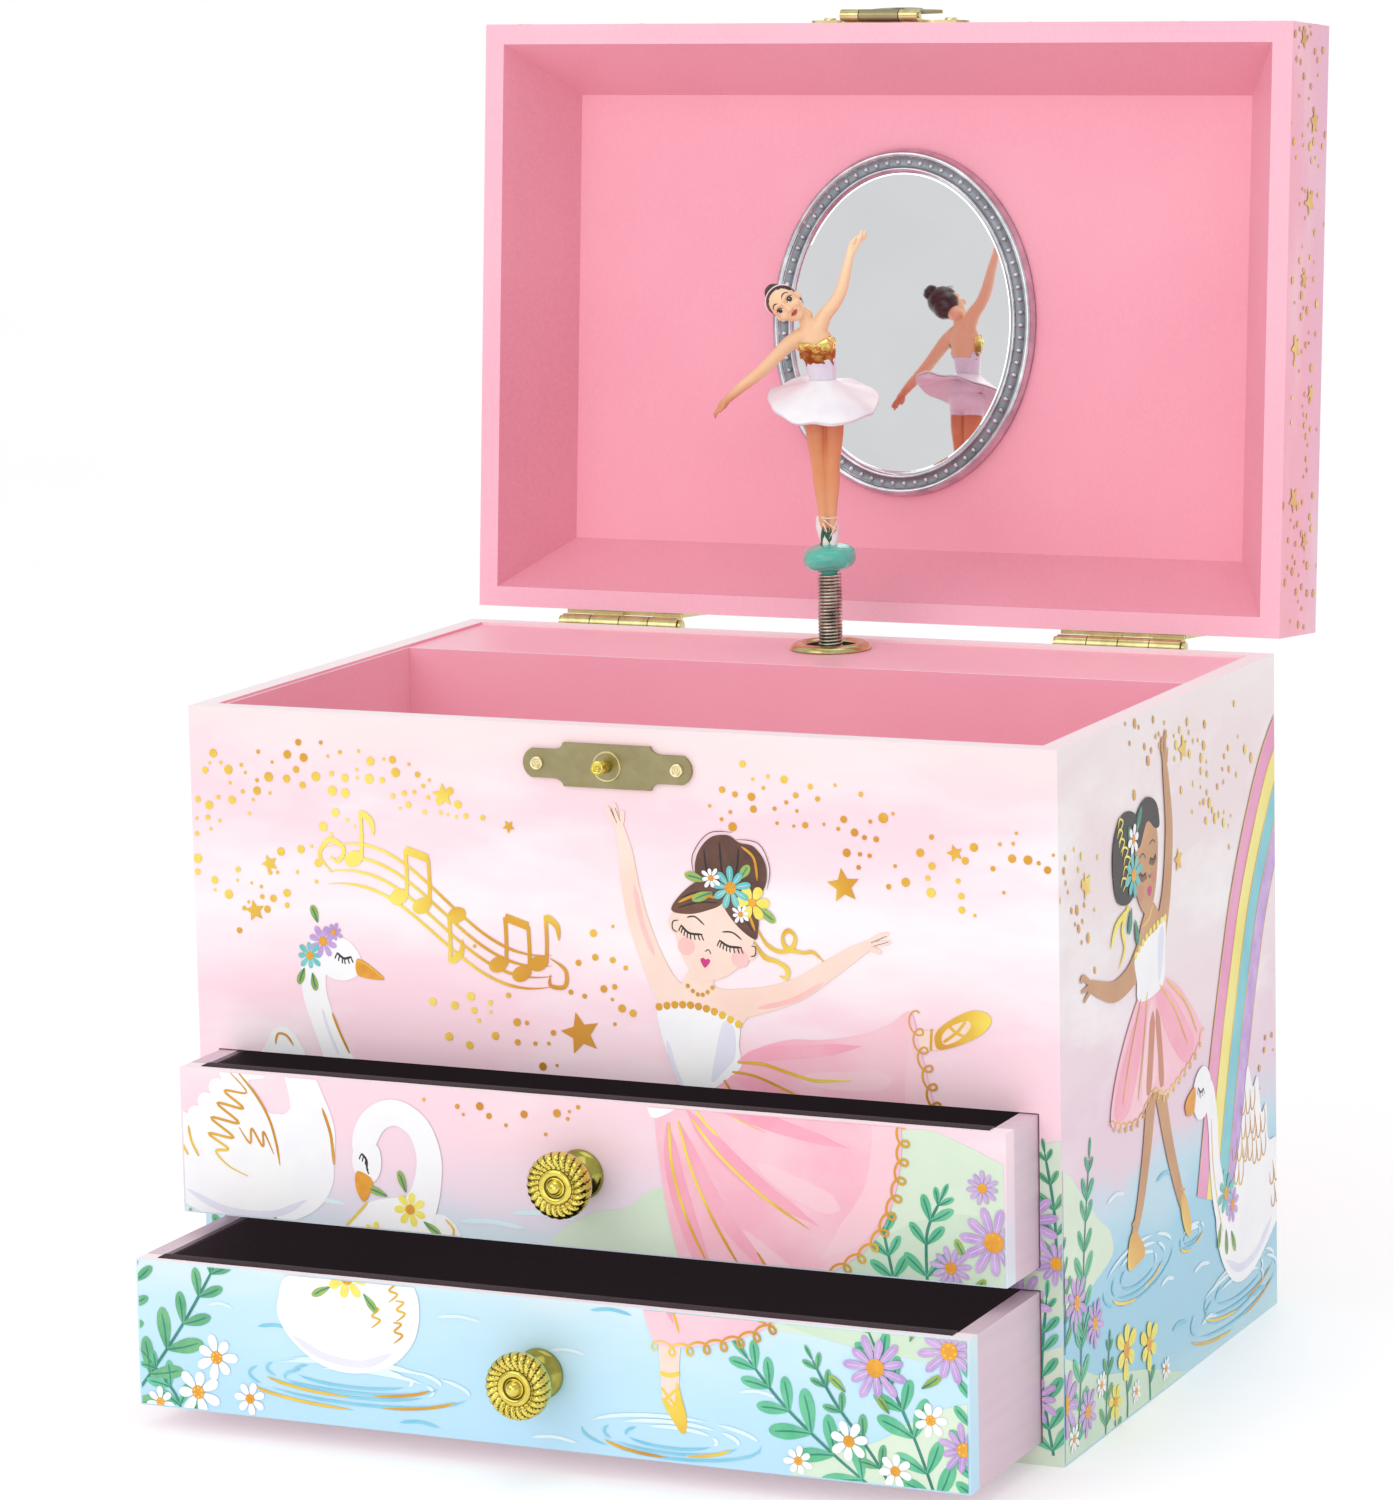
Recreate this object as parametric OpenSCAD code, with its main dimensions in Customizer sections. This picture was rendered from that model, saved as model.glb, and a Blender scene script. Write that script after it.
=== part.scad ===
// Ballerina jewellery box: a wooden case with two drawers and a hinged mirror lid, and a
// wind-up musical movement that turns a dancer on a coil spring. The dancer folds down as the lid shuts.
// Frame: +Z up, the case's front faces -Y, and the origin is the centre of the case's underside.

/* [Case] */
// Outside width of the case
case_w = 170; // [168:1:176]
// Outside depth of the case
case_d = 117; // [117:1:122]
// Height of the case, up to its rim
case_h = 127; // [127:0.5:130]
// Thickness of the case's outer boards
wall = 4; // [3.5:0.5:4]
// Clear height of each drawer's opening
slot_h = 27.5; // [27:0.5:28]
// Front-to-back depth of the deck that covers the movement
deck_depth = 32.5; // [32:0.5:34]

/* [Lid] */
// Height of the closed lid
lid_h = 22.2; // [21:0.1:24]
// How far the lid stands open in the stored pose, in degrees
lid_open = 94.9; // [90:0.1:100]
// How far the lid's lining slopes in between its rim and its ceiling
lining_slope = 9.5; // [6:0.5:11]
// Width of the oval mirror with its frame
mirror_w = 56; // [50:1:60]
// Height of the oval mirror with its frame
mirror_h = 69; // [60:1:75]

/* [Drawers] */
// How far the upper drawer stands open in the stored pose
upper_open = 15.4; // [0:0.1:80]
// How far the lower drawer stands open in the stored pose
lower_open = 33.6; // [0:0.1:80]
// Radius of a drawer knob's head
knob_r = 6.1; // [5:0.1:8]
// Length of a drawer knob
knob_l = 12; // [10:0.5:14]

/* [Dancer] */
// Distance of the dancer's axis behind the case's centre
dancer_y = 43.4; // [43:0.1:44]
// Height of the top of the coil spring above the deck
spring_top = 15.3; // [14:0.1:17]
// Height of the dancer's head above the deck
head_top = 70.7; // [68:0.1:74]
// Direction that the dancer faces, in degrees from the case's front
dancer_turn = 20; // [0:1:40]

/* [Hinges] */
// Width of one hinge
hinge_w = 25.6; // [20:0.4:30]
// Distance of each hinge's middle from the case's middle
hinge_x = 53; // [40:1:60]

/* [Hidden] */
$fn = 48;

half_w = case_w / 2;
half_d = case_d / 2;
in_x = half_w - wall;          // inner faces of the side boards
in_y = half_d - wall;          // inner faces of the front and back boards
eps = 0.01;

// heights of the shelves
base_t = 4;
divider_t = 4;
tray_t = 3;
lower_slot_z = base_t;
divider_z = lower_slot_z + slot_h;
upper_slot_z = divider_z + divider_t;
tray_z = upper_slot_z + slot_h;
tray_top = tray_z + tray_t;

// movement compartment
deck_t = 3;
deck_drop = 0.5;               // the deck lies this far below the rim
deck_top = case_h - deck_drop;
deck_y = in_y - deck_depth;    // front edge of the deck
partition_t = 3;
lining_t = 0.5;

// lid hinge
pin_y = half_d + 2.6;
pin_z = case_h - 0.2;
knuckle_r = 1.7;
leaf_t = 0.9;
leaf_len = 13;
pin_r = 0.8;
pin_fit = 0.05;                // running clearance round a pin
knuckles = 4;
knuckle_gap = 0.2;

// lid, in its closed place
lid_gap = 0.2;
lid_z = case_h + lid_gap;
lid_top_t = 4;
liner_t = 1.2;
ceiling_z = lid_z + lid_h - lid_top_t - liner_t;   // the lining's ceiling, as seen from below
frame_t = 3;                   // thickness of the mirror's frame
frame_w = 4.8;                 // width of the frame's ring

// drawers
drawer_gap = 0.3;
drawer_h = slot_h - 0.4;
drawer_lift = 0.15;
drawer_side_t = 3.5;
drawer_floor_t = 2.5;
drawer_end_y = in_y - 1;
drawer_lining_t = 0.6;
knob_screw_r = 1.2;

// musical movement: every wheel's place, from the dancer's axis
bed_y = 52;
bed_t = 2.5;
bed_half_w = 27;
bed_low = 68;
bed_top = 119;
arbor_z = 81;
arbor_r = 2;
crown_teeth = 36;
crown_pinion_teeth = 12;
crown_module = 2 / 3;
crown_r = crown_teeth * crown_module / 2;
crown_pinion_r = crown_pinion_teeth * crown_module / 2;
crown_z = arbor_z + crown_r;
crown_root_y = dancer_y - crown_pinion_r - 0.8;
crown_tip_y = dancer_y - crown_pinion_r + 0.5;
barrel_r = 12.5;
barrel_y = 28.6;
train_module = 0.45;
great_teeth = 34;
idler_teeth = 10;
worm_wheel_teeth = 20;
idler_x = -(great_teeth + idler_teeth) * train_module / 2;
great_z = 96;
worm_crest = 1.65;
worm_z = 93.8;
worm_x = idler_x - worm_wheel_teeth * train_module / 2 - 1.75;
worm_lead = PI * train_module;
cylinder_r = 6.5;
cylinder_z = 98.3;
cylinder_l = 17.5;
notes = 18;
note_pitch = 0.93;
stop_at = [-3.7, 52.6];
stop_travel = 2.4;

// ---------- shared shapes ----------

module box(low, high) {
    translate(low) cube(high - low);
}

// a cylinder along +Y that starts at the given point
module y_rod(at, r, l, fn = 32) {
    translate(at) rotate([-90, 0, 0]) cylinder(r = r, h = l, $fn = fn);
}

module x_rod(at, r, l, fn = 32) {
    translate(at) rotate([0, 90, 0]) cylinder(r = r, h = l, $fn = fn);
}

module z_rod(at, r, l, fn = 32) {
    translate(at) cylinder(r = r, h = l, $fn = fn);
}

// a round bar between two points
module rod_between(a, b, r1, r2) {
    d = b - a;
    translate(a) rotate([0, acos(d.z / norm(d)), atan2(d.y, d.x)])
        cylinder(r1 = r1, r2 = r2, h = norm(d), $fn = 20);
}

function oval(a, b, n = 72) = [for (i = [0:n - 1]) [a * cos(360 * i / n), b * sin(360 * i / n)]];

// outline of a spur gear with straight-sided teeth and room for backlash; a gap lies at angle 0
module gear_outline(teeth, module_mm) {
    r = teeth * module_mm / 2;
    root = r - 1.1 * module_mm;
    tip = r + 0.8 * module_mm;
    pitch = 360 / teeth;
    circle(r = root + eps, $fn = 64);
    for (i = [0:teeth - 1]) {
        a = (i + 0.5) * pitch;
        polygon([for (c = [[root - 0.1, -0.24], [tip, -0.085], [tip, 0.085], [root - 0.1, 0.24]])
            c[0] * [cos(a + c[1] * pitch), sin(a + c[1] * pitch)]]);
    }
}

// the lid and all that it carries, moved from its closed place to the stored pose
module lid_pose() {
    translate([0, pin_y, pin_z]) rotate([-lid_open, 0, 0]) translate([0, -pin_y, -pin_z]) children();
}

// ---------- case ----------

module base_panel() {
    color("lightcyan") box([-in_x, -half_d, 0], [in_x, in_y, base_t]);
}

module side_board(side) {
    color("mistyrose") translate([side > 0 ? in_x : -half_w, -half_d, 0]) cube([wall, case_d, case_h]);
}

module left_side() { side_board(-1); }

module right_side() { side_board(1); }

module front_panel() {
    color("mistyrose") difference() {
        box([-in_x, -half_d, tray_z], [in_x, -in_y, case_h]);
        for (s = [-1, 1]) y_rod([s * nail_x, -half_d - 1, lock_z], nail_r + bore_gap, 4.3, 20);
        y_rod([0, -half_d - 1, lock_z], stud_r + bore_gap, 4.1, 24);
    }
}

movement_screw_at = [[-20, 76], [20, 76], [20, 112]];

module back_panel() {
    color("mistyrose") difference() {
        box([-in_x, in_y, 0], [in_x, half_d, case_h]);
        y_rod([0, in_y - 1, arbor_z], 3.2, wall + 2);
        for (p = movement_screw_at) y_rod([p.x, in_y - 1, p.y], 1.6, wall + 2);
        hinge_screw_bores(pin_z - knuckle_r - leaf_len);
    }
}

module drawer_divider() {
    color("mistyrose") box([-in_x, -half_d, divider_z], [in_x, in_y, upper_slot_z]);
}

module tray_floor() {
    color("pink") box([-in_x, -in_y, tray_z], [in_x, in_y, tray_top]);
}

module movement_partition() {
    color("pink") box([-in_x, deck_y, tray_top], [in_x, deck_y + partition_t, deck_top - deck_t]);
}

grommet_hole_r = 5.4;
stop_hole_r = 0.8;

module movement_deck() {
    color("palevioletred") difference() {
        box([-in_x, deck_y, deck_top - deck_t], [in_x, in_y, deck_top]);
        z_rod([0, dancer_y, deck_top - deck_t - 1], grommet_hole_r, deck_t + 2);
        z_rod([stop_at.x, stop_at.y, deck_top - deck_t - 1], stop_hole_r, deck_t + 2);
    }
}

// paper and card that lines the open compartment: a floor, two ends, a front and a back
module tray_lining() {
    top = deck_top;
    color("hotpink") {
        box([-in_x, -in_y, tray_top], [in_x, deck_y, tray_top + lining_t - eps]);
        for (s = [-1, 1])
            translate([s > 0 ? in_x - lining_t : -in_x, -in_y, tray_top + lining_t])
                cube([lining_t, deck_y + in_y, top - tray_top - lining_t]);
        for (y = [-in_y, deck_y - lining_t])
            box([-in_x + lining_t + eps, y, tray_top + lining_t], [in_x - lining_t - eps, y + lining_t, top]);
    }
}

grommet_r = 7.9;
grommet_bore_r = 4.6;

module grommet() {
    color("gold") translate([0, dancer_y, deck_top]) rotate_extrude($fn = 64)
        polygon(concat(
            [[grommet_bore_r, -deck_t], [grommet_hole_r - 0.1, -deck_t], [grommet_hole_r - 0.1, 0], [grommet_r, 0]],
            [for (a = [0:15:180]) [(grommet_r + grommet_bore_r) / 2 + cos(a) * (grommet_r - grommet_bore_r) / 2,
                0.2 + 0.7 * sin(a)]]));
}

// ---------- lock plate ----------

lock_z = 120;
lock_half_w = 16.5;
lock_half_h = 3.95;
lock_t = 0.8;
ear_half_h = 2.6;
block_half_w = 8.3;
nail_x = 13.7;

// half outline of the shaped plate: a block with a hollow shoulder and a rounded ear at each end
function plate_side(half_w, half_h, ear_h, block_w) = concat(
    [[block_w, half_h]],
    [for (a = [90:-15:0]) [block_w + 2.4 - 2.4 * sin(a) * 0.9, ear_h + (half_h - ear_h) * (1 - cos(a))]],
    [for (a = [60:-15:-60]) [half_w - 3.2 + 3.2 * cos(a), ear_h * sin(a) / sin(60)]],
    [for (a = [0:15:90]) [block_w + 2.4 - 2.4 * sin(a) * 0.9, -ear_h - (half_h - ear_h) * (1 - cos(a))]],
    [[block_w, -half_h]]);

module plate_outline(half_w, half_h, ear_h, block_w) {
    for (s = [0, 1]) mirror([s, 0])
        polygon(concat([[-eps, half_h]], plate_side(half_w, half_h, ear_h, block_w), [[-eps, -half_h]]));
}

module lock_plate() {
    color("darkkhaki") translate([0, -half_d, lock_z]) rotate([90, 0, 0]) difference() {
        union() {
            linear_extrude(lock_t) plate_outline(lock_half_w, lock_half_h, ear_half_h, block_half_w);
            cylinder(r = 2.8, h = lock_t + 0.2);
        }
        translate([0, 0, -1]) cylinder(r = 1.1, h = 4);
        for (s = [-1, 1]) translate([s * nail_x, 0, -1]) cylinder(r = nail_r + bore_gap, h = 4, $fn = 20);
    }
}

stud_r = 0.9;
nail_r = 0.5;
bore_gap = 0.02;

// the stud: a pin through the front with a nose that turns up
module lock_stud() {
    bend = [0, -half_d - 3.6, lock_z];
    tip = bend + [0.1, -1.7, 0.9];
    color("gold") {
        y_rod(bend, stud_r, 6.6, 24);
        rod_between(bend + [0, 0.6, -0.1], tip, 0.75, 0.7);
        translate(tip) sphere(r = 0.95, $fn = 24);
    }
}

// a round-headed nail that points along +Y, its head on the plane of the given point
module nail(at, length = 4) {
    y_rod([at.x, at.y, at.z], nail_r, length, 20);
    translate(at) rotate([90, 0, 0]) cylinder(r1 = 1.25, r2 = 0.7, h = 0.5, $fn = 24);
}

module lock_nails() {
    color("gold") for (s = [-1, 1]) nail([s * nail_x, -half_d - lock_t, lock_z]);
}

// ---------- hinges ----------

knuckle_l = hinge_w / knuckles;

module knuckle(i) {
    x = -hinge_w / 2 + i * knuckle_l + knuckle_gap / 2;
    x_rod([x, pin_y, pin_z], knuckle_r, knuckle_l - knuckle_gap);
}

// one leaf in its closed place: side -1 is the case's leaf, 1 the lid's, which also carries a stop tab
module hinge_leaf(side) {
    first = side < 0 ? 0 : 1;
    plate_z = side < 0 ? pin_z - knuckle_r - leaf_len : pin_z + knuckle_r;
    difference() {
        union() {
            box([-hinge_w / 2, half_d, plate_z], [hinge_w / 2, half_d + leaf_t, plate_z + leaf_len]);
            for (i = [first, first + 2]) {
                x = -hinge_w / 2 + i * knuckle_l + knuckle_gap / 2;
                z0 = side < 0 ? pin_z - knuckle_r : pin_z + knuckle_r - leaf_t;
                knuckle(i);
                // the neck that carries the plate round into the knuckle
                box([x, half_d + (side < 0 ? 0 : lid_gap), z0 - (side < 0 ? eps : 0)],
                    [x + knuckle_l - knuckle_gap, pin_y, z0 + leaf_t + (side > 0 ? eps : 0)]);
                // the tab that meets the case's leaf when the lid is open
                if (side > 0)
                    translate([x, pin_y, pin_z]) rotate([lid_open, 0, 0])
                        translate([0, -knuckle_r + 0.05, -knuckle_r - 1.8])
                            cube([knuckle_l - knuckle_gap, leaf_t, knuckle_r + 1.8]);
            }
        }
        x_rod([-hinge_w / 2 - 1, pin_y, pin_z], pin_r + pin_fit, hinge_w + 2);
        for (s = [-1, 1]) y_rod([s * 8, half_d - 1, plate_z + leaf_len / 2], 0.9, 4, 20);
    }
}

module hinge_case_leaves() {
    color("darkkhaki") for (s = [-1, 1]) translate([s * hinge_x, 0, 0]) hinge_leaf(-1);
}

module hinge_lid_leaves() {
    color("darkkhaki") lid_pose() for (s = [-1, 1]) translate([s * hinge_x, 0, 0]) hinge_leaf(1);
}

module hinge_pins() {
    color("gold") for (s = [-1, 1]) translate([s * hinge_x, 0, 0]) {
        x_rod([-hinge_w / 2 - 0.3, pin_y, pin_z], pin_r, hinge_w + 0.6);
        for (e = [-1, 1]) x_rod([e > 0 ? hinge_w / 2 + 0.1 : -hinge_w / 2 - 0.6, pin_y, pin_z], 1.3, 0.5);
    }
}

// countersunk screws that hold a pair of leaves, pointing into the wood along -Y
module hinge_screws(plate_z) {
    for (s = [-1, 1], t = [-1, 1]) translate([s * hinge_x + t * 8, half_d + leaf_t, plate_z + leaf_len / 2])
        rotate([90, 0, 0]) {
            cylinder(r = 0.85, h = leaf_t + 2.6, $fn = 20);
            translate([0, 0, -0.45]) cylinder(r1 = 0.9, r2 = 1.5, h = 0.45, $fn = 24);
        }
}

// blind holes for the screws in the board behind a leaf
module hinge_screw_bores(plate_z) {
    for (s = [-1, 1], t = [-1, 1])
        y_rod([s * hinge_x + t * 8, half_d - 2.7, plate_z + leaf_len / 2], 0.85 + bore_gap, 4, 20);
}

module hinge_case_screws() {
    color("gold") hinge_screws(pin_z - knuckle_r - leaf_len);
}

module hinge_lid_screws() {
    color("gold") lid_pose() hinge_screws(pin_z + knuckle_r);
}

// ---------- lid ----------

lid_ceiling_board_z = lid_z + lid_h - lid_top_t;

module lid_top() {
    color("hotpink") lid_pose()
        box([-half_w, -half_d, lid_ceiling_board_z], [half_w, half_d, lid_z + lid_h]);
}

module lid_front_wall() {
    color("lightpink") lid_pose() difference() {
        box([-in_x, -half_d, lid_z], [in_x, -in_y, lid_ceiling_board_z]);
        for (s = [-1, 1]) y_rod([s * hasp_nail_x, -half_d - 1, hasp_nail_z], nail_r + bore_gap, 4, 20);
    }
}

module lid_rear_wall() {
    color("lightpink") lid_pose() difference() {
        box([-in_x, in_y, lid_z], [in_x, half_d, lid_ceiling_board_z]);
        hinge_screw_bores(pin_z + knuckle_r);
    }
}

module lid_end_wall(side) {
    color("lightpink") lid_pose()
        translate([side > 0 ? in_x : -half_w, -half_d, lid_z]) cube([wall, case_d, lid_ceiling_board_z - lid_z]);
}

module lid_left_wall() { lid_end_wall(-1); }

module lid_right_wall() { lid_end_wall(1); }

// one sloping side of the folded lining: reach is the wall's distance, half_l half its length
module liner_side(reach, half_l) {
    inner = reach - lining_slope;
    inner_l = half_l - lining_slope;
    g = 0.02;
    points = [
        [reach - g, -half_l + g, lid_z], [reach - g, half_l - g, lid_z],
        [inner, inner_l, ceiling_z], [inner, -inner_l, ceiling_z],
        [reach - g, -half_l + g, lid_z + 2 * liner_t], [reach - g, half_l - g, lid_z + 2 * liner_t],
        [inner + liner_t, inner_l, ceiling_z], [inner + liner_t, -inner_l, ceiling_z]];
    polyhedron(points = points, faces = [[0, 1, 2, 3], [4, 7, 6, 5], [0, 3, 7, 4], [1, 5, 6, 2], [0, 4, 5, 1],
        [3, 2, 6, 7]], convexity = 4);
}

module lid_liner() {
    color("hotpink") lid_pose() {
        for (a = [0, 180]) rotate([0, 0, a]) liner_side(in_x, in_y);
        for (a = [90, 270]) rotate([0, 0, a]) liner_side(in_y, in_x);
        box([-in_x + lining_slope - liner_t, -in_y + lining_slope - liner_t, ceiling_z + eps],
            [in_x - lining_slope + liner_t, in_y - lining_slope + liner_t, lid_ceiling_board_z - eps]);
    }
}

module mirror_frame() {
    a = mirror_w / 2;
    b = mirror_h / 2;
    color("silver") lid_pose() translate([0, 0, ceiling_z - frame_t]) difference() {
        linear_extrude(frame_t) polygon(oval(a, b));
        translate([0, 0, -1]) linear_extrude(frame_t + 2) polygon(oval(a - frame_w, b - frame_w));
        translate([0, 0, frame_t - 1.6]) linear_extrude(2)
            polygon(oval(a - frame_w + 1.5, b - frame_w + 1.5));
    }
}

module mirror_glass() {
    a = mirror_w / 2 - frame_w + 1.4;
    b = mirror_h / 2 - frame_w + 1.4;
    color("aliceblue") lid_pose() translate([0, 0, ceiling_z - 1.6]) linear_extrude(1.5) polygon(oval(a, b));
}

// ---------- hasp ----------

hasp_half_w = 16.5;
hasp_plate_h = 8;
hasp_t = 0.7;
hasp_pin_y = -half_d - 1.5;
hasp_pin_z = lid_z + 1.6;
hasp_knuckle_r = 1.2;
hasp_pin_r = 0.55;
hasp_nail_x = 12.8;
hasp_nail_z = hasp_pin_z + 1.3 + hasp_plate_h / 2;
hasp_fold = 82;                // how far the stored tab leans back from square to the lid's front
tab_neck = 3.9;
tab_len = 12.6;
tab_slot_r = 1.25;

// the plate fixed to the lid's front, with a knuckle at each side of the tab's
module hasp_plate() {
    z0 = hasp_pin_z + 1.3;
    color("darkkhaki") lid_pose() difference() {
        union() {
            translate([0, -half_d, z0 + hasp_plate_h / 2]) rotate([90, 0, 0])
                linear_extrude(hasp_t) plate_outline(hasp_half_w, hasp_plate_h / 2, 2.6, 8.4);
            for (s = [-1, 1]) {
                x_rod([s * 6.2 - 1.9, hasp_pin_y, hasp_pin_z], hasp_knuckle_r, 3.8);
                box([s * 6.2 - 1.9, hasp_pin_y, hasp_pin_z + 0.5],
                    [s * 6.2 + 1.9, hasp_pin_y + 0.7, z0 + 0.2]);
                box([s * 6.2 - 1.9, hasp_pin_y + 0.6, z0 - 0.4], [s * 6.2 + 1.9, -half_d, z0 + 1]);
            }
        }
        x_rod([-12, hasp_pin_y, hasp_pin_z], hasp_pin_r + pin_fit, 24);
        for (s = [-1, 1]) y_rod([s * hasp_nail_x, -half_d - 2, hasp_nail_z], 0.55, 4, 20);
    }
}

// outline of half the tab below its pin: a neck, a pointed wing and a rounded tip
tab_side = concat([[tab_neck, 0.4], [tab_neck, -1.6]],
    [for (a = [180:20:260]) [tab_neck + 4.6 + 4.6 * cos(a), -1.6 + 4.2 * sin(a)]],
    [[10.4, -6.9], [7.6, -8]],
    [for (a = [0:15:90]) [5.4 * cos(a), -8.6 - (tab_len - 8.6) * sin(a)]]);

// rest pose: folded back over its plate, on the open lid
module hasp_tab() {
    color("darkkhaki") lid_pose()
        translate([0, hasp_pin_y, hasp_pin_z]) rotate([-90 - hasp_fold, 0, 0]) difference() {
            union() {
                x_rod([-4.1, 0, 0], hasp_knuckle_r, 8.2);
                translate([0, 0.4, 0]) rotate([90, 0, 0]) linear_extrude(hasp_t)
                    for (s = [0, 1]) mirror([s, 0]) polygon(concat([[-eps, 0.4]], tab_side, [[-eps, -tab_len]]));
            }
            x_rod([-12, 0, 0], hasp_pin_r + pin_fit, 24);
            translate([0, 3, 0]) rotate([90, 0, 0]) linear_extrude(6) {
                for (z = [-8.6, -9.7]) translate([0, z]) circle(r = tab_slot_r, $fn = 32);
                translate([-tab_slot_r, -9.7]) square([2 * tab_slot_r, 1.1]);
            }
        }
}

module hasp_pin() {
    color("gold") lid_pose() x_rod([-8.4, hasp_pin_y, hasp_pin_z], hasp_pin_r, 16.8);
}

module hasp_nails() {
    color("gold") lid_pose() for (s = [-1, 1]) nail([s * hasp_nail_x, -half_d - hasp_t, hasp_nail_z], 3.6);
}

// ---------- drawers, each given by its slot's height and how far it stands open ----------

module drawer_front(z, open) {
    translate([0, -open, z + drawer_lift]) difference() {
        box([-in_x + drawer_gap, -half_d, 0], [in_x - drawer_gap, -in_y, drawer_h]);
        y_rod([0, -half_d - 1, drawer_h / 2], knob_screw_r + 0.1, wall + 2);
    }
}

// two sides, a back and a floor, glued behind the front
module drawer_box(z, open) {
    x1 = in_x - drawer_gap;
    x0 = x1 - drawer_side_t;
    translate([0, -open, z + drawer_lift]) {
        for (s = [-1, 1]) translate([s > 0 ? x0 : -x1, -in_y, 0]) cube([drawer_side_t, drawer_end_y + in_y, drawer_h]);
        box([-x0 + eps, drawer_end_y - drawer_side_t, 0], [x0 - eps, drawer_end_y, drawer_h]);
        box([-x0 + eps, -in_y, 0], [x0 - eps, drawer_end_y - drawer_side_t - eps, drawer_floor_t]);
    }
}

module drawer_lining(z, open) {
    t = drawer_lining_t;
    x0 = in_x - drawer_gap - drawer_side_t;
    y1 = drawer_end_y - drawer_side_t;
    top = drawer_h - 0.6;
    translate([0, -open, z + drawer_lift]) {
        box([-x0, -in_y, drawer_floor_t], [x0, y1, drawer_floor_t + t - eps]);
        for (s = [-1, 1]) translate([s > 0 ? x0 - t : -x0, -in_y, drawer_floor_t + t])
            cube([t, y1 + in_y, top - drawer_floor_t - t]);
        difference() {
            box([-x0 + t + eps, -in_y, drawer_floor_t + t], [x0 - t - eps, -in_y + t, top]);
            y_rod([0, -in_y - 1, drawer_h / 2], 3.1, 4);
        }
        box([-x0 + t + eps, y1 - t, drawer_floor_t + t], [x0 - t - eps, y1, top]);
    }
}

// a turned knob: foot, neck, head and a domed boss, bored for its screw
module knob(z, open) {
    translate([0, -half_d - open, z + drawer_lift + drawer_h / 2]) rotate([90, 0, 0]) rotate_extrude($fn = 48)
        polygon([[knob_screw_r, 0], [4.6, 0], [4.6, 1.1], [3.8, 2], [3, 2.8], [2.9, 4.4], [3.6, 5.6], [knob_r - 0.6, 6.8],
            [knob_r, 7.6], [knob_r, 9], [knob_r - 0.7, 10.4], [knob_r - 2.2, knob_l - 0.7], [2.8, knob_l - 1.1],
            [2, knob_l - 0.3], [0, knob_l], [0, 8], [knob_screw_r, 8]]);
}

module knob_screw(z, open) {
    translate([0, -half_d - open, z + drawer_lift + drawer_h / 2]) {
        y_rod([0, -7.6, 0], knob_screw_r - 0.05, wall + 7.6, 24);
        y_rod([0, wall, 0], 2.8, 1.2, 24);
    }
}

module upper_drawer_front() { color("lavenderblush") drawer_front(upper_slot_z, upper_open); }
module upper_drawer_box() { color("thistle") drawer_box(upper_slot_z, upper_open); }
module upper_drawer_lining() { color("dimgray") drawer_lining(upper_slot_z, upper_open); }
module upper_knob() { color("gold") knob(upper_slot_z, upper_open); }
module upper_knob_screw() { color("silver") knob_screw(upper_slot_z, upper_open); }
module lower_drawer_front() { color("lightcyan") drawer_front(lower_slot_z, lower_open); }
module lower_drawer_box() { color("thistle") drawer_box(lower_slot_z, lower_open); }
module lower_drawer_lining() { color("dimgray") drawer_lining(lower_slot_z, lower_open); }
module lower_knob() { color("gold") knob(lower_slot_z, lower_open); }
module lower_knob_screw() { color("silver") knob_screw(lower_slot_z, lower_open); }

// ---------- dancer ----------

spring_r = 2.4;
spring_wire = 0.7;
spring_foot = 6;               // how far the spring reaches below the deck, onto the spindle
spindle_r = 1.6;
button_r = 5.2;
button_h = 5.4;
hip_z = 47;                    // heights above the deck
waist_z = 53;
neck_z = 64;

// the close-wound spring, as the tube that its coils fill
module coil_spring() {
    color("silver") difference() {
        z_rod([0, dancer_y, deck_top - spring_foot], spring_r, spring_foot + spring_top);
        z_rod([0, dancer_y, deck_top - spring_foot - 1], spring_r - spring_wire, spring_foot + spring_top + 2);
    }
}

// everything below is drawn with the dancer facing -Y, then turned about her axis
module dancer_pose() {
    translate([0, dancer_y, deck_top]) rotate([0, 0, dancer_turn]) children();
}

module button() {
    color("mediumaquamarine") dancer_pose() union() {
        translate([0, 0, spring_top]) rotate_extrude($fn = 48)
            polygon(concat([[0, 0]], [for (a = [-80:20:80]) [button_r * (0.55 + 0.45 * cos(a)), button_h / 2 * (1 + sin(a))]],
                [[0, button_h]]));
        z_rod([0, 0, spring_top - 4], spring_r - spring_wire - 0.1, 5);
    }
}

feet_z = spring_top + button_h - 0.5;
shoulder_l = [-4.8, 0, 61.6];
shoulder_r = [1, 0, 61.4];
head_at = [-8.2, -0.4, head_top - 4.4];

elbow_l = [-11, -0.6, 55.6];
elbow_r = [4.4, 0, 69.6];

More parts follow.
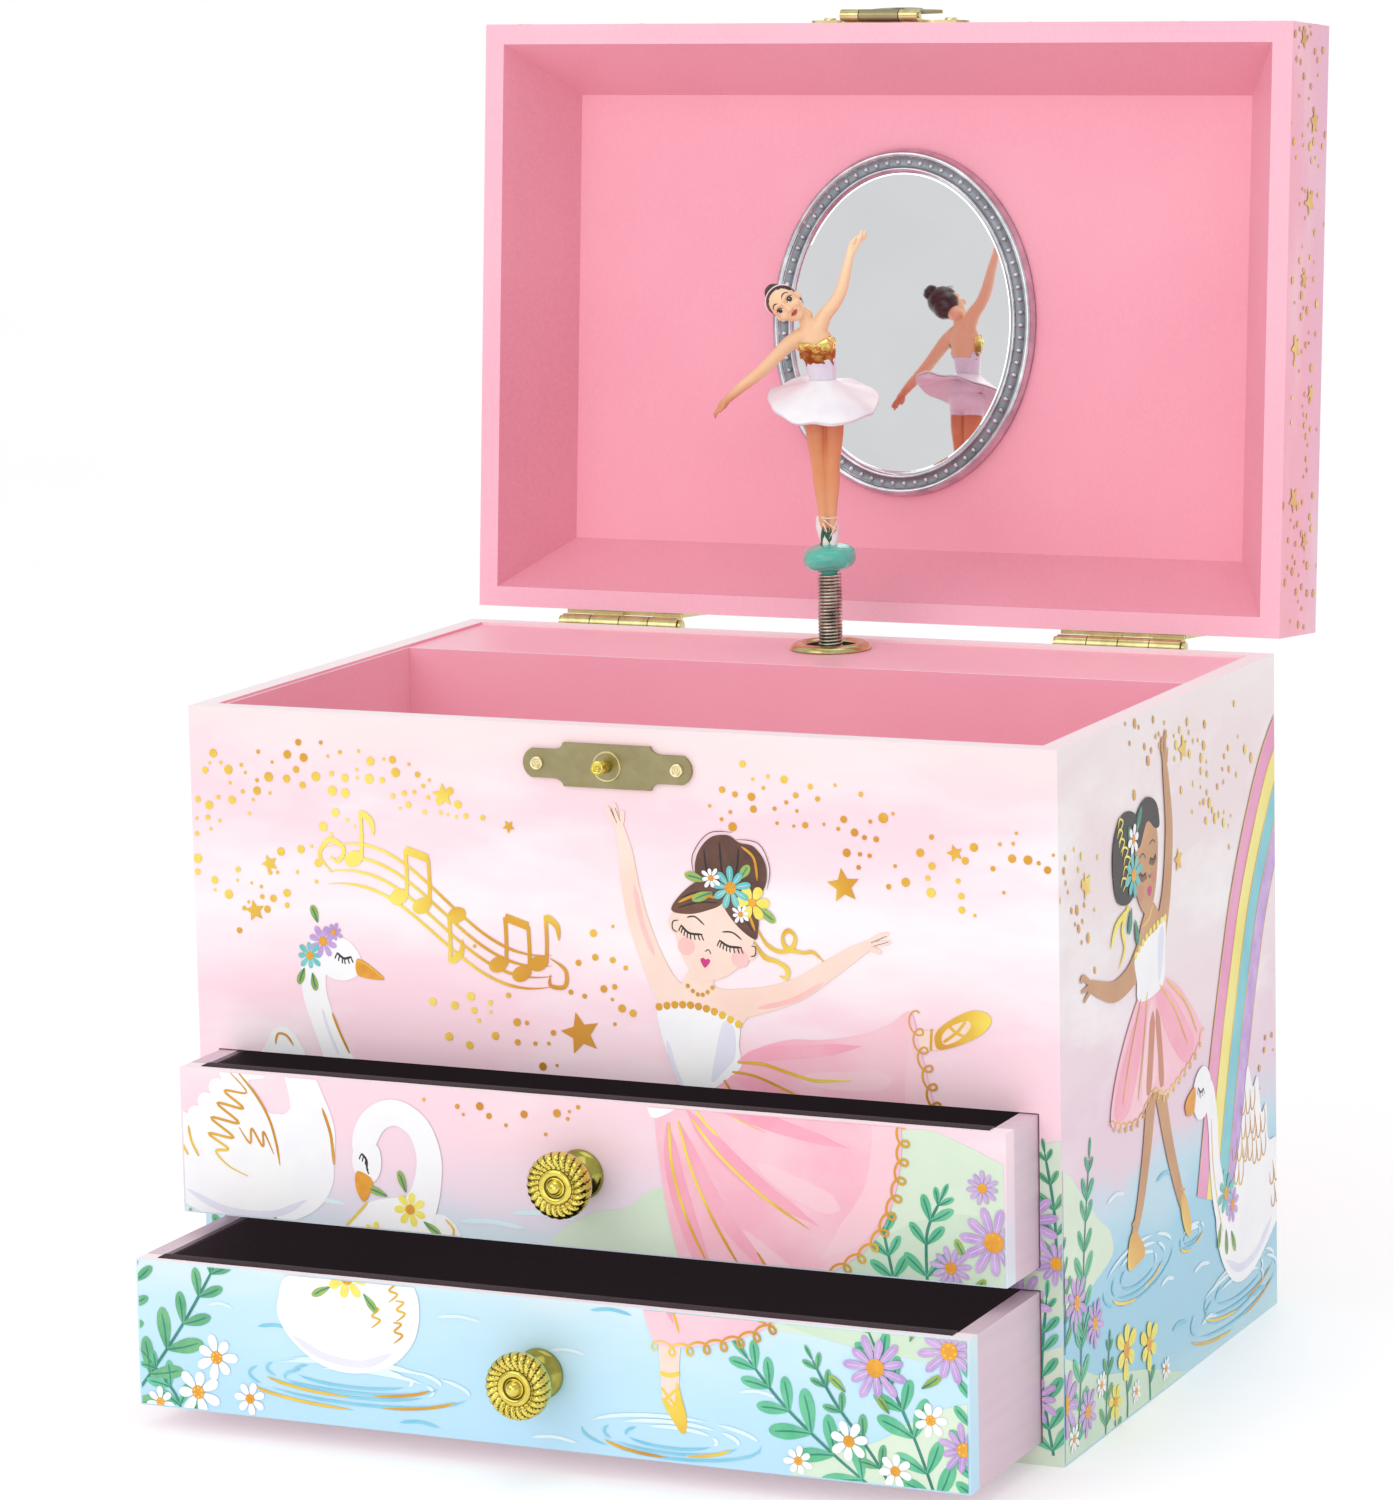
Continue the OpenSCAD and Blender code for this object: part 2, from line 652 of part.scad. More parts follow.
module figure() {
    color("burlywood") dancer_pose() {
        for (s = [-1, 1]) rod_between([s * 0.9, 0, feet_z], [s * 1.9, 0, hip_z], 1.2, 2.7);
        rod_between([0, 0, hip_z - 1], [-0.9, 0, waist_z], 4.2, 2.6);
        translate([-0.9, 0, waist_z]) sphere(r = 2.75, $fn = 32);
        rod_between([-0.9, 0, waist_z + 0.1], [-1.8, 0, 62], 2.5, 3.6);
        rod_between([-2, 0, 61], [-5.4, -0.2, neck_z + 1.6], 1.7, 1.2);
        translate(head_at) sphere(r = 4.1, $fn = 32);
        rod_between(shoulder_l, elbow_l, 1.3, 1.05);
        translate(elbow_l) sphere(r = 1.2, $fn = 24);
        rod_between(elbow_l, [-21.5, -1.2, 46.6], 1, 0.5);
        rod_between(shoulder_r, elbow_r, 1.5, 1.15);
        translate(elbow_r) sphere(r = 1.3, $fn = 24);
        rod_between(elbow_r, [7.1, 0, 80.2], 1.05, 0.7);
    }
}

// the skirt: a dished disc that clips round the waist
tutu_z = 48.6;
tutu_tilt = 12;                // the skirt dips in front

module tutu() {
    color("white") dancer_pose() translate([-0.6, 0, tutu_z]) rotate([tutu_tilt, 0, 0]) rotate_extrude($fn = 64)
        polygon([[4.6, 0], [10.6, -2], [11, -1.4], [10.8, -0.6], [4.8, 2], [3.8, 3.2], [3.3, 3], [4.2, 1.2]]);
}

// ---------- musical movement ----------

module movement_arm(z, t, reach) {
    box([-5, reach, z], [5, bed_y + 1, z + t]);
}

comb_low = cylinder_z + 0.2;
comb_top = cylinder_z + cylinder_l - 0.2;
comb_root_x = 17;
comb_tip_x = 7.2;
comb_screw_z = [comb_low + 3, comb_top - 3];
top_arm_z = 116.5;
low_arm_z = 85.5;
arm_t = 2.5;
gov_arm_x = -26;

// cast frame: a plate against the case's back, two arms for the cylinder, a block for the comb and
// a bracket for the speed governor
module bedplate() {
    color("goldenrod") difference() {
        union() {
            box([-bed_half_w, bed_y, bed_low], [bed_half_w, bed_y + bed_t, bed_top]);
            box([-5, dancer_y - 4, top_arm_z], [5, bed_y + 1, top_arm_z + arm_t]);
            box([-4, dancer_y - 3, low_arm_z], [4, bed_y + 1, low_arm_z + arm_t]);
            box([comb_root_x, dancer_y + 1, comb_low], [24, bed_y + 1, comb_top]);
            box([gov_arm_x, 36, 88], [gov_arm_x + 1.6, bed_y + 1, 103]);
            box([gov_arm_x, 36, 90], [worm_x + 2.6, 37.6, 97.4]);
            for (z = [89, 100.4]) box([gov_arm_x, dancer_y - 2.4, z], [idler_x + 2.4, dancer_y + 2.6, z + 1.6]);
            for (s = [-1, 1], z = [70.5, 86]) y_rod([s * 16.5, 27, z], 1.6, bed_y - 26);
        }
        y_rod([0, bed_y - 1, arbor_z], arbor_r + pin_fit, bed_t + 2);
        z_rod([0, dancer_y, top_arm_z - 1], 1.25, arm_t + 2);
        z_rod([0, dancer_y, low_arm_z - 1], 1.05, arm_t + 2);
        y_rod([worm_x, 35, worm_z], 0.65, 4, 20);
        y_rod([worm_x, bed_y - 1, worm_z], 0.65, 2.5, 20);
        for (z = [89, 100.4]) z_rod([idler_x, dancer_y, z - 1], 0.65, 3.6, 20);
        for (p = movement_screw_at) y_rod([p.x, bed_y - 1, p.y], 1.2, bed_t + 2, 24);
        for (z = comb_screw_z) y_rod([20.5, dancer_y, z], 1, 4, 24);
    }
}

module movement_screws() {
    color("silver") for (p = movement_screw_at) {
        y_rod([p.x, bed_y + 0.2, p.y], 1.15, half_d - bed_y - 0.2 + 0.1, 24);
        translate([p.x, half_d, p.y]) rotate([-90, 0, 0]) cylinder(r1 = 2.8, r2 = 1.9, h = 1.3, $fn = 32);
    }
}

// front bearing plate of the mainspring's barrel
module front_plate() {
    color("goldenrod") difference() {
        box([-19, 25.4, 68.5], [19, 27, 95]);
        y_rod([0, 25, arbor_z], arbor_r + pin_fit, 3);
    }
}

// the tuned pins: each note's row has three, spread round the cylinder by a fixed step
pin_rows = [for (i = [0:notes - 1], k = [0:2]) [i, (i * 137.5 + k * 101) % 360]];

module pinned_cylinder() {
    color("khaki") translate([0, dancer_y, 0]) union() {
        z_rod([0, 0, low_arm_z + 0.2], 1, 12);
        translate([0, 0, crown_z - 1.8]) linear_extrude(3.6) rotate(-90)
            gear_outline(crown_pinion_teeth, crown_module);
        z_rod([0, 0, low_arm_z + arm_t + 0.3], 1.8, 5);
        translate([0, 0, great_z]) linear_extrude(1.6) rotate(180) gear_outline(great_teeth, train_module);
        z_rod([0, 0, great_z + 1], 3, 2);
        z_rod([0, 0, cylinder_z], cylinder_r, cylinder_l, 64);
        for (p = pin_rows) rotate([0, 0, p[1]])
            x_rod([cylinder_r - 0.5, 0, cylinder_z + 0.85 + p[0] * note_pitch], 0.2, 0.85, 16);
        z_rod([0, 0, cylinder_z + 1], 1.2, 20);
        z_rod([0, 0, top_arm_z + arm_t + 0.3], spindle_r, deck_top - top_arm_z - arm_t - 1);
    }
}

module comb() {
    pitch = note_pitch;
    color("silver") difference() {
        union() {
            box([comb_root_x, dancer_y - 1, comb_low], [24, dancer_y + 1, comb_top]);
            for (i = [0:notes - 1]) {
                z = cylinder_z + 0.85 + i * pitch;
                box([comb_tip_x, dancer_y - 0.35, z - 0.33], [comb_root_x + 0.5, dancer_y + 0.35, z + 0.33]);
            }
        }
        for (z = comb_screw_z) y_rod([20.5, dancer_y - 2, z], 1.1, 4, 24);
    }
}

module comb_screws() {
    color("gold") for (z = comb_screw_z) {
        y_rod([20.5, dancer_y - 1, z], 0.95, 4.6, 24);
        y_rod([20.5, dancer_y - 2.4, z], 2, 1.4, 24);
    }
}

// one tooth of the crown wheel, at its top
module crown_tooth() {
    p = PI * crown_module;
    h = crown_tip_y - crown_root_y;
    translate([0, crown_root_y - eps, arbor_z + crown_r - 1.2]) linear_extrude(2.4)
        polygon([[-0.24 * p, 0], [0.24 * p, 0], [0.09 * p, h], [-0.09 * p, h]]);
}

module spring_barrel() {
    plate_t = 1;
    color("gold") difference() {
        union() {
            y_rod([0, barrel_y, arbor_z], barrel_r, crown_root_y - barrel_y, 64);
            y_rod([0, crown_root_y - plate_t, arbor_z], crown_r + 1.4, plate_t, 64);
            for (i = [0:crown_teeth - 1]) translate([0, 0, arbor_z]) rotate([0, i * 360 / crown_teeth, 0])
                translate([0, 0, -arbor_z]) crown_tooth();
        }
        y_rod([0, barrel_y - 1, arbor_z], barrel_r - 0.8, crown_root_y - barrel_y - plate_t + 1, 64);
        y_rod([0, barrel_y, arbor_z], arbor_r + 0.1, 20);
    }
}

module barrel_cover() {
    color("gold") difference() {
        y_rod([0, barrel_y - 0.9, arbor_z], barrel_r, 0.9, 64);
        y_rod([0, barrel_y - 2, arbor_z], arbor_r + 0.1, 4);
    }
}

// the mainspring: a strip wound from the arbor out to the barrel's wall
module mainspring() {
    turns = 7;
    steps = 16;
    r0 = 3.2;
    r1 = barrel_r - 1.3;
    strip = 0.35;
    function at(i, off) = let (a = i * 360 / steps, r = r0 + (r1 - r0) * i / (turns * steps) + off) r * [cos(a), sin(a)];
    color("slategray") translate([0, barrel_y + 0.5, arbor_z]) rotate([-90, 0, 0]) linear_extrude(8.2)
        polygon(concat([for (i = [0:turns * steps]) at(i, 0)], [for (i = [turns * steps:-1:0]) at(i, strip)]));
}

arbor_front_y = 25.5;
key_y = half_d + 2;

module winding_arbor() {
    color("silver") y_rod([0, arbor_front_y, arbor_z], arbor_r, key_y + 5 - arbor_front_y);
}

// the key: a hub on the arbor's end and two pierced wings
module winding_key() {
    color("gold") difference() {
        union() {
            y_rod([0, key_y, arbor_z], 3.4, 6);
            translate([0, key_y, arbor_z - 0.8]) linear_extrude(1.6) difference() {
                union() {
                    for (s = [-1, 1]) translate([s * 5.4, 8.4]) circle(r = 4.6, $fn = 48);
                    translate([-4, 4]) square([8, 5.4]);
                }
                for (s = [-1, 1]) translate([s * 5.8, 8.8]) circle(r = 2, $fn = 32);
            }
        }
        y_rod([0, key_y - 1, arbor_z], arbor_r, 6.01);
    }
}

// the wrapped spring that lets the arbor turn one way only
module clutch_spring() {
    color("slategray") difference() {
        y_rod([0, bed_y - 4, arbor_z], arbor_r + 0.9, 4);
        y_rod([0, bed_y - 5, arbor_z], arbor_r + pin_fit, 6);
    }
}

// wheel between the cylinder and the worm
module governor_idler() {
    color("khaki") translate([idler_x, dancer_y, 0]) {
        z_rod([0, 0, 89.2], 0.6, 12.6, 20);
        z_rod([0, 0, 91], 1.2, 9);
        translate([0, 0, great_z - 0.5]) linear_extrude(2.6) rotate(360 / idler_teeth / 2)
            gear_outline(idler_teeth, train_module);
        translate([0, 0, worm_z - 0.6]) linear_extrude(1.2) rotate(180)
            gear_outline(worm_wheel_teeth, train_module);
    }
}

// worm, brake collar and two-bladed fan on one shaft
module governor_fly() {
    turns = 4;
    length = turns * worm_lead;
    color("khaki") translate([worm_x, 0, worm_z]) {
        y_rod([0, 28, 0], 0.6, 24.6, 20);
        y_rod([0, 38.4, 0], 2.2, 1.4, 32);
        y_rod([0, 28.4, 0], 1.5, 5);
        box([-5, 28.8, -0.3], [5, 33, 0.3]);
        translate([0, dancer_y - length / 2, 0]) rotate([-90, 0, 0])
            linear_extrude(length, twist = -360 * turns, slices = turns * 9) translate([0.32, 0])
                circle(r = worm_crest - 0.32, $fn = 12);
    }
}

// bent wire that the lid pushes down to brake the fan's collar
stop_top = deck_top + 5;
stop_level = 122.6;
stop_foot_z = worm_z + 2.2 + stop_travel + 0.1;
stop_wire_r = 0.5;
stop_points = [[stop_at.x, stop_at.y, stop_top], [stop_at.x, stop_at.y, stop_level],
    [worm_x, 39.1, stop_level], [worm_x, 39.1, stop_foot_z]];

module stop_wire() {
    color("silver") {
        for (i = [0:2]) rod_between(stop_points[i], stop_points[i + 1], stop_wire_r, stop_wire_r);
        for (i = [1, 2]) translate(stop_points[i]) sphere(r = stop_wire_r + 0.08, $fn = 24);
    }
}

base_panel();
left_side();
right_side();
back_panel();
front_panel();
drawer_divider();
tray_floor();
movement_partition();
movement_deck();
tray_lining();
grommet();
lock_plate();
lock_stud();
lock_nails();
hinge_case_leaves();
hinge_lid_leaves();
hinge_pins();
hinge_case_screws();
hinge_lid_screws();
lid_top();
lid_front_wall();
lid_rear_wall();
lid_left_wall();
lid_right_wall();
lid_liner();
mirror_frame();
mirror_glass();
hasp_plate();
hasp_tab();
hasp_pin();
hasp_nails();
upper_drawer_front();
upper_drawer_box();
upper_drawer_lining();
upper_knob();
upper_knob_screw();
lower_drawer_front();
lower_drawer_box();
lower_drawer_lining();
lower_knob();
lower_knob_screw();
coil_spring();
button();
figure();
tutu();
bedplate();
movement_screws();
front_plate();
pinned_cylinder();
comb();
comb_screws();
spring_barrel();
barrel_cover();
mainspring();
winding_arbor();
winding_key();
clutch_spring();
governor_idler();
governor_fly();
stop_wire();
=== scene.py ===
"""Ballerina jewellery box: the looks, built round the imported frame.

Lengths are in millimetres until a mesh is made.
"""

import math
import random

import bmesh
import bpy
from mathutils import Matrix, Vector, geometry, noise


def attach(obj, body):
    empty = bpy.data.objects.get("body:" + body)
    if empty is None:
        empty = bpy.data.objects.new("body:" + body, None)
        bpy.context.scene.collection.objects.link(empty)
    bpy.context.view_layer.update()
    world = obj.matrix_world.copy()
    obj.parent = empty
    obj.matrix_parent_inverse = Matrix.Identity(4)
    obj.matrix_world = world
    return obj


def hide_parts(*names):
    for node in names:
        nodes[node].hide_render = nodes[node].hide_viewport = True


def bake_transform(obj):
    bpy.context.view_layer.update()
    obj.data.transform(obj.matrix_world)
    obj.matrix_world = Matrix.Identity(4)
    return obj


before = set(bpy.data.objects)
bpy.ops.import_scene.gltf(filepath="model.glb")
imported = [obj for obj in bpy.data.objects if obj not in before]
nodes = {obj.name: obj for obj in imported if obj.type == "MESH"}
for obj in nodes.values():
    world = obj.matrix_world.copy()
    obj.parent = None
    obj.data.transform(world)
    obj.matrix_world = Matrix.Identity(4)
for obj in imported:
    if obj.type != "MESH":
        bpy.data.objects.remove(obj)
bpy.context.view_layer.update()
MM = 0.001

CASE_W, CASE_D, CASE_H, WALL = 170, 117, 127, 4
HALF_W, HALF_D = CASE_W / 2, CASE_D / 2
FRONT_Y = -HALF_D
UPPER_Y, LOWER_Y = FRONT_Y - 15.4, FRONT_Y - 33.6
UPPER_Z, LOWER_Z = 35.65, 4.15
DRAWERS = (("upper", UPPER_Y, UPPER_Z), ("lower", LOWER_Y, LOWER_Z))
DRAWER_FRONT_H, KNOB_UP = 27.1, 13.55
LOCK_Z, HASP_NAIL_Z = 120, 134.1
LID_Z, LID_H, LID_OPEN = 127.2, 22.2, 94.9
PIN_Y, PIN_Z = 61.1, 126.8
CEILING_Z = LID_Z + LID_H - 5.2
DECK_TOP = 126.5
DANCER_Y, DANCER_TURN = 43.4, 20
LID = (
    Matrix.Translation((0, PIN_Y, PIN_Z))
    @ Matrix.Rotation(math.radians(-LID_OPEN), 4, "X")
    @ Matrix.Translation((0, -PIN_Y, -PIN_Z))
)
DANCER = Matrix.Translation((0, DANCER_Y, DECK_TOP)) @ Matrix.Rotation(math.radians(DANCER_TURN), 4, "Z")


# ---------- materials ----------


def rgb(r, g, b):
    """An sRGB colour from 0 to 255, as linear values."""
    return tuple(
        (c / 255 / 12.92 if c <= 10 else ((c / 255 + 0.055) / 1.055) ** 2.4) for c in (r, g, b)
    ) + (1.0,)


class Mat:
    """A node material with object coordinates and a few ready-made pieces of detail."""

    def __init__(self, name, rough=0.5, metal=0.0, coat=0.0, coat_rough=0.1, sheen=0.0, ior=1.45):
        self.m = bpy.data.materials.new(name)
        self.m.use_nodes = True
        self.t = self.m.node_tree
        self.b = self.t.nodes["Principled BSDF"]
        self.b.inputs["Roughness"].default_value = rough
        self.b.inputs["Metallic"].default_value = metal
        self.b.inputs["Coat Weight"].default_value = coat
        self.b.inputs["Coat Roughness"].default_value = coat_rough
        self.b.inputs["Sheen Weight"].default_value = sheen
        self.b.inputs["IOR"].default_value = ior
        self.co = self.node("ShaderNodeTexCoord").outputs["Object"]
        self.height = None

    def node(self, kind, **values):
        n = self.t.nodes.new(kind)
        for k, v in values.items():
            if hasattr(n, k):
                setattr(n, k, v)
            else:
                n.inputs[k.replace("_", " ")].default_value = v
        return n

    def link(self, a, b):
        self.t.links.new(a, b)

    def stretched(self, scale):
        n = self.node("ShaderNodeMapping")
        n.inputs["Scale"].default_value = scale
        self.link(self.co, n.inputs["Vector"])
        return n.outputs["Vector"]

    def noise(self, scale, detail=4.0, rough=0.55, stretch=None):
        n = self.node("ShaderNodeTexNoise", Scale=scale, Detail=detail, Roughness=rough)
        self.link(self.stretched(stretch) if stretch else self.co, n.inputs["Vector"])
        return n.outputs["Fac"]

    def ramp(self, fac, stops):
        n = self.node("ShaderNodeValToRGB")
        e = n.color_ramp.elements
        while len(e) < len(stops):
            e.new(0.5)
        for i, (at, colour) in enumerate(stops):
            e[i].position = at
            e[i].color = colour if hasattr(colour, "__len__") else (colour, colour, colour, 1)
        self.link(fac, n.inputs["Fac"])
        return n.outputs["Color"]

    def math(self, op, a, b=None, c=None, clamp=False):
        n = self.node("ShaderNodeMath", operation=op, use_clamp=clamp)
        for i, v in enumerate((a, b, c)):
            if v is None:
                continue
            if hasattr(v, "is_output"):
                self.link(v, n.inputs[i])
            else:
                n.inputs[i].default_value = v
        return n.outputs[0]

    def mix(self, fac, a, b, blend="MIX"):
        n = self.node("ShaderNodeMix", data_type="RGBA", blend_type=blend)
        for key, v in (("Factor", fac), ("A", a), ("B", b)):
            s = [i for i in n.inputs if i.name == key and (i.type == "RGBA" or key == "Factor")][0]
            if hasattr(v, "is_output"):
                self.link(v, s)
            else:
                s.default_value = v
        return [o for o in n.outputs if o.type == "RGBA"][0]

    def color(self, socket):
        if hasattr(socket, "is_output"):
            self.link(socket, self.b.inputs["Base Color"])
        else:
            self.b.inputs["Base Color"].default_value = socket
        return self

    def above_deck(self, low, high):
        """From 0 at one height above the deck to 1 at another."""
        xyz = self.node("ShaderNodeSeparateXYZ")
        self.link(self.co, xyz.inputs[0])
        up = self.node("ShaderNodeMapRange")
        up.inputs["From Min"].default_value = (DECK_TOP + low) * MM
        up.inputs["From Max"].default_value = (DECK_TOP + high) * MM
        self.link(xyz.outputs["Z"], up.inputs["Value"])
        return up.outputs["Result"]

    def rough(self, fac, low, high):
        n = self.node("ShaderNodeMapRange")
        n.inputs["To Min"].default_value = low
        n.inputs["To Max"].default_value = high
        self.link(fac, n.inputs["Value"])
        self.link(n.outputs["Result"], self.b.inputs["Roughness"])
        return self

    def bump(self, fac, strength=0.2, distance=0.05):
        n = self.node("ShaderNodeBump", Strength=strength, Distance=distance * MM)
        self.link(fac, n.inputs["Height"])
        if self.height is not None:
            self.link(self.height, n.inputs["Normal"])
        self.height = n.outputs["Normal"]
        self.link(self.height, self.b.inputs["Normal"])
        return self


def ink(name, color, other, scale):
    """Printed ink: two close tones that pool like watercolour, with a trace of paper grain."""
    m = Mat(name, rough=0.5, coat=0.25, coat_rough=0.35)
    pool = m.ramp(m.noise(scale, 5, 0.6), [(0.35, 0.0), (0.65, 1.0)])
    m.color(m.mix(pool, color, other))
    m.bump(m.noise(5200, 3), 0.08, 0.02)
    return m.m


def metal(name, color, dark, rough=(0.16, 0.34), scratch=0.06):
    """Plated metal: tarnish in soft clouds, fine scratches and uneven polish."""
    scale = 900
    m = Mat(name, metal=1.0)
    cloud = m.ramp(m.noise(scale * 0.3, 5, 0.6), [(0.3, 0.0), (0.75, 1.0)])
    m.color(m.mix(cloud, color, dark))
    m.rough(m.noise(scale, 6, 0.65), *rough)
    m.bump(m.noise(scale * 3, 4, 0.6, (1, 0.12, 1)), scratch, 0.03)
    return m.m


def pearl_paper(name, color, deep, glow):
    """Pink pearl paper: fine fibres, a soft cloudy tone and a satin sheen."""
    m = Mat(name, rough=0.42, coat=0.3, coat_rough=0.3, sheen=0.15)
    cloud = m.ramp(m.noise(26, 4, 0.5), [(0.3, 0.0), (0.7, 1.0)])
    fibre = m.ramp(m.noise(2600, 3, 0.7, (1, 0.25, 0.6)), [(0.35, 0.0), (0.7, 1.0)])
    m.color(m.mix(m.math("MULTIPLY", fibre, 0.35), m.mix(cloud, color, deep), glow))
    m.rough(m.noise(700, 4), 0.34, 0.5)
    m.bump(m.noise(2400, 4, 0.6), 0.1, 0.03)
    m.bump(m.noise(60, 2), 0.05, 0.4)
    return m.m


def wash(name, axis, stops, across, clouds=0.5, span=CASE_H):
    """A printed watercolour sky: tones that change up the box, torn by soft sideways clouds."""
    m = Mat(name, rough=0.36, coat=0.35, coat_rough=0.25)
    xyz = m.node("ShaderNodeSeparateXYZ")
    m.link(m.co, xyz.inputs[0])
    soft = m.noise(15, 3, 0.5, across)
    fine = m.noise(60, 4, 0.6, across)
    up = m.math("MULTIPLY", xyz.outputs[axis], 1000 / span)
    up = m.math("ADD", up, m.math("MULTIPLY", m.math("SUBTRACT", soft, 0.5), 0.22))
    up = m.math("ADD", up, m.math("MULTIPLY", m.math("SUBTRACT", fine, 0.5), 0.06), clamp=True)
    base = m.ramp(up, [(z / span, rgb(*c)) for z, c in stops])
    veil = m.ramp(m.noise(22, 5, 0.55, across), [(0.47, 0.0), (0.66, clouds)])
    keep = m.ramp(up, [(0.36, 0.0), (0.5, 1.0), (0.86, 1.0), (0.97, 0.3)])
    m.color(m.mix(m.math("MULTIPLY", veil, keep), base, rgb(255, 253, 254)))
    m.rough(m.noise(1500, 3), 0.3, 0.42)
    m.bump(m.noise(3200, 3), 0.06, 0.02)
    return m.m


FRONT_STOPS = [
    (0, (184, 224, 250)), (16, (190, 229, 250)), (27, (202, 234, 250)), (33, (218, 238, 246)),
    (38, (222, 226, 238)), (45, (240, 222, 236)), (60, (255, 218, 229)), (76, (254, 216, 228)),
    (92, (255, 240, 244)), (102, (255, 226, 234)), (112, (254, 216, 226)), (122, (255, 226, 228)),
]
SIDE_STOPS = [
    (0, (184, 222, 232)), (12, (152, 206, 228)), (26, (150, 208, 232)), (36, (186, 220, 236)),
    (41, (206, 216, 232)), (47, (232, 204, 220)), (58, (234, 204, 220)), (72, (240, 218, 226)),
    (88, (240, 228, 230)),
    (104, (238, 218, 222)), (118, (240, 222, 224)), (127, (244, 230, 231)),
]
front_print = wash("front_print", "Z", FRONT_STOPS, (1, 1, 2.6))
side_print = wash("side_print", "Z", SIDE_STOPS, (1, 1, 2.6), clouds=0.6)
lid_print = wash(
    "lid_print", "Y",
    [(0, (253, 168, 184)), (50, (252, 162, 180)), (66, (250, 158, 180)), (76, (248, 160, 184)),
     (84, (240, 166, 192)), (96, (232, 170, 204))],
    (1, 2.4, 1), clouds=0.25, span=96,
)
pink_paper = pearl_paper("pink_paper", rgb(252, 171, 190), rgb(248, 160, 182), rgb(255, 190, 205))
# The rim paper is the pink paper painted lighter: painted light on the lid's rim edges.
lit_pink_rim = pearl_paper("lit_pink_rim", rgb(253, 190, 207), rgb(251, 182, 202), rgb(255, 208, 220))
# The tray paper is the pink paper painted lighter: painted light that lifts the shade in the tray and on
# the front panel's inside.
lit_tray_paper = pearl_paper("lit_tray_paper", rgb(254, 182, 200), rgb(250, 172, 192), rgb(255, 198, 212))
# The liner paper is the pink paper painted darker: painted shade on the liner's inner walls.
shaded_liner_paper = pearl_paper("shaded_liner_paper", rgb(240, 158, 178), rgb(232, 148, 168), rgb(250, 176, 194))
rim_paper = pearl_paper("rim_paper", rgb(254, 245, 247), rgb(252, 238, 242), rgb(255, 250, 252))


def matte(material):
    """Take the shine off a paper, so that a bare edge doesn't mirror what stands over it."""
    b = material.node_tree.nodes["Principled BSDF"]
    b.inputs["Coat Weight"].default_value = 0.0
    b.inputs["Sheen Weight"].default_value = 0.0
    b.inputs["Specular IOR Level"].default_value = 0.1


matte(rim_paper)


def board_material():
    m = Mat("grey_board", rough=0.85)
    fleck = m.ramp(m.noise(3000, 5, 0.7), [(0.4, rgb(176, 160, 150)), (0.6, rgb(206, 192, 182))])
    m.color(fleck)
    m.bump(m.noise(2400, 4), 0.3, 0.05)
    return m.m


def drawer_side_material():
    """Pale mauve paper, with the faint drag marks of a drawer that slides."""
    m = Mat("mauve_paper", rough=0.5, coat=0.2, coat_rough=0.35)
    drag = m.ramp(m.noise(420, 4, 0.6, (1, 0.05, 1)), [(0.35, 0.0), (0.8, 0.5)])
    cloud = m.ramp(m.noise(30, 3), [(0.3, rgb(228, 204, 216)), (0.7, rgb(220, 194, 208))])
    m.color(m.mix(drag, cloud, rgb(206, 182, 196)))
    m.bump(m.noise(2600, 3), 0.08, 0.03)
    return m.m


def shade_lining_material():
    """Lining paper with a short nap, painted dark plum as painted shade inside the drawers, with a faint
    glow as painted light.
    """
    m = Mat("plum_shade_lining", rough=0.95, sheen=0.05)
    m.b.inputs["Specular IOR Level"].default_value = 0.1
    nap = m.ramp(m.noise(2400, 5, 0.7), [(0.35, rgb(48, 39, 43)), (0.7, rgb(66, 54, 60))])
    wear = m.ramp(m.noise(50, 3), [(0.4, 0.0), (0.75, 0.35)])
    m.color(m.mix(wear, nap, rgb(78, 66, 72)))
    # painted light: a faint emission glow lifts the dark lining
    m.b.inputs["Emission Color"].default_value = (0.015, 0.0105, 0.0125, 1)
    m.b.inputs["Emission Strength"].default_value = 1.0
    m.bump(m.noise(3000, 4, 0.7), 0.35, 0.06)
    return m.m


def bore_shade_material():
    """Painted shade for the inside of the grommet: near-black faces down the hole."""
    m = Mat("bore_painted_shade", rough=0.7)
    m.color(m.ramp(m.noise(900, 4), [(0.3, rgb(26, 22, 22)), (0.7, rgb(46, 40, 38))]))
    return m.m


bore_painted_shade = bore_shade_material()
grey_board = board_material()
mauve_paper = drawer_side_material()
plum_shade_lining = shade_lining_material()
brass = metal("brass_plate", rgb(166, 156, 118), rgb(148, 138, 102), (0.3, 0.42), 0.05)
brass_pale = metal("brass_pale", rgb(226, 214, 158), rgb(176, 162, 106), (0.16, 0.3))
gold_bright = metal("gold_bright", rgb(238, 222, 116), rgb(206, 184, 78), (0.07, 0.17), 0.04)
# A darker, olive copy of the bright gold: painted shade for the knobs' feet and waists.
shaded_olive_gold = metal("shaded_olive_gold", rgb(186, 180, 92), rgb(132, 126, 56), (0.12, 0.24), 0.04)
# Painted shade for the grooves between the knobs' petals.
shadow_gold = metal("shadow_gold", rgb(112, 102, 36), rgb(70, 62, 22), (0.2, 0.3))
nail_gold = metal("nail_gold", rgb(250, 240, 206), rgb(222, 204, 150), (0.1, 0.2), 0.03)
steel = metal("spring_steel", rgb(222, 218, 204), rgb(104, 98, 84), (0.08, 0.2))
chrome = metal("chrome_plate", rgb(226, 228, 232), rgb(176, 179, 184), (0.06, 0.16), 0.03)
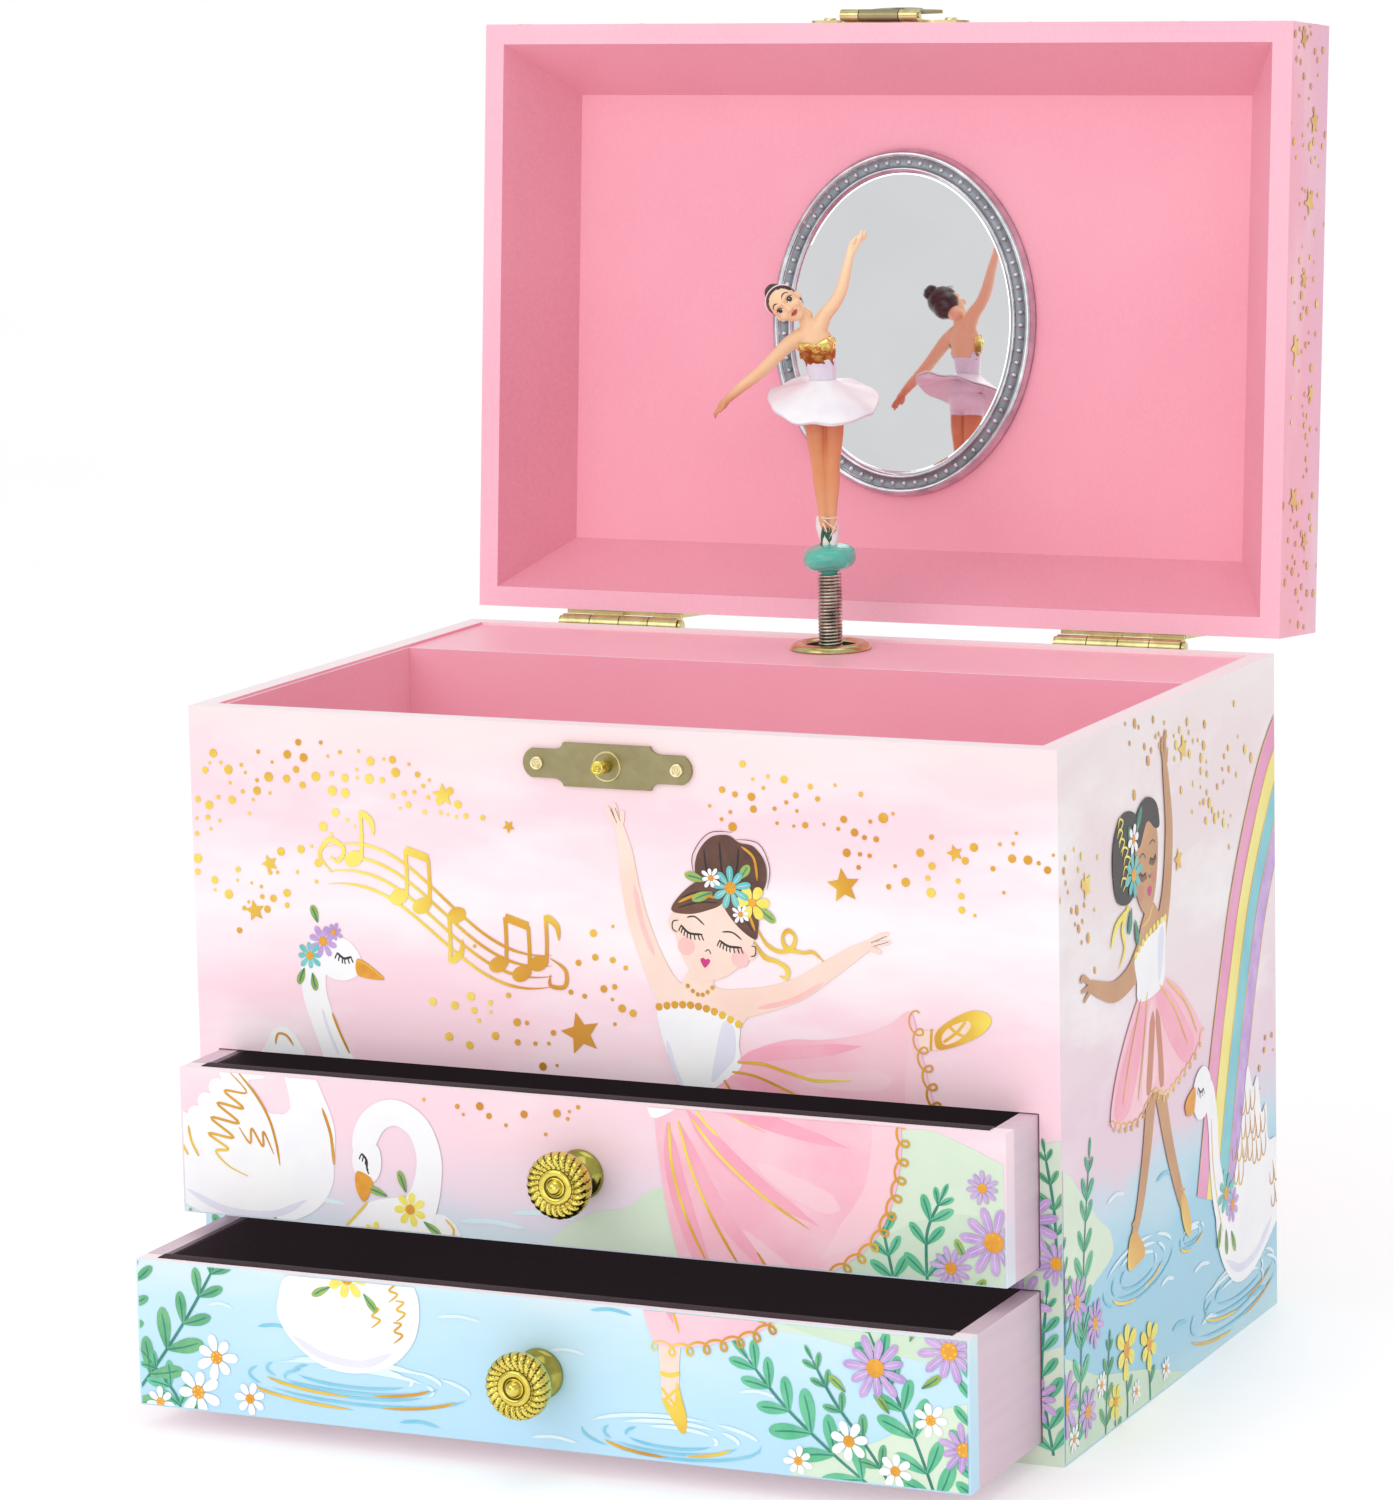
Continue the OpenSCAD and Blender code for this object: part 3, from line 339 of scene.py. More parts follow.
# A darker, rougher chrome for the frame's hollow: satin finish, with painted shade in the recess.
shaded_satin_chrome = metal("shaded_satin_chrome", rgb(150, 154, 160), rgb(128, 132, 139), (0.38, 0.5), 0.05)
movement_metal = metal("movement_metal", rgb(205, 188, 136), rgb(160, 140, 92), (0.28, 0.45), 0.12)


def gold_foil_material():
    """Hot-stamped foil on the print: amber in some places and pale yellow in others."""
    m = Mat("gold_foil", rough=0.3, metal=0.3, coat=0.3, coat_rough=0.2)
    tone = m.ramp(
        m.noise(34, 3, 0.5),
        [(0.34, rgb(206, 140, 28)), (0.46, rgb(222, 164, 44)), (0.56, rgb(240, 206, 74)),
         (0.68, rgb(250, 232, 108))],
    )
    m.color(tone)
    m.rough(m.noise(1800, 4), 0.22, 0.42)
    m.bump(m.noise(2600, 3), 0.1, 0.02)
    return m.m


gold_foil = gold_foil_material()


def mirror_material():
    m = Mat("mirror_silver", metal=1.0)
    haze = m.ramp(m.noise(40, 4, 0.6), [(0.3, rgb(248, 249, 251)), (0.75, rgb(240, 242, 245))])
    m.color(haze)
    m.rough(m.noise(500, 5, 0.7), 0.012, 0.04)
    return m.m


mirror_silver = mirror_material()


# ---------- mesh helpers ----------


def mesh_object(name, verts, faces, body, materials, smooth=True, move=None, indices=None):
    mesh = bpy.data.meshes.new(name)
    points = [Vector(v) for v in verts]
    if move is not None:
        points = [move @ p for p in points]
    mesh.from_pydata([p * MM for p in points], [], faces)
    for m in materials if isinstance(materials, (list, tuple)) else [materials]:
        mesh.materials.append(m)
    if indices:
        mesh.polygons.foreach_set("material_index", indices)
    mesh.polygons.foreach_set("use_smooth", [smooth] * len(mesh.polygons))
    mesh.validate()
    o = bpy.data.objects.new(name, mesh)
    bpy.context.scene.collection.objects.link(o)
    if body:
        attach(o, body)
    return o


def fix_normals(o, merge=0.0):
    bm = bmesh.new()
    bm.from_mesh(o.data)
    if merge:
        bmesh.ops.remove_doubles(bm, verts=bm.verts, dist=merge * MM)
    bmesh.ops.recalc_face_normals(bm, faces=bm.faces)
    bm.to_mesh(o.data)
    bm.free()
    return o


def lathe(profile, steps=64):
    """Verts and faces of a profile of (radius, height) turned about +Z."""
    verts, faces = [], []
    n = len(profile)
    for s in range(steps):
        a = 2 * math.pi * s / steps
        verts += [(r * math.cos(a), r * math.sin(a), z) for r, z in profile]
    for s in range(steps):
        t = (s + 1) % steps
        for i in range(n - 1):
            faces.append((s * n + i, t * n + i, t * n + i + 1, s * n + i + 1))
    return verts, faces


def quads(rows, cols, closed=True):
    """Faces between rows of points. A closed row joins its last point to its first."""
    stride = cols if closed else cols + 1
    faces = []
    for i in range(rows):
        for k in range(cols):
            j = (k + 1) % stride
            faces.append((i * stride + k, i * stride + j, (i + 1) * stride + j, (i + 1) * stride + k))
    return faces


def tube(path, radii, steps=12, flat=1.0, up=(0, 0, 1)):
    """A round or flattened tube along points, with closed ends; radii holds one radius a point."""
    verts = []
    pts = [Vector(p) for p in path]
    side = None
    for i, p in enumerate(pts):
        d = (pts[min(i + 1, len(pts) - 1)] - pts[max(i - 1, 0)]).normalized()
        if side is None:
            side = d.cross(Vector(up))
            if side.length < 1e-3:
                side = d.cross(Vector((1, 0, 0)))
        side = (side - d * side.dot(d)).normalized()
        other = d.cross(side)
        for k in range(steps):
            a = 2 * math.pi * k / steps
            verts.append(p + (side * math.cos(a) + other * math.sin(a) * flat) * radii[i])
    faces = quads(len(pts) - 1, steps)
    for i in (0, len(pts) - 1):
        verts.append(pts[i])
        c = len(verts) - 1
        for k in range(steps):
            ring = (i * steps + k, i * steps + (k + 1) % steps, c)
            faces.append(ring if i else ring[::-1])
    return verts, faces


def join(parts):
    verts, faces = [], []
    for v, f in parts:
        k = len(verts)
        verts += list(v)
        faces += [tuple(i + k for i in q) for q in f]
    return verts, faces


def moved(part, matrix):
    return [matrix @ Vector(v) for v in part[0]], part[1]


def ellipsoid(centre, radii, rings=14, steps=20):
    """A sphere of rings, scaled."""
    angles = [math.pi * i / rings for i in range(rings + 1)]
    ball = lathe([(max(math.sin(a), 1e-4), -math.cos(a)) for a in angles], steps)
    return moved(ball, Matrix.Translation(centre) @ Matrix.Diagonal((*radii, 1)))


def smooth_curve(points, closed=False, steps=6):
    """Catmull-Rom points through the given ones."""
    p = [Vector(q) for q in points]
    n = len(p)
    out = []
    for i in range(n if closed else n - 1):
        if closed:
            a, b, c, d = p[i - 1], p[i], p[(i + 1) % n], p[(i + 2) % n]
        else:
            a, b, c, d = p[max(i - 1, 0)], p[i], p[i + 1], p[min(i + 2, n - 1)]
        for s in range(steps):
            t = s / steps
            out.append(
                0.5 * ((2 * b) + (c - a) * t + (2 * a - 5 * b + 4 * c - d) * t * t
                       + (3 * b - a - 3 * c + d) * t**3)
            )
    if not closed:
        out.append(p[-1])
    return out


def bevel(o, width, segments=2, angle=35):
    m = o.modifiers.new("edge", "BEVEL")
    m.width = width * MM
    m.segments = segments
    m.limit_method = "ANGLE"
    m.angle_limit = math.radians(angle)
    m.harden_normals = False
    return o


def thicken(o, depth):
    """Gives a sheet its thickness, on the side away from its faces."""
    m = o.modifiers.new("thick", "SOLIDIFY")
    m.thickness = depth * MM
    m.offset = -1


def paint(node, *materials):
    """Materials for a CAD node, whose mesh stays as it is."""
    o = nodes[node]
    o.data.materials.clear()
    for m in materials:
        o.data.materials.append(m)
    return o


def paint_faces(node, choose):
    """Sets each face's material slot from its centre and normal, in millimetres."""
    for f in nodes[node].data.polygons:
        f.material_index = choose(f.center / MM, f.normal)


# ---------- boards ----------


def side_slot(c, d):
    """Side boards: front print on the ends, rim paper on top, pink inside, side print outside."""
    if abs(d.y) > 0.9:
        return 1
    if d.z > 0.9:
        return 3
    return 2 if abs(c.x) < HALF_W - 1 else 0


def boards():
    for n in ("left_side", "right_side"):
        bevel(paint(n, side_print, front_print, pink_paper, rim_paper), 0.5, 3)
        paint_faces(n, side_slot)
    for n in ("front_panel", "base_panel", "drawer_divider", "back_panel"):
        # inside faces: the lighter pink paper (painted light) on the front panel, the dark plum (painted
        # shade) on the others
        lining = lit_tray_paper if n == "front_panel" else plum_shade_lining
        edge = 0 if n == "back_panel" else 1
        bevel(paint(n, front_print, lining, rim_paper), 0.4, 3)
        paint_faces(n, lambda c, d: 2 if d.z > 0.9 else (edge if abs(d.y) < 0.9 else 0))
    for n in ("upper_drawer_front", "lower_drawer_front"):
        bevel(paint(n, front_print, mauve_paper, rim_paper), 0.5, 3)
        paint_faces(n, lambda c, d: 2 if d.z > 0.9 else (0 if d.y < -0.5 or abs(d.x) > 0.9 else 1))
    for n in ("upper_drawer_box", "lower_drawer_box"):
        bevel(paint(n, mauve_paper), 0.4, 3)
    for n in ("upper_drawer_lining", "lower_drawer_lining"):
        # the drawer linings: dark plum, painted shade
        paint(n, plum_shade_lining)
    for n in ("tray_floor", "movement_partition", "movement_deck", "tray_lining"):
        # the tray takes the lighter pink paper: painted light
        bevel(paint(n, lit_tray_paper, rim_paper), 0.15, 2)
    paint_faces("tray_lining", lambda c, d: 1 if d.z > 0.9 else 0)
    bevel(paint("lid_top", lid_print), 0.5, 3)
    for n in ("lid_front_wall", "lid_rear_wall", "lid_left_wall", "lid_right_wall"):
        # the rim faces take the lighter pink paper: painted light
        bevel(paint(n, lid_print, lit_pink_rim), 0.4, 3)
        paint_faces(n, lambda c, d: 1 if d.y < -0.9 else 0)
    # the liner's ceiling takes the pink paper, its other faces the darker pink: painted shade
    bevel(paint("lid_liner", pink_paper, shaded_liner_paper), 0.1, 1)
    paint_faces("lid_liner", lambda c, d: 0 if d.y < -0.9 else 1)


def plain_nodes():
    for n in ("hinge_case_leaves", "hinge_lid_leaves", "hinge_pins", "hasp_plate", "hasp_pin"):
        bevel(paint(n, brass_pale), 0.12, 2)
    for n in ("lock_plate", "hasp_tab"):
        bevel(paint(n, brass), 0.22, 3)
    for n in ("lock_nails", "hasp_nails", "lock_stud", "hinge_case_screws", "hinge_lid_screws",
              "comb_screws"):
        bevel(paint(n, gold_bright), 0.1, 2)
    for n in ("bedplate", "front_plate", "spring_barrel", "barrel_cover"):
        bevel(paint(n, movement_metal), 0.08, 1)
    for n in ("pinned_cylinder", "governor_idler", "governor_fly"):
        paint(n, gold_bright)
    for n in ("upper_knob_screw", "lower_knob_screw", "movement_screws", "comb", "mainspring",
              "winding_arbor",
              "clutch_spring", "stop_wire"):
        bevel(paint(n, steel), 0.06, 1)
    bevel(paint("winding_key", gold_bright), 0.3, 3)


# ---------- brass and glass ----------


def knob(name, front_y, z, body, node):
    """A turned knob: a flanged foot, a waist, and a face with a ring of curved petals round a boss; the
    grooves between petals, two rings, the foot and the waist carry painted shade.
    """
    petals, twist = 24, 0.32
    profile = [
        (1.3, 0.0), (4.4, 0.0), (4.6, 0.25), (4.55, 0.8), (4.0, 1.3), (3.3, 1.9), (2.95, 2.8), (2.9, 4.0),
        (3.3, 5.0),
        (4.4, 6.0), (5.2, 6.7), (5.8, 7.4), (6.05, 8.2), (6.05, 9.0), (5.9, 9.8), (5.5, 10.5), (5.0, 10.9),
        (4.5, 11.0),
        (4.0, 10.8), (3.6, 10.45), (3.35, 10.3), (3.2, 10.5), (2.9, 10.75), (2.5, 10.8), (2.1, 10.6),
        (1.75, 10.4),
        (1.5, 10.6), (1.35, 11.1), (1.0, 11.7), (0.5, 11.95), (0.01, 12.0),
    ]
    first, last = 12, 20
    steps = petals * 12
    verts, faces, paint_index = [], [], []
    n = len(profile)
    for s in range(steps):
        a = 2 * math.pi * s / steps
        for i, (r, h) in enumerate(profile):
            if first <= i <= last:
                t = (i - first) / (last - first)
                wave = abs(math.sin(petals / 2 * (a + twist * t)))
                depth = math.sin(math.pi * (0.08 + 0.86 * t))
                r -= 0.3 * depth * (1 - wave) * (1 - t)
                h -= 0.8 * depth * (1 - wave**0.7) * t**0.4
            verts.append((r * math.cos(a), r * math.sin(a), h))
    for s in range(steps):
        t = (s + 1) % steps
        for i in range(n - 1):
            faces.append((s * n + i, t * n + i, t * n + i + 1, s * n + i + 1))
            turned = 2 * math.pi * (s + 0.5) / steps + twist * (i + 0.5 - first) / (last - first)
            # painted shade: grooves between petals and two rings take the shadow gold, the foot and waist
            # the darker olive gold
            valley = first <= i < last and abs(math.sin(petals / 2 * turned)) < 0.34
            if i < first - 2:
                paint_index.append(1)
            else:
                paint_index.append(2 if valley or i in (last, last + 4) else 0)
    turn = Matrix.Translation((0, front_y, z)) @ Matrix.Rotation(math.radians(90), 4, "X")
    verts, faces = moved((verts, faces), turn)
    o = mesh_object(name, verts, faces, body, [gold_bright, shaded_olive_gold, shadow_gold], indices=paint_index)
    fix_normals(o)
    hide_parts(node)


def ring_nails():
    """Hollow-headed nails: a rolled rim round a small dome."""
    head = [(0.45, -0.3), (1.15, -0.3), (1.3, 0.05), (1.28, 0.35), (1.1, 0.55), (0.88, 0.56), (0.72, 0.42),
            (0.66, 0.25), (0.5, 0.2),
            (0.42, 0.3), (0.28, 0.44), (0.01, 0.5)]
    shank = ellipsoid((0, 0, -1.2), (0.45, 0.45, 1.8), rings=8, steps=12)
    facing = Matrix.Rotation(math.radians(90), 4, "X")
    for name, body, node, x, out, z, place in (
        ("lock_ring_nails", "case", "lock_nails", 13.7, 0.8, LOCK_Z, Matrix.Identity(4)),
        ("hasp_ring_nails", "lid", "hasp_nails", 12.8, 0.7, HASP_NAIL_Z, LID),
    ):
        parts = []
        for side in (-1, 1):
            at = Matrix.Translation((side * x, FRONT_Y - out, z)) @ facing
            parts += [moved(p, at) for p in (lathe(head, 40), shank)]
        o = mesh_object(name, *join(parts), body, nail_gold, move=place)
        fix_normals(o, 0.01)
        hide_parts(node)


def stud():
    """The stud that the hasp drops over: a ribbed post with a ringed end, in a rolled brass boss."""
    post = [(0.01, -1.0), (1.0, -1.0), (1.0, 1.0), (1.15, 1.3), (1.2, 1.55), (0.95, 1.85), (1.2, 2.15),
            (1.2, 2.5), (0.95, 2.8), (1.15, 3.1),
            (1.15, 3.5), (0.9, 3.8), (0.85, 4.2), (1.2, 4.45), (1.3, 4.75), (1.15, 5.0), (0.8, 5.0),
            (0.6, 4.75), (0.4, 4.7), (0.01, 4.8)]
    facing = Matrix.Translation((0, FRONT_Y, LOCK_Z)) @ Matrix.Rotation(math.radians(90), 4, "X")
    droop = Matrix.Rotation(math.radians(-5), 4, "X")
    o = mesh_object("lock_post", *moved(lathe(post, 48), facing @ droop), "case", gold_bright)
    fix_normals(o, 0.01)
    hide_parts("lock_stud")
    rim = [(1.25, 0.7), (2.3, 0.85), (2.45, 1.0), (2.65, 1.04), (2.85, 0.95), (2.88, 0.8), (2.88, 0.6)]
    o = mesh_object("lock_boss_rim", *moved(lathe(rim, 64), facing), "case", brass_pale)
    fix_normals(o, 0.01)


def drawer_lips():
    """The lining paper folds over the inner half of each drawer front; its dark plum is painted shade."""
    half, n = 77.1, 60
    for name, y, z in DRAWERS:
        verts = []
        for i in range(n + 1):
            x = -half + 2 * half * i / n
            edge = 1.7 + 0.06 * math.sin(0.9 * i)
            section = (4.7, -0.5), (4.7, 0.12), (4.4, 0.14), (edge + 0.1, 0.12), (edge, 0.02), (edge, -0.1)
            verts += [(x, y + dy, z + DRAWER_FRONT_H + h) for dy, h in section]
        o = mesh_object(name + "_drawer_lip", verts, quads(n, 5, closed=False), name + "_drawer",
                        plum_shade_lining)
        fix_normals(o)


def grommet():
    """A rolled ring round the spring's hole, its inside faces near-black as painted shade."""
    profile = [(4.6, -3.0), (5.2, -3.0), (5.2, 0.0), (7.7, 0.0), (7.9, 0.15), (7.9, 0.35)]
    profile += [(6.3 + 1.55 * math.cos(math.radians(a)),
                 0.3 + 1.15 * math.sin(math.radians(a))) for a in range(10, 171, 16)]
    profile += [(4.6, 0.3), (4.5, 0.1), (4.5, -2.9), (4.6, -3.0)]
    o = mesh_object("grommet_ring", *moved(lathe(profile, 96), Matrix.Translation((0, DANCER_Y, DECK_TOP))),
                    "case",
                    [brass_pale, bore_painted_shade])
    for f in o.data.polygons:
        x, y, z = f.center
        # faces in the hole take the near-black painted shade
        bore = math.hypot(x, y - DANCER_Y * MM) < 4.85 * MM
        f.material_index = 1 if bore else 0
    fix_normals(o, 0.01)
    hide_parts("grommet")


def coil():
    """Close-wound wire from under the deck to the button."""
    wire, r, low, high = 0.31, 2.08, -6.0, 14.6
    pitch, per = 0.66, 26
    turns = int((high - low) / pitch)
    path = [
        (r * math.cos(2 * math.pi * i / per), r * math.sin(2 * math.pi * i / per),
         low + (high - low) * i / (turns * per))
        for i in range(turns * per + 1)
    ]
    part = tube(path, [wire] * len(path), 7)
    o = mesh_object("coil_wire", *moved(part, DANCER), None, steel)
    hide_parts("coil_spring")
    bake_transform(o)


def oval_path(a, b, n):
    """Points evenly spaced round an oval, with the outward direction of each."""
    fine = [(a * math.cos(2 * math.pi * i / 2000),
             b * math.sin(2 * math.pi * i / 2000)) for i in range(2001)]
    run = [0.0]
    for p, q in zip(fine, fine[1:]):
        run.append(run[-1] + math.dist(p, q))
    out, j = [], 0
    for i in range(n):
        want = run[-1] * i / n
        while run[j + 1] < want:
            j += 1
        x, y = fine[j]
        d = Vector((x / a**2, y / b**2)).normalized()
        out.append((x, y, d))
    return out


def mirror():
    """Oval glass in a chrome frame: a raised rim, a thin inner one and beads in the hollow between."""
    a, b, t = 28, 34.5, 3.0
    # (distance in from the outer edge, height off the lid's ceiling)
    section = [
        (0.0, 0.0), (0.05, 0.9), (0.3, 1.8), (0.7, 2.4), (1.1, 2.6), (1.5, 2.4), (1.7, 1.9), (1.8, 1.75),
        (3.6, 1.75),
        (3.7, 1.9), (3.8, 2.25), (4.05, 2.45), (4.3, 2.25), (4.45, 1.9), (4.8, 1.65), (4.8, 1.5),
        (4.6, 0.0),
    ]
    ring = oval_path(a, b, 160)
    verts, faces = [], []
    n = len(section)
    for x, y, d in ring:
        for s, h in section:
            verts.append((x - d.x * s, y - d.y * s, CEILING_Z - h))
    for i in range(len(ring)):
        j = (i + 1) % len(ring)
        for k in range(n - 1):
            faces.append((i * n + k, i * n + k + 1, j * n + k + 1, j * n + k))
        faces.append((i * n + n - 1, i * n, j * n, j * n + n - 1))
    beads = [
        ellipsoid((x - d.x * 2.7, y - d.y * 2.7, CEILING_Z - 1.75), (0.55, 0.55, 0.55), rings=8, steps=12)
        for x, y, d in oval_path(a, b, 74)
    ]
    # the hollow between the rims takes the darker satin chrome: painted shade in the recess
    hollow = (7, 8)
    o = mesh_object("mirror_frame_oval", *join([(verts, faces)] + beads), "lid", [chrome, shaded_satin_chrome],
                    move=LID)
    for i in range(len(faces)):
        o.data.polygons[i].material_index = 1 if i % n in hollow else 0
    fix_normals(o)
    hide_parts("mirror_frame")
    verts = [(0, 0, CEILING_Z - 1.6)]
    rim = oval_path(a - 3.6, b - 3.6, 128)
    for s, h in ((1.5, 1.6), (0.4, 1.45), (0.4, 0.1)):
        verts += [(x - d.x * s, y - d.y * s, CEILING_Z - h) for x, y, d in rim]
    m = len(rim)
    faces = [(0, 1 + (i + 1) % m, 1 + i) for i in range(m)]
    for k in range(2):
        for i in range(m):
            j = (i + 1) % m
            faces.append((1 + k * m + i, 1 + k * m + j, 1 + (k + 1) * m + j, 1 + (k + 1) * m + i))
    faces.append(tuple(1 + 2 * m + i for i in range(m)))
    o = mesh_object("mirror_plate", verts, faces, "lid", mirror_silver, smooth=False, move=LID)
    fix_normals(o)
    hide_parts("mirror_glass")


# ---------- printed pictures ----------

INKS = {
    "gold": gold_foil,
    "white": ink("white_ink", rgb(255, 254, 254), rgb(248, 247, 252), 90),
    "shadow": ink("lilac_shadow", rgb(236, 234, 248), rgb(226, 226, 244), 90),
    "skirt": ink("skirt_pink", rgb(253, 184, 202), rgb(254, 206, 217), 60),
    "skirt_deep": ink("skirt_deep", rgb(251, 164, 188), rgb(253, 184, 201), 70),
    "skirt_light": ink("skirt_light", rgb(255, 204, 215), rgb(255, 212, 221), 60),
    "skin": ink("fair_skin", rgb(254, 227, 213), rgb(252, 216, 200), 70),
    "blush": ink("fair_blush", rgb(252, 192, 188), rgb(252, 204, 200), 120),
    "tan": ink("tan_skin", rgb(210, 160, 116), rgb(196, 144, 102), 80),
    "tan_blush": ink("tan_blush", rgb(208, 132, 112), rgb(204, 140, 108), 120),
    "hair": ink("brown_hair", rgb(112, 72, 54), rgb(78, 48, 40), 150),
    "hair_dark": ink("dark_hair", rgb(48, 36, 36), rgb(24, 19, 22), 150),
    "line": ink("pen_line", rgb(52, 42, 46), rgb(34, 28, 32), 200),
    "lips": ink("lip_pink", rgb(216, 50, 140), rgb(196, 36, 118), 300),
    "teal": ink("teal_ink", rgb(126, 208, 204), rgb(88, 186, 188), 220),
    "yellow": ink("yellow_ink", rgb(252, 240, 122), rgb(244, 224, 82), 220),
    "lilac": ink("lilac_ink", rgb(212, 178, 228), rgb(188, 150, 214), 200),
    "orange": ink("orange_ink", rgb(240, 172, 48), rgb(226, 148, 34), 300),
    "leaf": ink("leaf_green", rgb(122, 192, 132), rgb(88, 170, 124), 160),
    "leaf_dark": ink("leaf_dark", rgb(62, 152, 132), rgb(42, 126, 108), 160),
    "fern": ink("fern_green", rgb(112, 204, 158), rgb(82, 184, 138), 160),
    "olive": ink("leaf_olive", rgb(168, 194, 96), rgb(136, 170, 74), 160),
    "bush": ink("bush_green", rgb(225, 239, 217), rgb(214, 232, 210), 40),
    "bush_deep": ink("bush_deep", rgb(214, 233, 208), rgb(204, 226, 204), 40),
    "band_pink": ink("band_pink", rgb(240, 168, 204), rgb(232, 146, 188), 60),
    "band_yellow": ink("band_yellow", rgb(250, 240, 150), rgb(244, 228, 120), 60),
    "band_teal": ink("band_teal", rgb(142, 212, 220), rgb(118, 198, 210), 60),
    "water": ink("water_line", rgb(120, 200, 228), rgb(146, 212, 232), 120),
    "foam": ink("water_foam", rgb(232, 247, 253), rgb(218, 241, 251), 80),
}
INK_NAMES = list(INKS)


def turn_left(d):
    return Vector((-d.y, d.x))


def clip(poly, window):
    """The part of a convex outline inside a window (u0, v0, u1, v1)."""
    for axis, limit, side in ((0, window[0], 1), (0, window[2], -1), (1, window[1], 1), (1, window[3], -1)):
        out = []
        for i, p in enumerate(poly):
            q = poly[i - 1]
            p_in, q_in = ((w[axis] - limit) * side >= 0 for w in (p, q))
            if p_in != q_in:
                t = (limit - q[axis]) / (p[axis] - q[axis])
                out.append((q[0] + (p[0] - q[0]) * t, q[1] + (p[1] - q[1]) * t))
            if p_in:
                out.append(p)
        poly = out
        if len(poly) < 3:
            return []
    return poly


class Picture:
    """Flat shapes in millimetres. A higher layer lies on top of a lower one."""

    def __init__(self):
        self.polys = []
        self.shape = 0

    def add(self, poly, colour, layer, lift=0):
        area = sum(a[0] * b[1] - b[0] * a[1] for a, b in zip(poly, list(poly[1:]) + [poly[0]]))
        if abs(area) > 1e-5:
            height = 0.03 + 0.016 * layer + 0.0145 * (self.shape * 0.6180339 % 1) + lift
            self.polys.append((height, INK_NAMES.index(colour),
                               list(poly) if area > 0 else list(poly)[::-1]))

    def fill(self, points, colour, layer, smooth=True, steps=5):
        pts = smooth_curve([(*p, 0) for p in points], True,
                           steps) if smooth else [Vector((*p, 0)) for p in points]
        self.shape += 1
        for tri in geometry.tessellate_polygon([pts]):
            self.add([(pts[i].x, pts[i].y) for i in tri], colour, layer)

    def line(self, points, width, colour, layer, ends=(0.35, 0.35), smooth=True, steps=6):
        """A brush stroke: width is one value or one for each point, drawn thinner at both ends."""
        widths = list(width) if hasattr(width, "__len__") else [width] * len(points)
        raw = [(p[0], p[1], w) for p, w in zip(points, widths)]
        pts = smooth_curve(raw, False, steps) if smooth and len(points) > 2 else [Vector(p) for p in raw]
        n = len(pts) - 1
        rail = []
        for i, p in enumerate(pts):
            d = (pts[min(i + 1, n)] - pts[max(i - 1, 0)]).to_2d()
            side = turn_left(d.normalized()) if d.length > 1e-9 else Vector((0, 1))
            t = i / n
            k = min(1, ends[0] + (1 - ends[0]) * t / 0.18, ends[1] + (1 - ends[1]) * (1 - t) / 0.18)
            rail.append((p.to_2d() + side * p.z * k / 2, p.to_2d() - side * p.z * k / 2))
        self.shape += 1
        for i, ((a, b), (c, d)) in enumerate(zip(rail, rail[1:])):
            lift = 0.0005 * (i % 16)
            self.add([tuple(a), tuple(b), tuple(d)], colour, layer, lift)
            self.add([tuple(a), tuple(d), tuple(c)], colour, layer, lift)

    def dot(self, at, r, colour, layer, tall=1.0, turn=0.0, n=12):
        c, s = math.cos(turn), math.sin(turn)
        pts = []
        for i in range(n):
            x, y = r * math.cos(2 * math.pi * i / n), r * tall * math.sin(2 * math.pi * i / n)
            pts.append((at[0] + x * c - y * s, at[1] + x * s + y * c))
        self.shape += 1
        self.add(pts, colour, layer)

    def star(self, at, r, layer, turn=0.0, colour="gold"):
        pts = []
        for i in range(10):
            a = math.pi / 2 + turn + math.pi * i / 5
            k = r if i % 2 == 0 else r * 0.46
            pts.append((at[0] + k * math.cos(a), at[1] + k * math.sin(a)))
        self.fill(pts, colour, layer, smooth=False)

    def leaf(self, at, turn, length, width, colour, layer, vein=None):
        d = Vector((math.cos(turn), math.sin(turn)))
        n = turn_left(d)
        shape = [(0, 0), (0.26, 0.32), (0.58, 0.5), (0.88, 0.36), (1, 0), (0.88, -0.36), (0.58, -0.5),
                 (0.26, -0.32)]
        a = Vector(at)
        self.fill([tuple(a + d * length * s + n * width * w) for s, w in shape], colour, layer, steps=3)
        if vein:
            tip = a + d * length * 0.86 + n * width * 0.05
            self.line([tuple(a), tuple(a + d * length * 0.45 - n * width * 0.04), tuple(tip)], 0.3, vein,
                      layer + 1)

    def petals(self, at, r, count, colour, layer, width=0.42, turn=0.0, core=0.2, vein=None):
        for i in range(count):
            a = turn + 2 * math.pi * i / count
            long = r * (1 - 0.1 * math.sin(3.1 * i + r))
            d = Vector((math.cos(a), math.sin(a)))
            n = turn_left(d)
            c = Vector(at)
            shape = [(core, 0.12), (0.55, 0.42), (0.86, 0.4), (1, 0), (0.86, -0.4), (0.55, -0.42),
                     (core, -0.12)]
            self.fill([tuple(c + d * long * s + n * r * width * w) for s, w in shape], colour,
                      layer + i % 2, steps=3)
            if vein:
                self.line([tuple(c + d * long * 0.35), tuple(c + d * long * 0.85)], r * 0.05, vein,
                          layer + 2)

    def daisy(self, at, r, colour, layer, count=9, heart="orange", turn=0.2, vein=None):
        self.petals(at, r, count, colour, layer, turn=turn, width=3.4 / count, vein=vein)
        self.dot(at, r * 0.3, heart, layer + 3)
        for i in range(6):
            a = i * 1.05 + turn
            self.dot((at[0] + r * 0.2 * math.cos(a), at[1] + r * 0.2 * math.sin(a)), r * 0.045, "gold",
                     layer + 4, n=6)

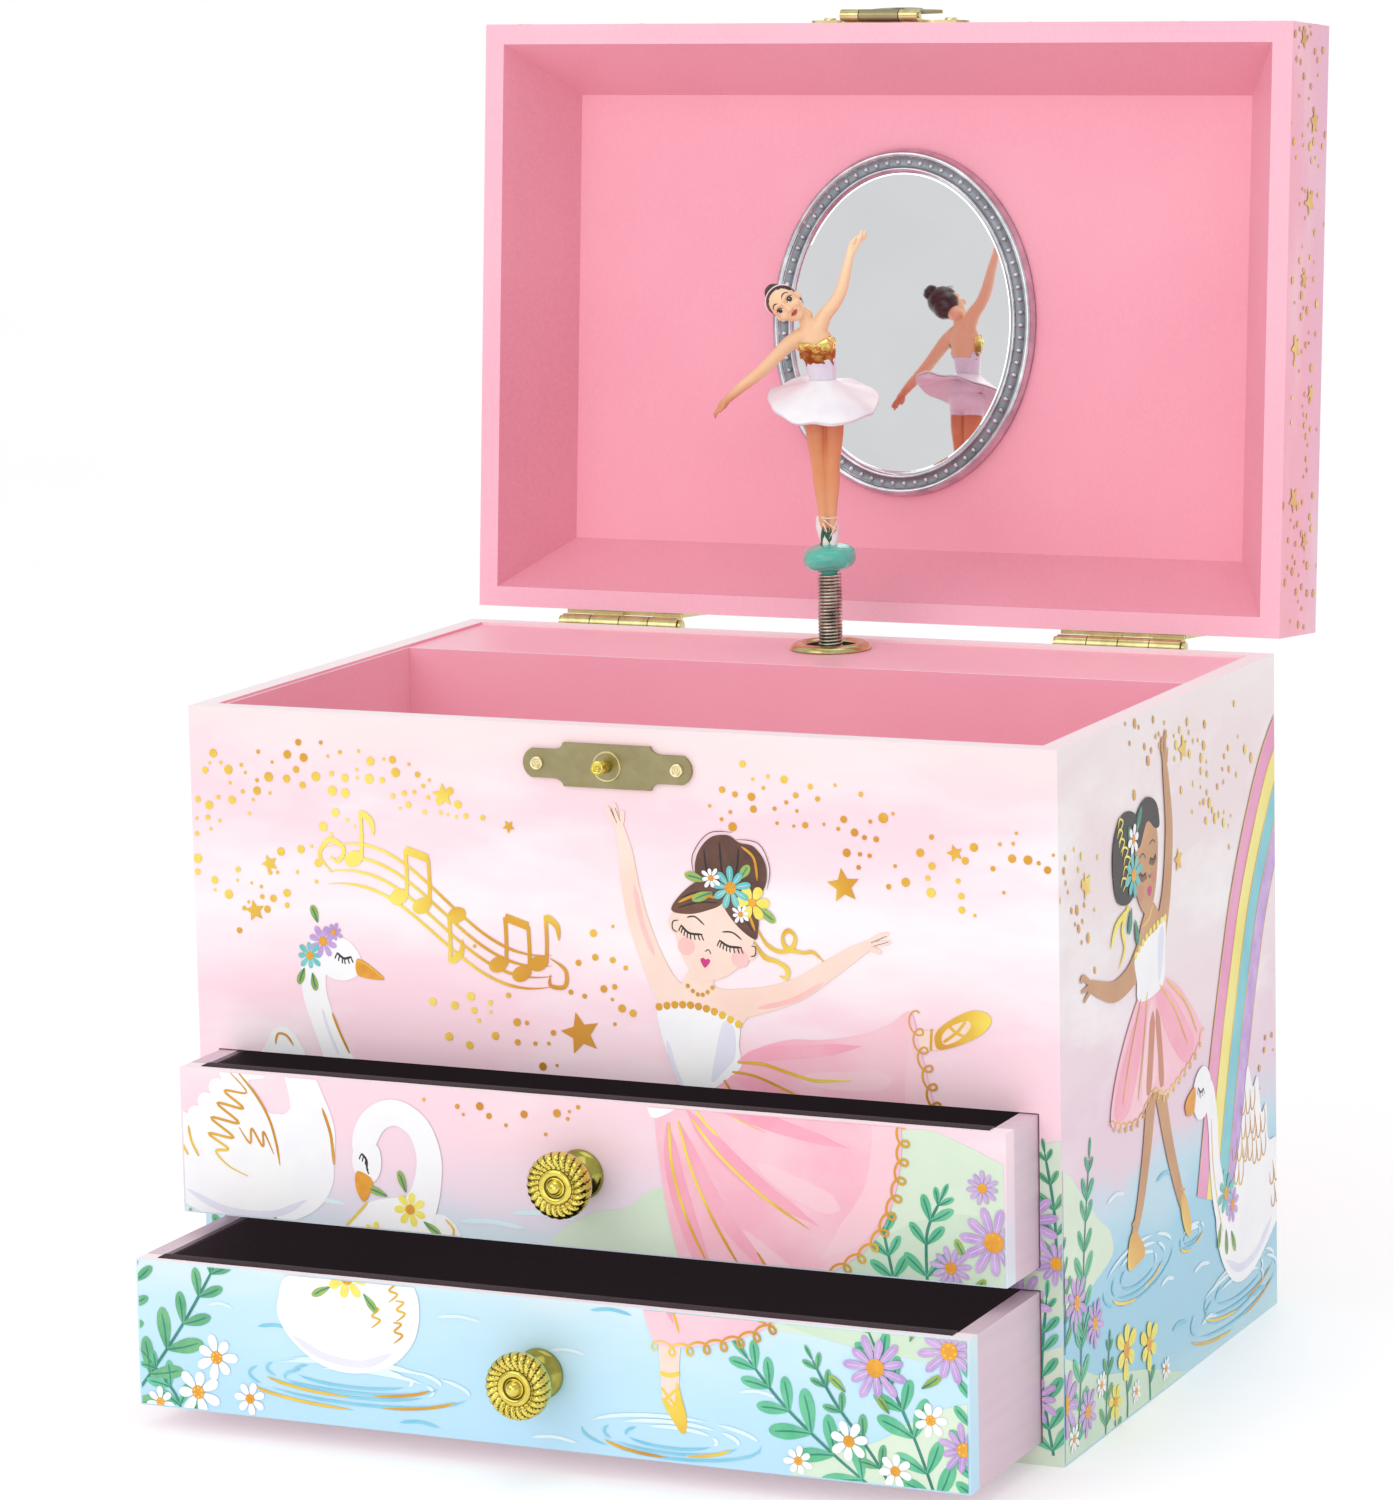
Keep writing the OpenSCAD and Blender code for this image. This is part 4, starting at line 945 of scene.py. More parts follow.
    def fern(self, stem, leaf, colour, layer, vein="leaf_dark", pairs=7, width=0.36, lean=0.8):
        pts = smooth_curve([(*p, 0) for p in stem], False, 10)
        self.line([(p.x, p.y) for p in pts], 0.55, vein if colour != vein else "leaf_dark", layer,
                  ends=(1, 0.5), smooth=False)
        for i in range(pairs):
            t = (i + 0.6) / pairs
            k = min(int(t * (len(pts) - 1)), len(pts) - 2)
            d = pts[k + 1] - pts[k]
            a = math.atan2(d.y, d.x)
            size = leaf * (1.05 - 0.5 * t**1.6) * (0.94 + 0.1 * math.sin(4 * i))
            for side in (-1, 1):
                self.leaf((pts[k].x, pts[k].y), a + side * (lean - 0.2 * t), size, size * width, colour,
                          layer + 1, vein)
        end = pts[-1] - pts[-2]
        self.leaf((pts[-1].x, pts[-1].y), math.atan2(end.y, end.x), leaf * 0.6, leaf * 0.16, colour,
                  layer + 1, vein)

    def dust(self, path, spread, count, seed, layer, sizes=(0.3, 0.95), keep_off=(), tall=1.0):
        """Gold confetti scattered along a path."""
        rnd = random.Random(seed)
        pts = smooth_curve([(*p, 0) for p in path], False, 12)
        placed = []
        for _ in range(count * 6):
            if len(placed) == count:
                break
            p = pts[rnd.randrange(len(pts))]
            at = (p.x + rnd.gauss(0, spread), p.y + rnd.gauss(0, spread))
            r = sizes[0] + (sizes[1] - sizes[0]) * rnd.random() ** 1.4
            if any(math.dist(at, q) < r + s + 0.7 for q, s in placed):
                continue
            if any(u0 < at[0] < u1 and v0 < at[1] < v1 for u0, v0, u1, v1 in keep_off):
                continue
            placed.append((at, r))
            self.dot(at, r, "gold", layer, tall=tall, turn=rnd.random() * 0.5, n=9)

    def curls(self, path, pitch, r, width, layer):
        """A row of looped scallops along a hem."""
        pts = smooth_curve([(*p, 0) for p in path], False, 14)
        run, out, last = 0.0, [], pts[0]
        fine = []
        for a, b in zip(pts, pts[1:]):
            fine += [a.lerp(b, i / 4) for i in range(4)]
        for i, p in enumerate(fine[:-1]):
            run += (p - last).length
            last = p
            d = (fine[i + 1] - p).to_2d().normalized()
            n = turn_left(d)
            a = 2 * math.pi * run / pitch
            out.append(tuple(p.to_2d() + n * r * math.cos(a) - d * r * 1.15 * math.sin(a)))
        self.line(out, width, "gold", layer, ends=(0.6, 0.6), smooth=False)

    def lashes(self, arc, layer, count=8, length=1.1, width=0.24, down=True):
        """A closed eye: a curved lid with lashes."""
        pts = smooth_curve([(*p, 0) for p in arc], False, 8)
        self.line([(p.x, p.y) for p in pts], width * 1.7, "line", layer, smooth=False)
        for i in range(count):
            p = pts[int((0.12 + 0.84 * i / (count - 1)) * (len(pts) - 1))]
            lean = (i / (count - 1) - 0.55) * 0.9
            tip = (p.x + lean * length, p.y - (length if down else -length))
            self.line([(p.x, p.y), ((p.x + tip[0]) / 2 - 0.06, (p.y + tip[1]) / 2), tip], width, "line",
                      layer, ends=(1, 0.2))

    def ripple(self, at, r, layer, count=3, gold=True, squash=0.2):
        """Rings on the water: broken arcs, pale, blue and gold."""
        for i in range(count):
            k = r * (0.62 + 0.3 * i)
            for start, end, colour in ((200, 330, "water"), (30, 120, "foam"), (340, 385, "foam"),
                                       (140, 190, "water")):
                arc = []
                for j in range(9):
                    a = math.radians(start + 17 * i + (end - start) * j / 8)
                    arc.append((at[0] + k * math.cos(a), at[1] + k * squash * math.sin(a)))
                self.line(arc, 0.7 if colour == "foam" else 0.5, colour, layer, ends=(0.05, 0.05),
                          smooth=False)
        if gold:
            for start, end, k in ((205, 268, 1.02), (282, 340, 0.86)):
                arc = []
                for j in range(9):
                    a = math.radians(start + (end - start) * j / 8)
                    arc.append((at[0] + r * k * math.cos(a), at[1] + r * k * squash * 1.15 * math.sin(a)))
                self.line(arc, 0.55, "gold", layer + 1, ends=(0.05, 0.05), smooth=False)

    def feathers(self, at, turn, rows, size, layer, colour="gold", width=0.36):
        """Rows of open feather strokes, as a pen would suggest a wing."""
        d = Vector((math.cos(turn), math.sin(turn)))
        n = turn_left(d)
        for i, count in enumerate(rows):
            for j in range(count):
                c = Vector(at) + d * (i * size * 1.05) + n * (j
                    - (count - 1) / 2) * size * 0.62 + d * 0.3 * (j % 2)
                shape = [(-0.5, 0.3), (0.1, 0.34), (0.5, 0.12), (0.42, -0.16), (-0.1, -0.2)]
                self.line([tuple(c + d * size * a + n * size * b) for a, b in shape], width, colour, layer,
                          ends=(0.3, 0.2))

    def onto(self, name, body, spot, windows):
        """Lays the picture on a board. spot(u, v, height) is the place in space; windows are its edges."""
        verts, faces, index, seen = [], [], [], {}
        for height, colour, poly in self.polys:
            for w in windows:
                part = clip(poly, w)
                if not part:
                    continue
                ids = []
                for u, v in part:
                    key = (round(u, 4), round(v, 4), height, colour)
                    if key not in seen:
                        seen[key] = len(verts)
                        verts.append(spot(u, v, height))
                    if not ids or ids[-1] != seen[key]:
                        ids.append(seen[key])
                if ids[0] == ids[-1]:
                    ids.pop()
                if len(ids) > 2:
                    faces.append(ids)
                    index.append(colour)
        used = sorted(set(index))
        materials = [INKS[INK_NAMES[i]] for i in used]
        index = [used.index(i) for i in index]
        return mesh_object(name, verts, faces, body, materials, smooth=False, indices=index)


# ---------- the front picture, in x and z ----------


def swan_back(p):
    """The large swan at the left: head and neck on the case, body and raised wing on the upper drawer."""
    p.fill([(-88, 50), (-84, 54), (-80, 54.5), (-77.6, 53), (-75.6, 55.5), (-73, 58.6), (-70.4, 61.5),
            (-69, 63.5), (-67.4, 63),
            (-65.4, 59.5), (-63, 56), (-60.6, 55.6), (-58.6, 56), (-55, 60), (-52, 58), (-50, 52),
            (-49.5, 44), (-53, 38.5),
            (-60, 35.2), (-68, 34.2), (-76, 35.6), (-83, 39), (-88, 45)], "white", 4)
    p.line([(-54.6, 83), (-58.2, 83.4), (-60.3, 80), (-60.5, 75), (-58.8, 69.5), (-56.6, 64.5), (-54.6, 59),
            (-53.4, 53), (-54.5, 47)],
           [5.5, 5.6, 5.2, 5, 5, 5.6, 7, 9, 10], "white", 5, ends=(0.8, 1))
    for at in ((-77.4, 54.0), (-75.2, 56.6), (-72.8, 59.4), (-70.4, 62.2)):
        p.dot(at, 1.9, "white", 5)
    p.fill([(-71, 62), (-70, 66.4), (-67.4, 68), (-64.6, 66.4), (-63, 62)], "white", 5)
    p.line([(-69, 64.6), (-68.4, 66.6), (-66.6, 66.4), (-65.2, 64.6)], 0.45, "gold", 7, ends=(0.3, 0.3))
    p.fill([(-50.6, 80), (-51.2, 83), (-54, 85.4), (-57.8, 85.2), (-60, 82.6), (-59.4, 79.4), (-56, 77.6),
            (-52.6, 78)], "white", 6)
    p.fill([(-51.5, 81.8), (-49, 80.8), (-46, 78.4), (-48.8, 78.2), (-51.6, 78.9)], "orange", 7)
    p.line([(-51.6, 81.6), (-49, 80.5), (-46.4, 78.6)], 0.3, "gold", 8)
    p.lashes([(-55.6, 82.7), (-54.2, 81.7), (-52.6, 82.1)], 8, count=6, length=1.1, width=0.26)
    p.line([(-59, 72), (-57.8, 68), (-55.8, 63.5)], 0.6, "shadow", 6, ends=(0.1, 0.1))
    for at, colour, r in (((-58.4, 84.6), "lilac", 3.0), ((-61.2, 81.8), "teal", 2.6),
                          ((-56.2, 86.4), "lilac", 1.8)):
        p.daisy(at, r, colour, 9, count=8, turn=at[0])
    for at, a in (((-62.4, 79.4), 4.3), ((-60.8, 78.6), 4.9), ((-59.4, 88), 1.9)):
        p.leaf(at, a, 3.4, 1.5, "olive", 9, "leaf_dark")
    zigzag = [(-70, 62.4), (-66.8, 59), (-71.4, 59), (-67.6, 56), (-73, 56.6), (-68.6, 53.2), (-74.4, 53.8),
              (-69.8, 50.4),
              (-75, 50.8), (-71, 48.2), (-73.6, 47.6), (-71, 45), (-67, 43.4)]
    p.line(zigzag, 0.5, "gold", 7, ends=(0.4, 0.3))
    p.line([(-68.4, 62.6), (-65, 58.8), (-62.4, 54.6), (-61, 50), (-60.4, 46)], 0.5, "gold", 7,
           ends=(0.5, 0.3))
    p.line([(-68.6, 52.4), (-66.4, 49.6), (-66, 52.4), (-63.8, 49.2), (-63.6, 52), (-61.6, 48)], 0.45,
           "gold", 7, ends=(0.4, 0.3))
    for u in (-83.6, -81.4, -79.2):
        p.line([(u, 52), (u + 0.6, 49), (u + 2, 46.4)], 0.5, "gold", 7, ends=(0.3, 0.6))
    p.line([(-51.4, 57.4), (-49.8, 52.6), (-49.3, 47)], 0.6, "gold", 7, ends=(0.2, 0.5))
    p.line([(-57.0, 71.4), (-55.6, 68), (-53.6, 64)], 0.5, "gold", 7, ends=(0.2, 0.5))
    p.line([(-80, 40), (-72, 36.8), (-62, 36.8), (-55, 40)], 1.3, "shadow", 5, ends=(0.05, 0.05))


def swan_front(p):
    """The small swan: an arched neck on the upper drawer and a floating body on the lower one."""
    p.line([(-42.4, 46.6), (-43, 51.6), (-40.6, 56), (-36.4, 57.6), (-32, 55.2), (-30, 50), (-30.6, 44),
            (-33, 38), (-35, 31)],
           [4.6, 5.2, 5, 4.8, 4.8, 5, 5.6, 7.5, 11], "white", 10, ends=(0.8, 1))
    p.fill([(-44.8, 50.6), (-45.4, 47), (-43.6, 44.4), (-40.8, 44.8), (-39.6, 48), (-40.6, 51.4)], "white",
           11)
    p.fill([(-44.6, 46.2), (-44.9, 43), (-43.4, 40.6), (-42, 42.6), (-41.6, 45)], "orange", 12)
    p.lashes([(-43.6, 49.6), (-42.6, 48.4), (-42.6, 46.8)], 12, count=6, length=1.1, width=0.26)
    p.fill([(-51.5, 27), (-50, 30.6), (-45, 31.6), (-38, 34.6), (-30, 35), (-25.4, 32.6), (-23.4, 28),
            (-24.4, 21.5), (-29, 16.4),
            (-36, 14.2), (-43, 15), (-49, 19), (-51.8, 23.4)], "white", 9)
    p.line([(-49, 20), (-43, 16.8), (-35, 16), (-29, 18.5)], 1.4, "shadow", 10, ends=(0.05, 0.05))
    for u, v in ((-29.4, 30), (-28, 26.6), (-33, 25), (-28.6, 22.6)):
        p.line([(u, v + 1.6), (u + 1.6, v + 1.4), (u + 0.2, v), (u + 1.8, v - 0.6), (u, v - 2.2)], 0.42,
               "gold", 11, ends=(0.5, 0.3))
    p.fill([(-48, 34.5), (-45, 37.6), (-42.4, 40.6), (-36, 42), (-33, 41), (-30.6, 39.6), (-27, 39.4),
            (-24.6, 37.4), (-23.6, 34),
            (-26, 31), (-46, 31)], "white", 9)
    p.line([(-47.4, 35.6), (-44.8, 38.2), (-42.6, 40.6)], 0.5, "gold", 12, ends=(0.3, 0.3))
    p.line([(-27, 38.8), (-25.4, 37), (-25.8, 35)], 0.45, "gold", 12, ends=(0.3, 0.3))
    for at, r in (((-34, 40), 3.2), ((-37.6, 31.4), 3.8), ((-41.6, 34.5), 2.6)):
        p.daisy(at, r, "yellow", 13, count=7, turn=at[1])
    for at, a in (((-31.4, 38), -0.6), ((-34.8, 43), 1.9), ((-41, 29.6), 3.6), ((-34.4, 29), -0.9),
                  ((-38.6, 42), 2.8)):
        p.leaf(at, a, 4.2, 1.5, "olive", 12, "leaf_dark")
    for at, r in (((-37, 13.5), 19), ((-36, 12.2), 24)):
        p.ripple(at, r, 6, count=2, squash=0.17)


def ballerina(p):
    """The dancer in the pink skirt."""
    # skirt, with soft folds, gold pleat lines and a looped hem
    p.fill([(15, 61.5), (18, 62.4), (22, 65.2), (24.4, 68), (28.5, 71), (34.5, 72.8), (41, 73.2),
            (48.5, 74.8), (53.5, 77),
            (56.5, 79.3), (57.8, 78.6), (59, 73), (60.4, 67.5), (61.6, 61), (61, 54), (59.2, 47.5),
            (56, 41.7), (51.2, 37.6),
            (46.8, 34.6), (45.4, 31.2), (40.8, 28.6), (36, 26.8), (30, 25.4), (25, 24.8), (22, 26),
            (19.6, 33), (17.2, 42),
            (15.6, 52)], "skirt", 8)
    for path, width, colour in (
        ([(57, 74), (58, 66), (58.4, 58), (56.6, 50), (52, 43), (46, 38)], [2, 4, 5, 5, 5, 3],
         "skirt_light"),
        ([(36, 66), (44, 66), (54, 67)], [2, 3.4, 4], "skirt_light"),
        ([(34, 54), (42, 50), (50, 47)], [2, 4, 4], "skirt_light"),
        ([(30, 42), (36, 37), (42, 33)], [2, 3.6, 3], "skirt_light"),
        ([(24, 68), (30, 70), (38, 71), (48, 72.6)], [2, 2.6, 2.2, 1.4], "skirt_deep"),
        ([(22.6, 65.4), (30, 63.4), (40, 60.6), (52, 58)], [1.6, 3, 2.6, 1], "skirt_deep"),
        ([(21, 62.6), (27, 56), (35, 49.6), (46, 43.6)], [2, 3.4, 3, 1], "skirt_deep"),
        ([(17.2, 60), (18.6, 50), (22, 39), (26, 29)], [2, 3.4, 3.4, 1.6], "skirt_deep"),
        ([(19.6, 60), (24, 50), (30, 41), (38, 33)], [1.6, 2.6, 2.6, 1], "skirt_deep"),
    ):
        p.line(path, width, colour, 9 if colour == "skirt_light" else 10, ends=(0.1, 0.02))
    for path, w in (
        ([(24.2, 68), (29, 68), (34, 66.8), (39, 65.8), (46, 66.3)], 0.62),
        ([(23, 66.2), (28, 65.6), (36, 62.6)], 0.5),
        ([(21.4, 64.6), (24, 61), (27, 58.2)], 0.5), ([(17.6, 60), (18, 52), (20.6, 43), (25, 34)], 0.55),
        ([(19.4, 60.4), (21.6, 52), (26, 42.6), (31, 34.5)], 0.55),
        ([(22, 61), (27, 55), (35, 48.4), (44, 43)], 0.55),
        ([(30, 61.8), (36, 59.6)], 0.45), ([(34, 38), (38, 33), (44, 30.5)], 0.5),
        ([(24, 36), (26, 31), (27, 27.5)], 0.5),
    ):
        p.line(path, w, "gold", 12, ends=(0.6, 0.15))
    p.curls([(57.8, 79), (59.2, 73), (60.6, 67.5), (61.8, 61), (61.2, 54), (59.4, 47.5), (56.3, 41.5),
             (51.5, 37.4), (47, 34.4),
             (45.6, 31), (41, 28.2), (36, 26.4), (30, 25), (25, 24.4), (21.6, 25.4)], 3.3, 1.1, 0.42, 12)
    # raised foot in its slipper, and the standing leg
    p.fill([(57.8, 76), (61.6, 76.4), (65.5, 77.5), (65, 74), (61.4, 72.8), (58.4, 73)], "skin", 7)
    p.fill([(62, 76), (64.4, 78.2), (68.4, 80.3), (71.4, 80.2), (72.4, 78.6), (70.4, 76.2), (66.6, 74.2),
            (62.8, 73), (61.8, 74)], "gold", 8)
    p.fill([(63.2, 75.6), (65, 77.4), (68, 78.5), (68.4, 77.2), (66.2, 75), (63.6, 74)], "skin", 9)
    for path in ([(63.4, 74.4), (66, 76.4), (67.6, 78.4)], [(67.6, 75.6), (65.6, 76.4), (64.4, 77.6)],
                 [(61, 72.8), (61.2, 76.6)]):
        p.line(path, 0.55, "gold", 10, ends=(0.8, 0.8))
    p.fill([(23.3, 29), (27.2, 29), (26.9, 22), (26.6, 17), (25.4, 13.4), (23.7, 15), (23.3, 20)], "skin",
           6)
    p.fill([(26.4, 18.8), (27.3, 15.6), (28.1, 12.6), (27.9, 10), (26.9, 9.7), (25.4, 11.8), (24, 14),
            (23.4, 15.6), (24.3, 15.3),
            (25.5, 14.4), (26, 16.4)], "gold", 7)
    for path, w in (([(23.2, 20.1), (25, 19.8), (26.9, 20.3)], 0.8),
                    ([(23.4, 17.4), (24.6, 16), (25.8, 14.6)], 0.5),
                    ([(23.6, 15), (25, 16.2), (26.4, 17.6)], 0.5)):
        p.line(path, w, "gold", 8, ends=(0.8, 0.8))
    p.ripple((25, 8.6), 14, 5, count=3, squash=0.22)
    # arms, chest and neck
    p.line([(1.6, 110.4), (3, 105), (3.8, 99), (5.2, 92.6), (7.6, 86), (10.4, 80.6), (14, 77)],
           [2.2, 2.7, 3.4, 4, 4.5, 5.4, 7.4],
           "skin", 7, ends=(0.7, 1))
    p.line([(18, 76.6), (24, 78.4), (30, 79.8), (36, 82), (41.6, 85.6), (46.6, 89), (50.4, 91.2)],
           [8, 5.6, 4.5, 4, 3.4, 2.7, 2.2],
           "skin", 7, ends=(1, 0.7))
    p.fill([(9, 78.6), (13.4, 81.6), (15.2, 84), (19.4, 84), (20, 81.4), (24, 80.4), (26, 76), (20, 73),
            (10, 74)], "skin", 7)
    for path in ([(0.9, 110), (0, 111.6), (-0.4, 112.8)], [(1.7, 110.4), (1.3, 112), (1, 113.4)],
                 [(2.4, 110), (2.6, 111.4), (2.6, 112.2)],
                 [(50, 91.4), (51.6, 92.4), (53.4, 93)], [(50.2, 90.8), (52, 91.2), (53.8, 91.6)],
                 [(49.8, 90.2), (51.2, 89.8), (52, 89.6)]):
        p.line(path, 0.9, "skin", 8, ends=(1, 0.5))
    for path in ([(0.4, 112.4), (1.5, 109.8)], [(1.2, 112.6), (2.2, 110.2)], [(50, 91.2), (53, 92.6)],
                 [(50.4, 90.6), (53.4, 91.6)]):
        p.line(path, 0.26, "line", 9)
    p.line([(4.6, 99), (6, 92), (8.4, 86)], 1.0, "blush", 8, ends=(0.05, 0.05))
    p.line([(28, 78), (35, 80), (41, 83.6)], 0.9, "blush", 8, ends=(0.05, 0.05))
    # bodice with gold beads, and a necklace
    p.fill([(8.8, 76.8), (13, 77.6), (18, 77.2), (22, 76.4), (24.6, 74.6), (24.4, 71), (24.8, 67.4),
            (22, 64.8), (18, 62),
            (14.4, 60.6), (13, 63.4), (10.6, 68.4), (9.2, 72.6)], "white", 9)
    p.fill([(21.4, 75), (23.6, 74), (23.6, 69), (21.6, 66.4), (19, 64), (19.8, 69)], "shadow", 10)
    p.line([(13.4, 62.4), (11.6, 66.6), (10.4, 71)], 0.9, "shadow", 10, ends=(0.05, 0.05))
    for i in range(11):
        t = i / 10
        p.dot((9 + 15.4 * t, 77 + 1.1 * math.sin(math.pi * t) - 2.1 * t * t), 0.72, "gold", 11, n=10)
    for i in range(6):
        t = i / 5
        p.dot((14.7 + 4.8 * t, 81.2 - 1.5 * math.sin(math.pi * t)), 0.42, "gold", 11, n=8)
    # head: bun and fringe round a tilted face
    p.fill([(16.8, 101), (17, 105), (19.6, 108.2), (23, 108.8), (25.2, 107.6), (28, 107), (30.2, 104),
            (30, 100), (27, 97), (20, 97)], "hair", 10)
    p.fill([(12.4, 94), (12.7, 89.6), (14, 86), (16.2, 83.2), (18.8, 82.4), (22.2, 83.4), (25.2, 85.8),
            (27.3, 89), (27.7, 92.4),
            (25, 97), (20, 99), (15.4, 98)], "skin", 11)
    p.fill([(11.2, 92.8), (12.4, 94.2), (13.6, 92.6), (13.2, 90.4), (11.8, 91)], "skin", 11)
    p.fill([(26.4, 88.6), (28, 89.6), (28.3, 87.8), (27.2, 86.6), (26, 87.2)], "skin", 11)
    p.fill([(11.8, 94.8), (14, 98), (17.6, 100.4), (22, 99.8), (21.8, 96.6), (18.6, 95), (15, 94.2)],
           "hair", 13)
    p.fill([(21.4, 99.6), (25, 99.2), (28.4, 95.4), (28.4, 91), (27.4, 90.6), (24.6, 92.6), (22, 96)],
           "hair", 13)
    for path in ([(18.4, 106), (18.8, 102.6), (20, 100.4)], [(21.4, 107.6), (21.6, 104), (22, 100.8)],
                 [(25, 106.6), (24.8, 103.6), (24, 100.6)],
                 [(13, 95.2), (17, 96.4), (21, 96.6)], [(13.6, 97), (17.4, 98.4), (21, 98.2)],
                 [(23, 98), (25.4, 95), (27.6, 91.8)]):
        p.line(path, 0.3, "hair_dark", 14, ends=(0.2, 0.2))
    for path in ([(25.6, 107), (28, 105), (28.6, 101)], [(24.8, 98), (26.6, 95.4), (28, 92)],
                 [(13.2, 96.2), (17, 97.8), (21, 97.4)]):
        p.line(path, 0.5, "gold", 14, ends=(0.2, 0.2))
    p.line([(16.4, 101), (16.2, 105), (19.4, 109), (24, 109.4)], 0.14, "line", 14)
    p.line([(24.6, 108.2), (29, 107.6), (31, 103.4), (30.4, 99.4)], 0.14, "line", 14)
    p.dot((14.6, 88.4), 1.7, "blush", 12)
    p.dot((25, 86.8), 1.7, "blush", 12)
    p.lashes([(13.6, 92.2), (15.2, 90.8), (17.8, 90.7)], 13)
    p.lashes([(21, 89.9), (22.8, 88.9), (25.4, 88.8)], 13)
    p.line([(14.8, 93.6), (16.4, 93.8), (18.2, 92.4)], 0.28, "line", 13)
    p.line([(21.6, 91.4), (23.6, 91.4), (25.4, 90.2)], 0.28, "line", 13)
    p.line([(13.2, 93), (12.1, 92.7), (12, 91.4), (12.9, 90.8)], 0.22, "line", 13)
    p.line([(27.2, 89.2), (28, 89), (27.9, 87.6), (27, 87.3)], 0.22, "line", 13)
    p.line([(18.2, 87.6), (18.9, 88), (19.4, 87.2)], 0.2, "line", 13)
    p.fill([(17.3, 86.2), (17.9, 86.5), (18.3, 86.2), (18.8, 86.4), (19.2, 85.9), (18.2, 84.7),
            (17.6, 85.3)], "lips", 13, steps=3)
    # flowers in the hair, and two loose ribbons
    for at, a, n in (((18.6, 100.4), 2.9, 4.2), ((20, 98.4), 3.5, 4.4), ((28.6, 96.4), -0.7, 4.2),
                     ((25, 101), 0.9, 3.4)):
        p.leaf(at, a, n, 1.7, "olive", 15, "leaf_dark")
    p.petals((27.6, 97), 3.2, 6, "yellow", 16, width=0.62)
    p.daisy((23.4, 99.4), 3.8, "teal", 18, count=9, vein="white")
    p.daisy((19.7, 101), 1.9, "white", 20, count=8)
    p.daisy((25.3, 94.8), 1.7, "white", 20, count=8)
    p.dot((27.6, 97), 0.8, "orange", 20)
    p.line([(28.2, 92.8), (30, 89.8), (32.6, 88.5), (35, 89.4), (35.6, 91.4), (34.2, 92.4), (33.2, 91),
            (34, 89.2), (37, 88.6), (39, 88.8), (41, 87.2)],
           [0.5, 0.9, 0.7, 0.9, 0.6, 0.8, 0.6, 0.9, 0.6, 0.9, 0.4], "gold", 13)
    p.line([(27.8, 90), (29.6, 87.4), (32.2, 86.6), (34, 85.4), (33.8, 83.8), (32.4, 84.2)],
           [0.5, 0.9, 0.7, 0.9, 0.7, 0.4], "gold", 13)


def flourish(p):
    """A ribbon of music: three waving lines with notes on them."""
    def wave(t, k):
        return (-57 + 45 * t, 96.6 + k * 2.3 - 12 * t + 4.6 * math.sin(5.2 * t + 0.5)
                + 0.5 * k * math.sin(4 * t))

    for k in (-1.5, -0.5, 0.5, 1.5):
        p.line([wave(i / 16, k) for i in range(17)], 0.55, "gold", 6, ends=(0.1, 0.1))
    for t, k, up, kind in ((0.12, 0.4, 1, "one"), (0.32, -1, 1, "pair"), (0.58, 1.2, -1, "one"),
                           (0.76, -0.2, 1, "pair"), (0.94, 0.8, 1, "one")):
        x, z = wave(t, k)
        heads = [(x, z)] if kind == "one" else [(x, z), (x + 4.6, z - 1.4)]
        tops = []
        for hx, hz in heads:
            p.dot((hx, hz), 1.95, "gold", 8, tall=0.72, turn=0.45, n=16)
            sx = hx + 1.6 * up
            p.line([(sx, hz), (sx + 0.15, hz + 4.4 * up), (sx, hz + 8.8 * up)], 0.72, "gold", 8,
                   ends=(1, 1))
            tops.append((sx, hz + 8.8 * up))
        if kind == "pair":
            p.line([tops[0], tops[1]], 1.5, "gold", 8, ends=(1, 1), smooth=False)
        else:
            a, b = tops[0]
            p.line([(a, b), (a + 2.2, b - 1.8 * up), (a + 2.6, b - 4.4 * up)], [1.4, 1.1, 0.4], "gold", 8)
    p.line([(-56, 97.5), (-58.6, 100.6), (-56.4, 103.6), (-53.6, 102), (-54.8, 99.6), (-56.4, 100.6)],
           [0.4, 0.7, 0.9, 0.8, 0.6, 0.4], "gold", 7)
    p.line([(-12.4, 84.4), (-9.4, 82.4), (-9.6, 79.4), (-12.4, 79.4), (-12.4, 81.4)],
           [0.4, 0.7, 0.8, 0.7, 0.4], "gold", 7)


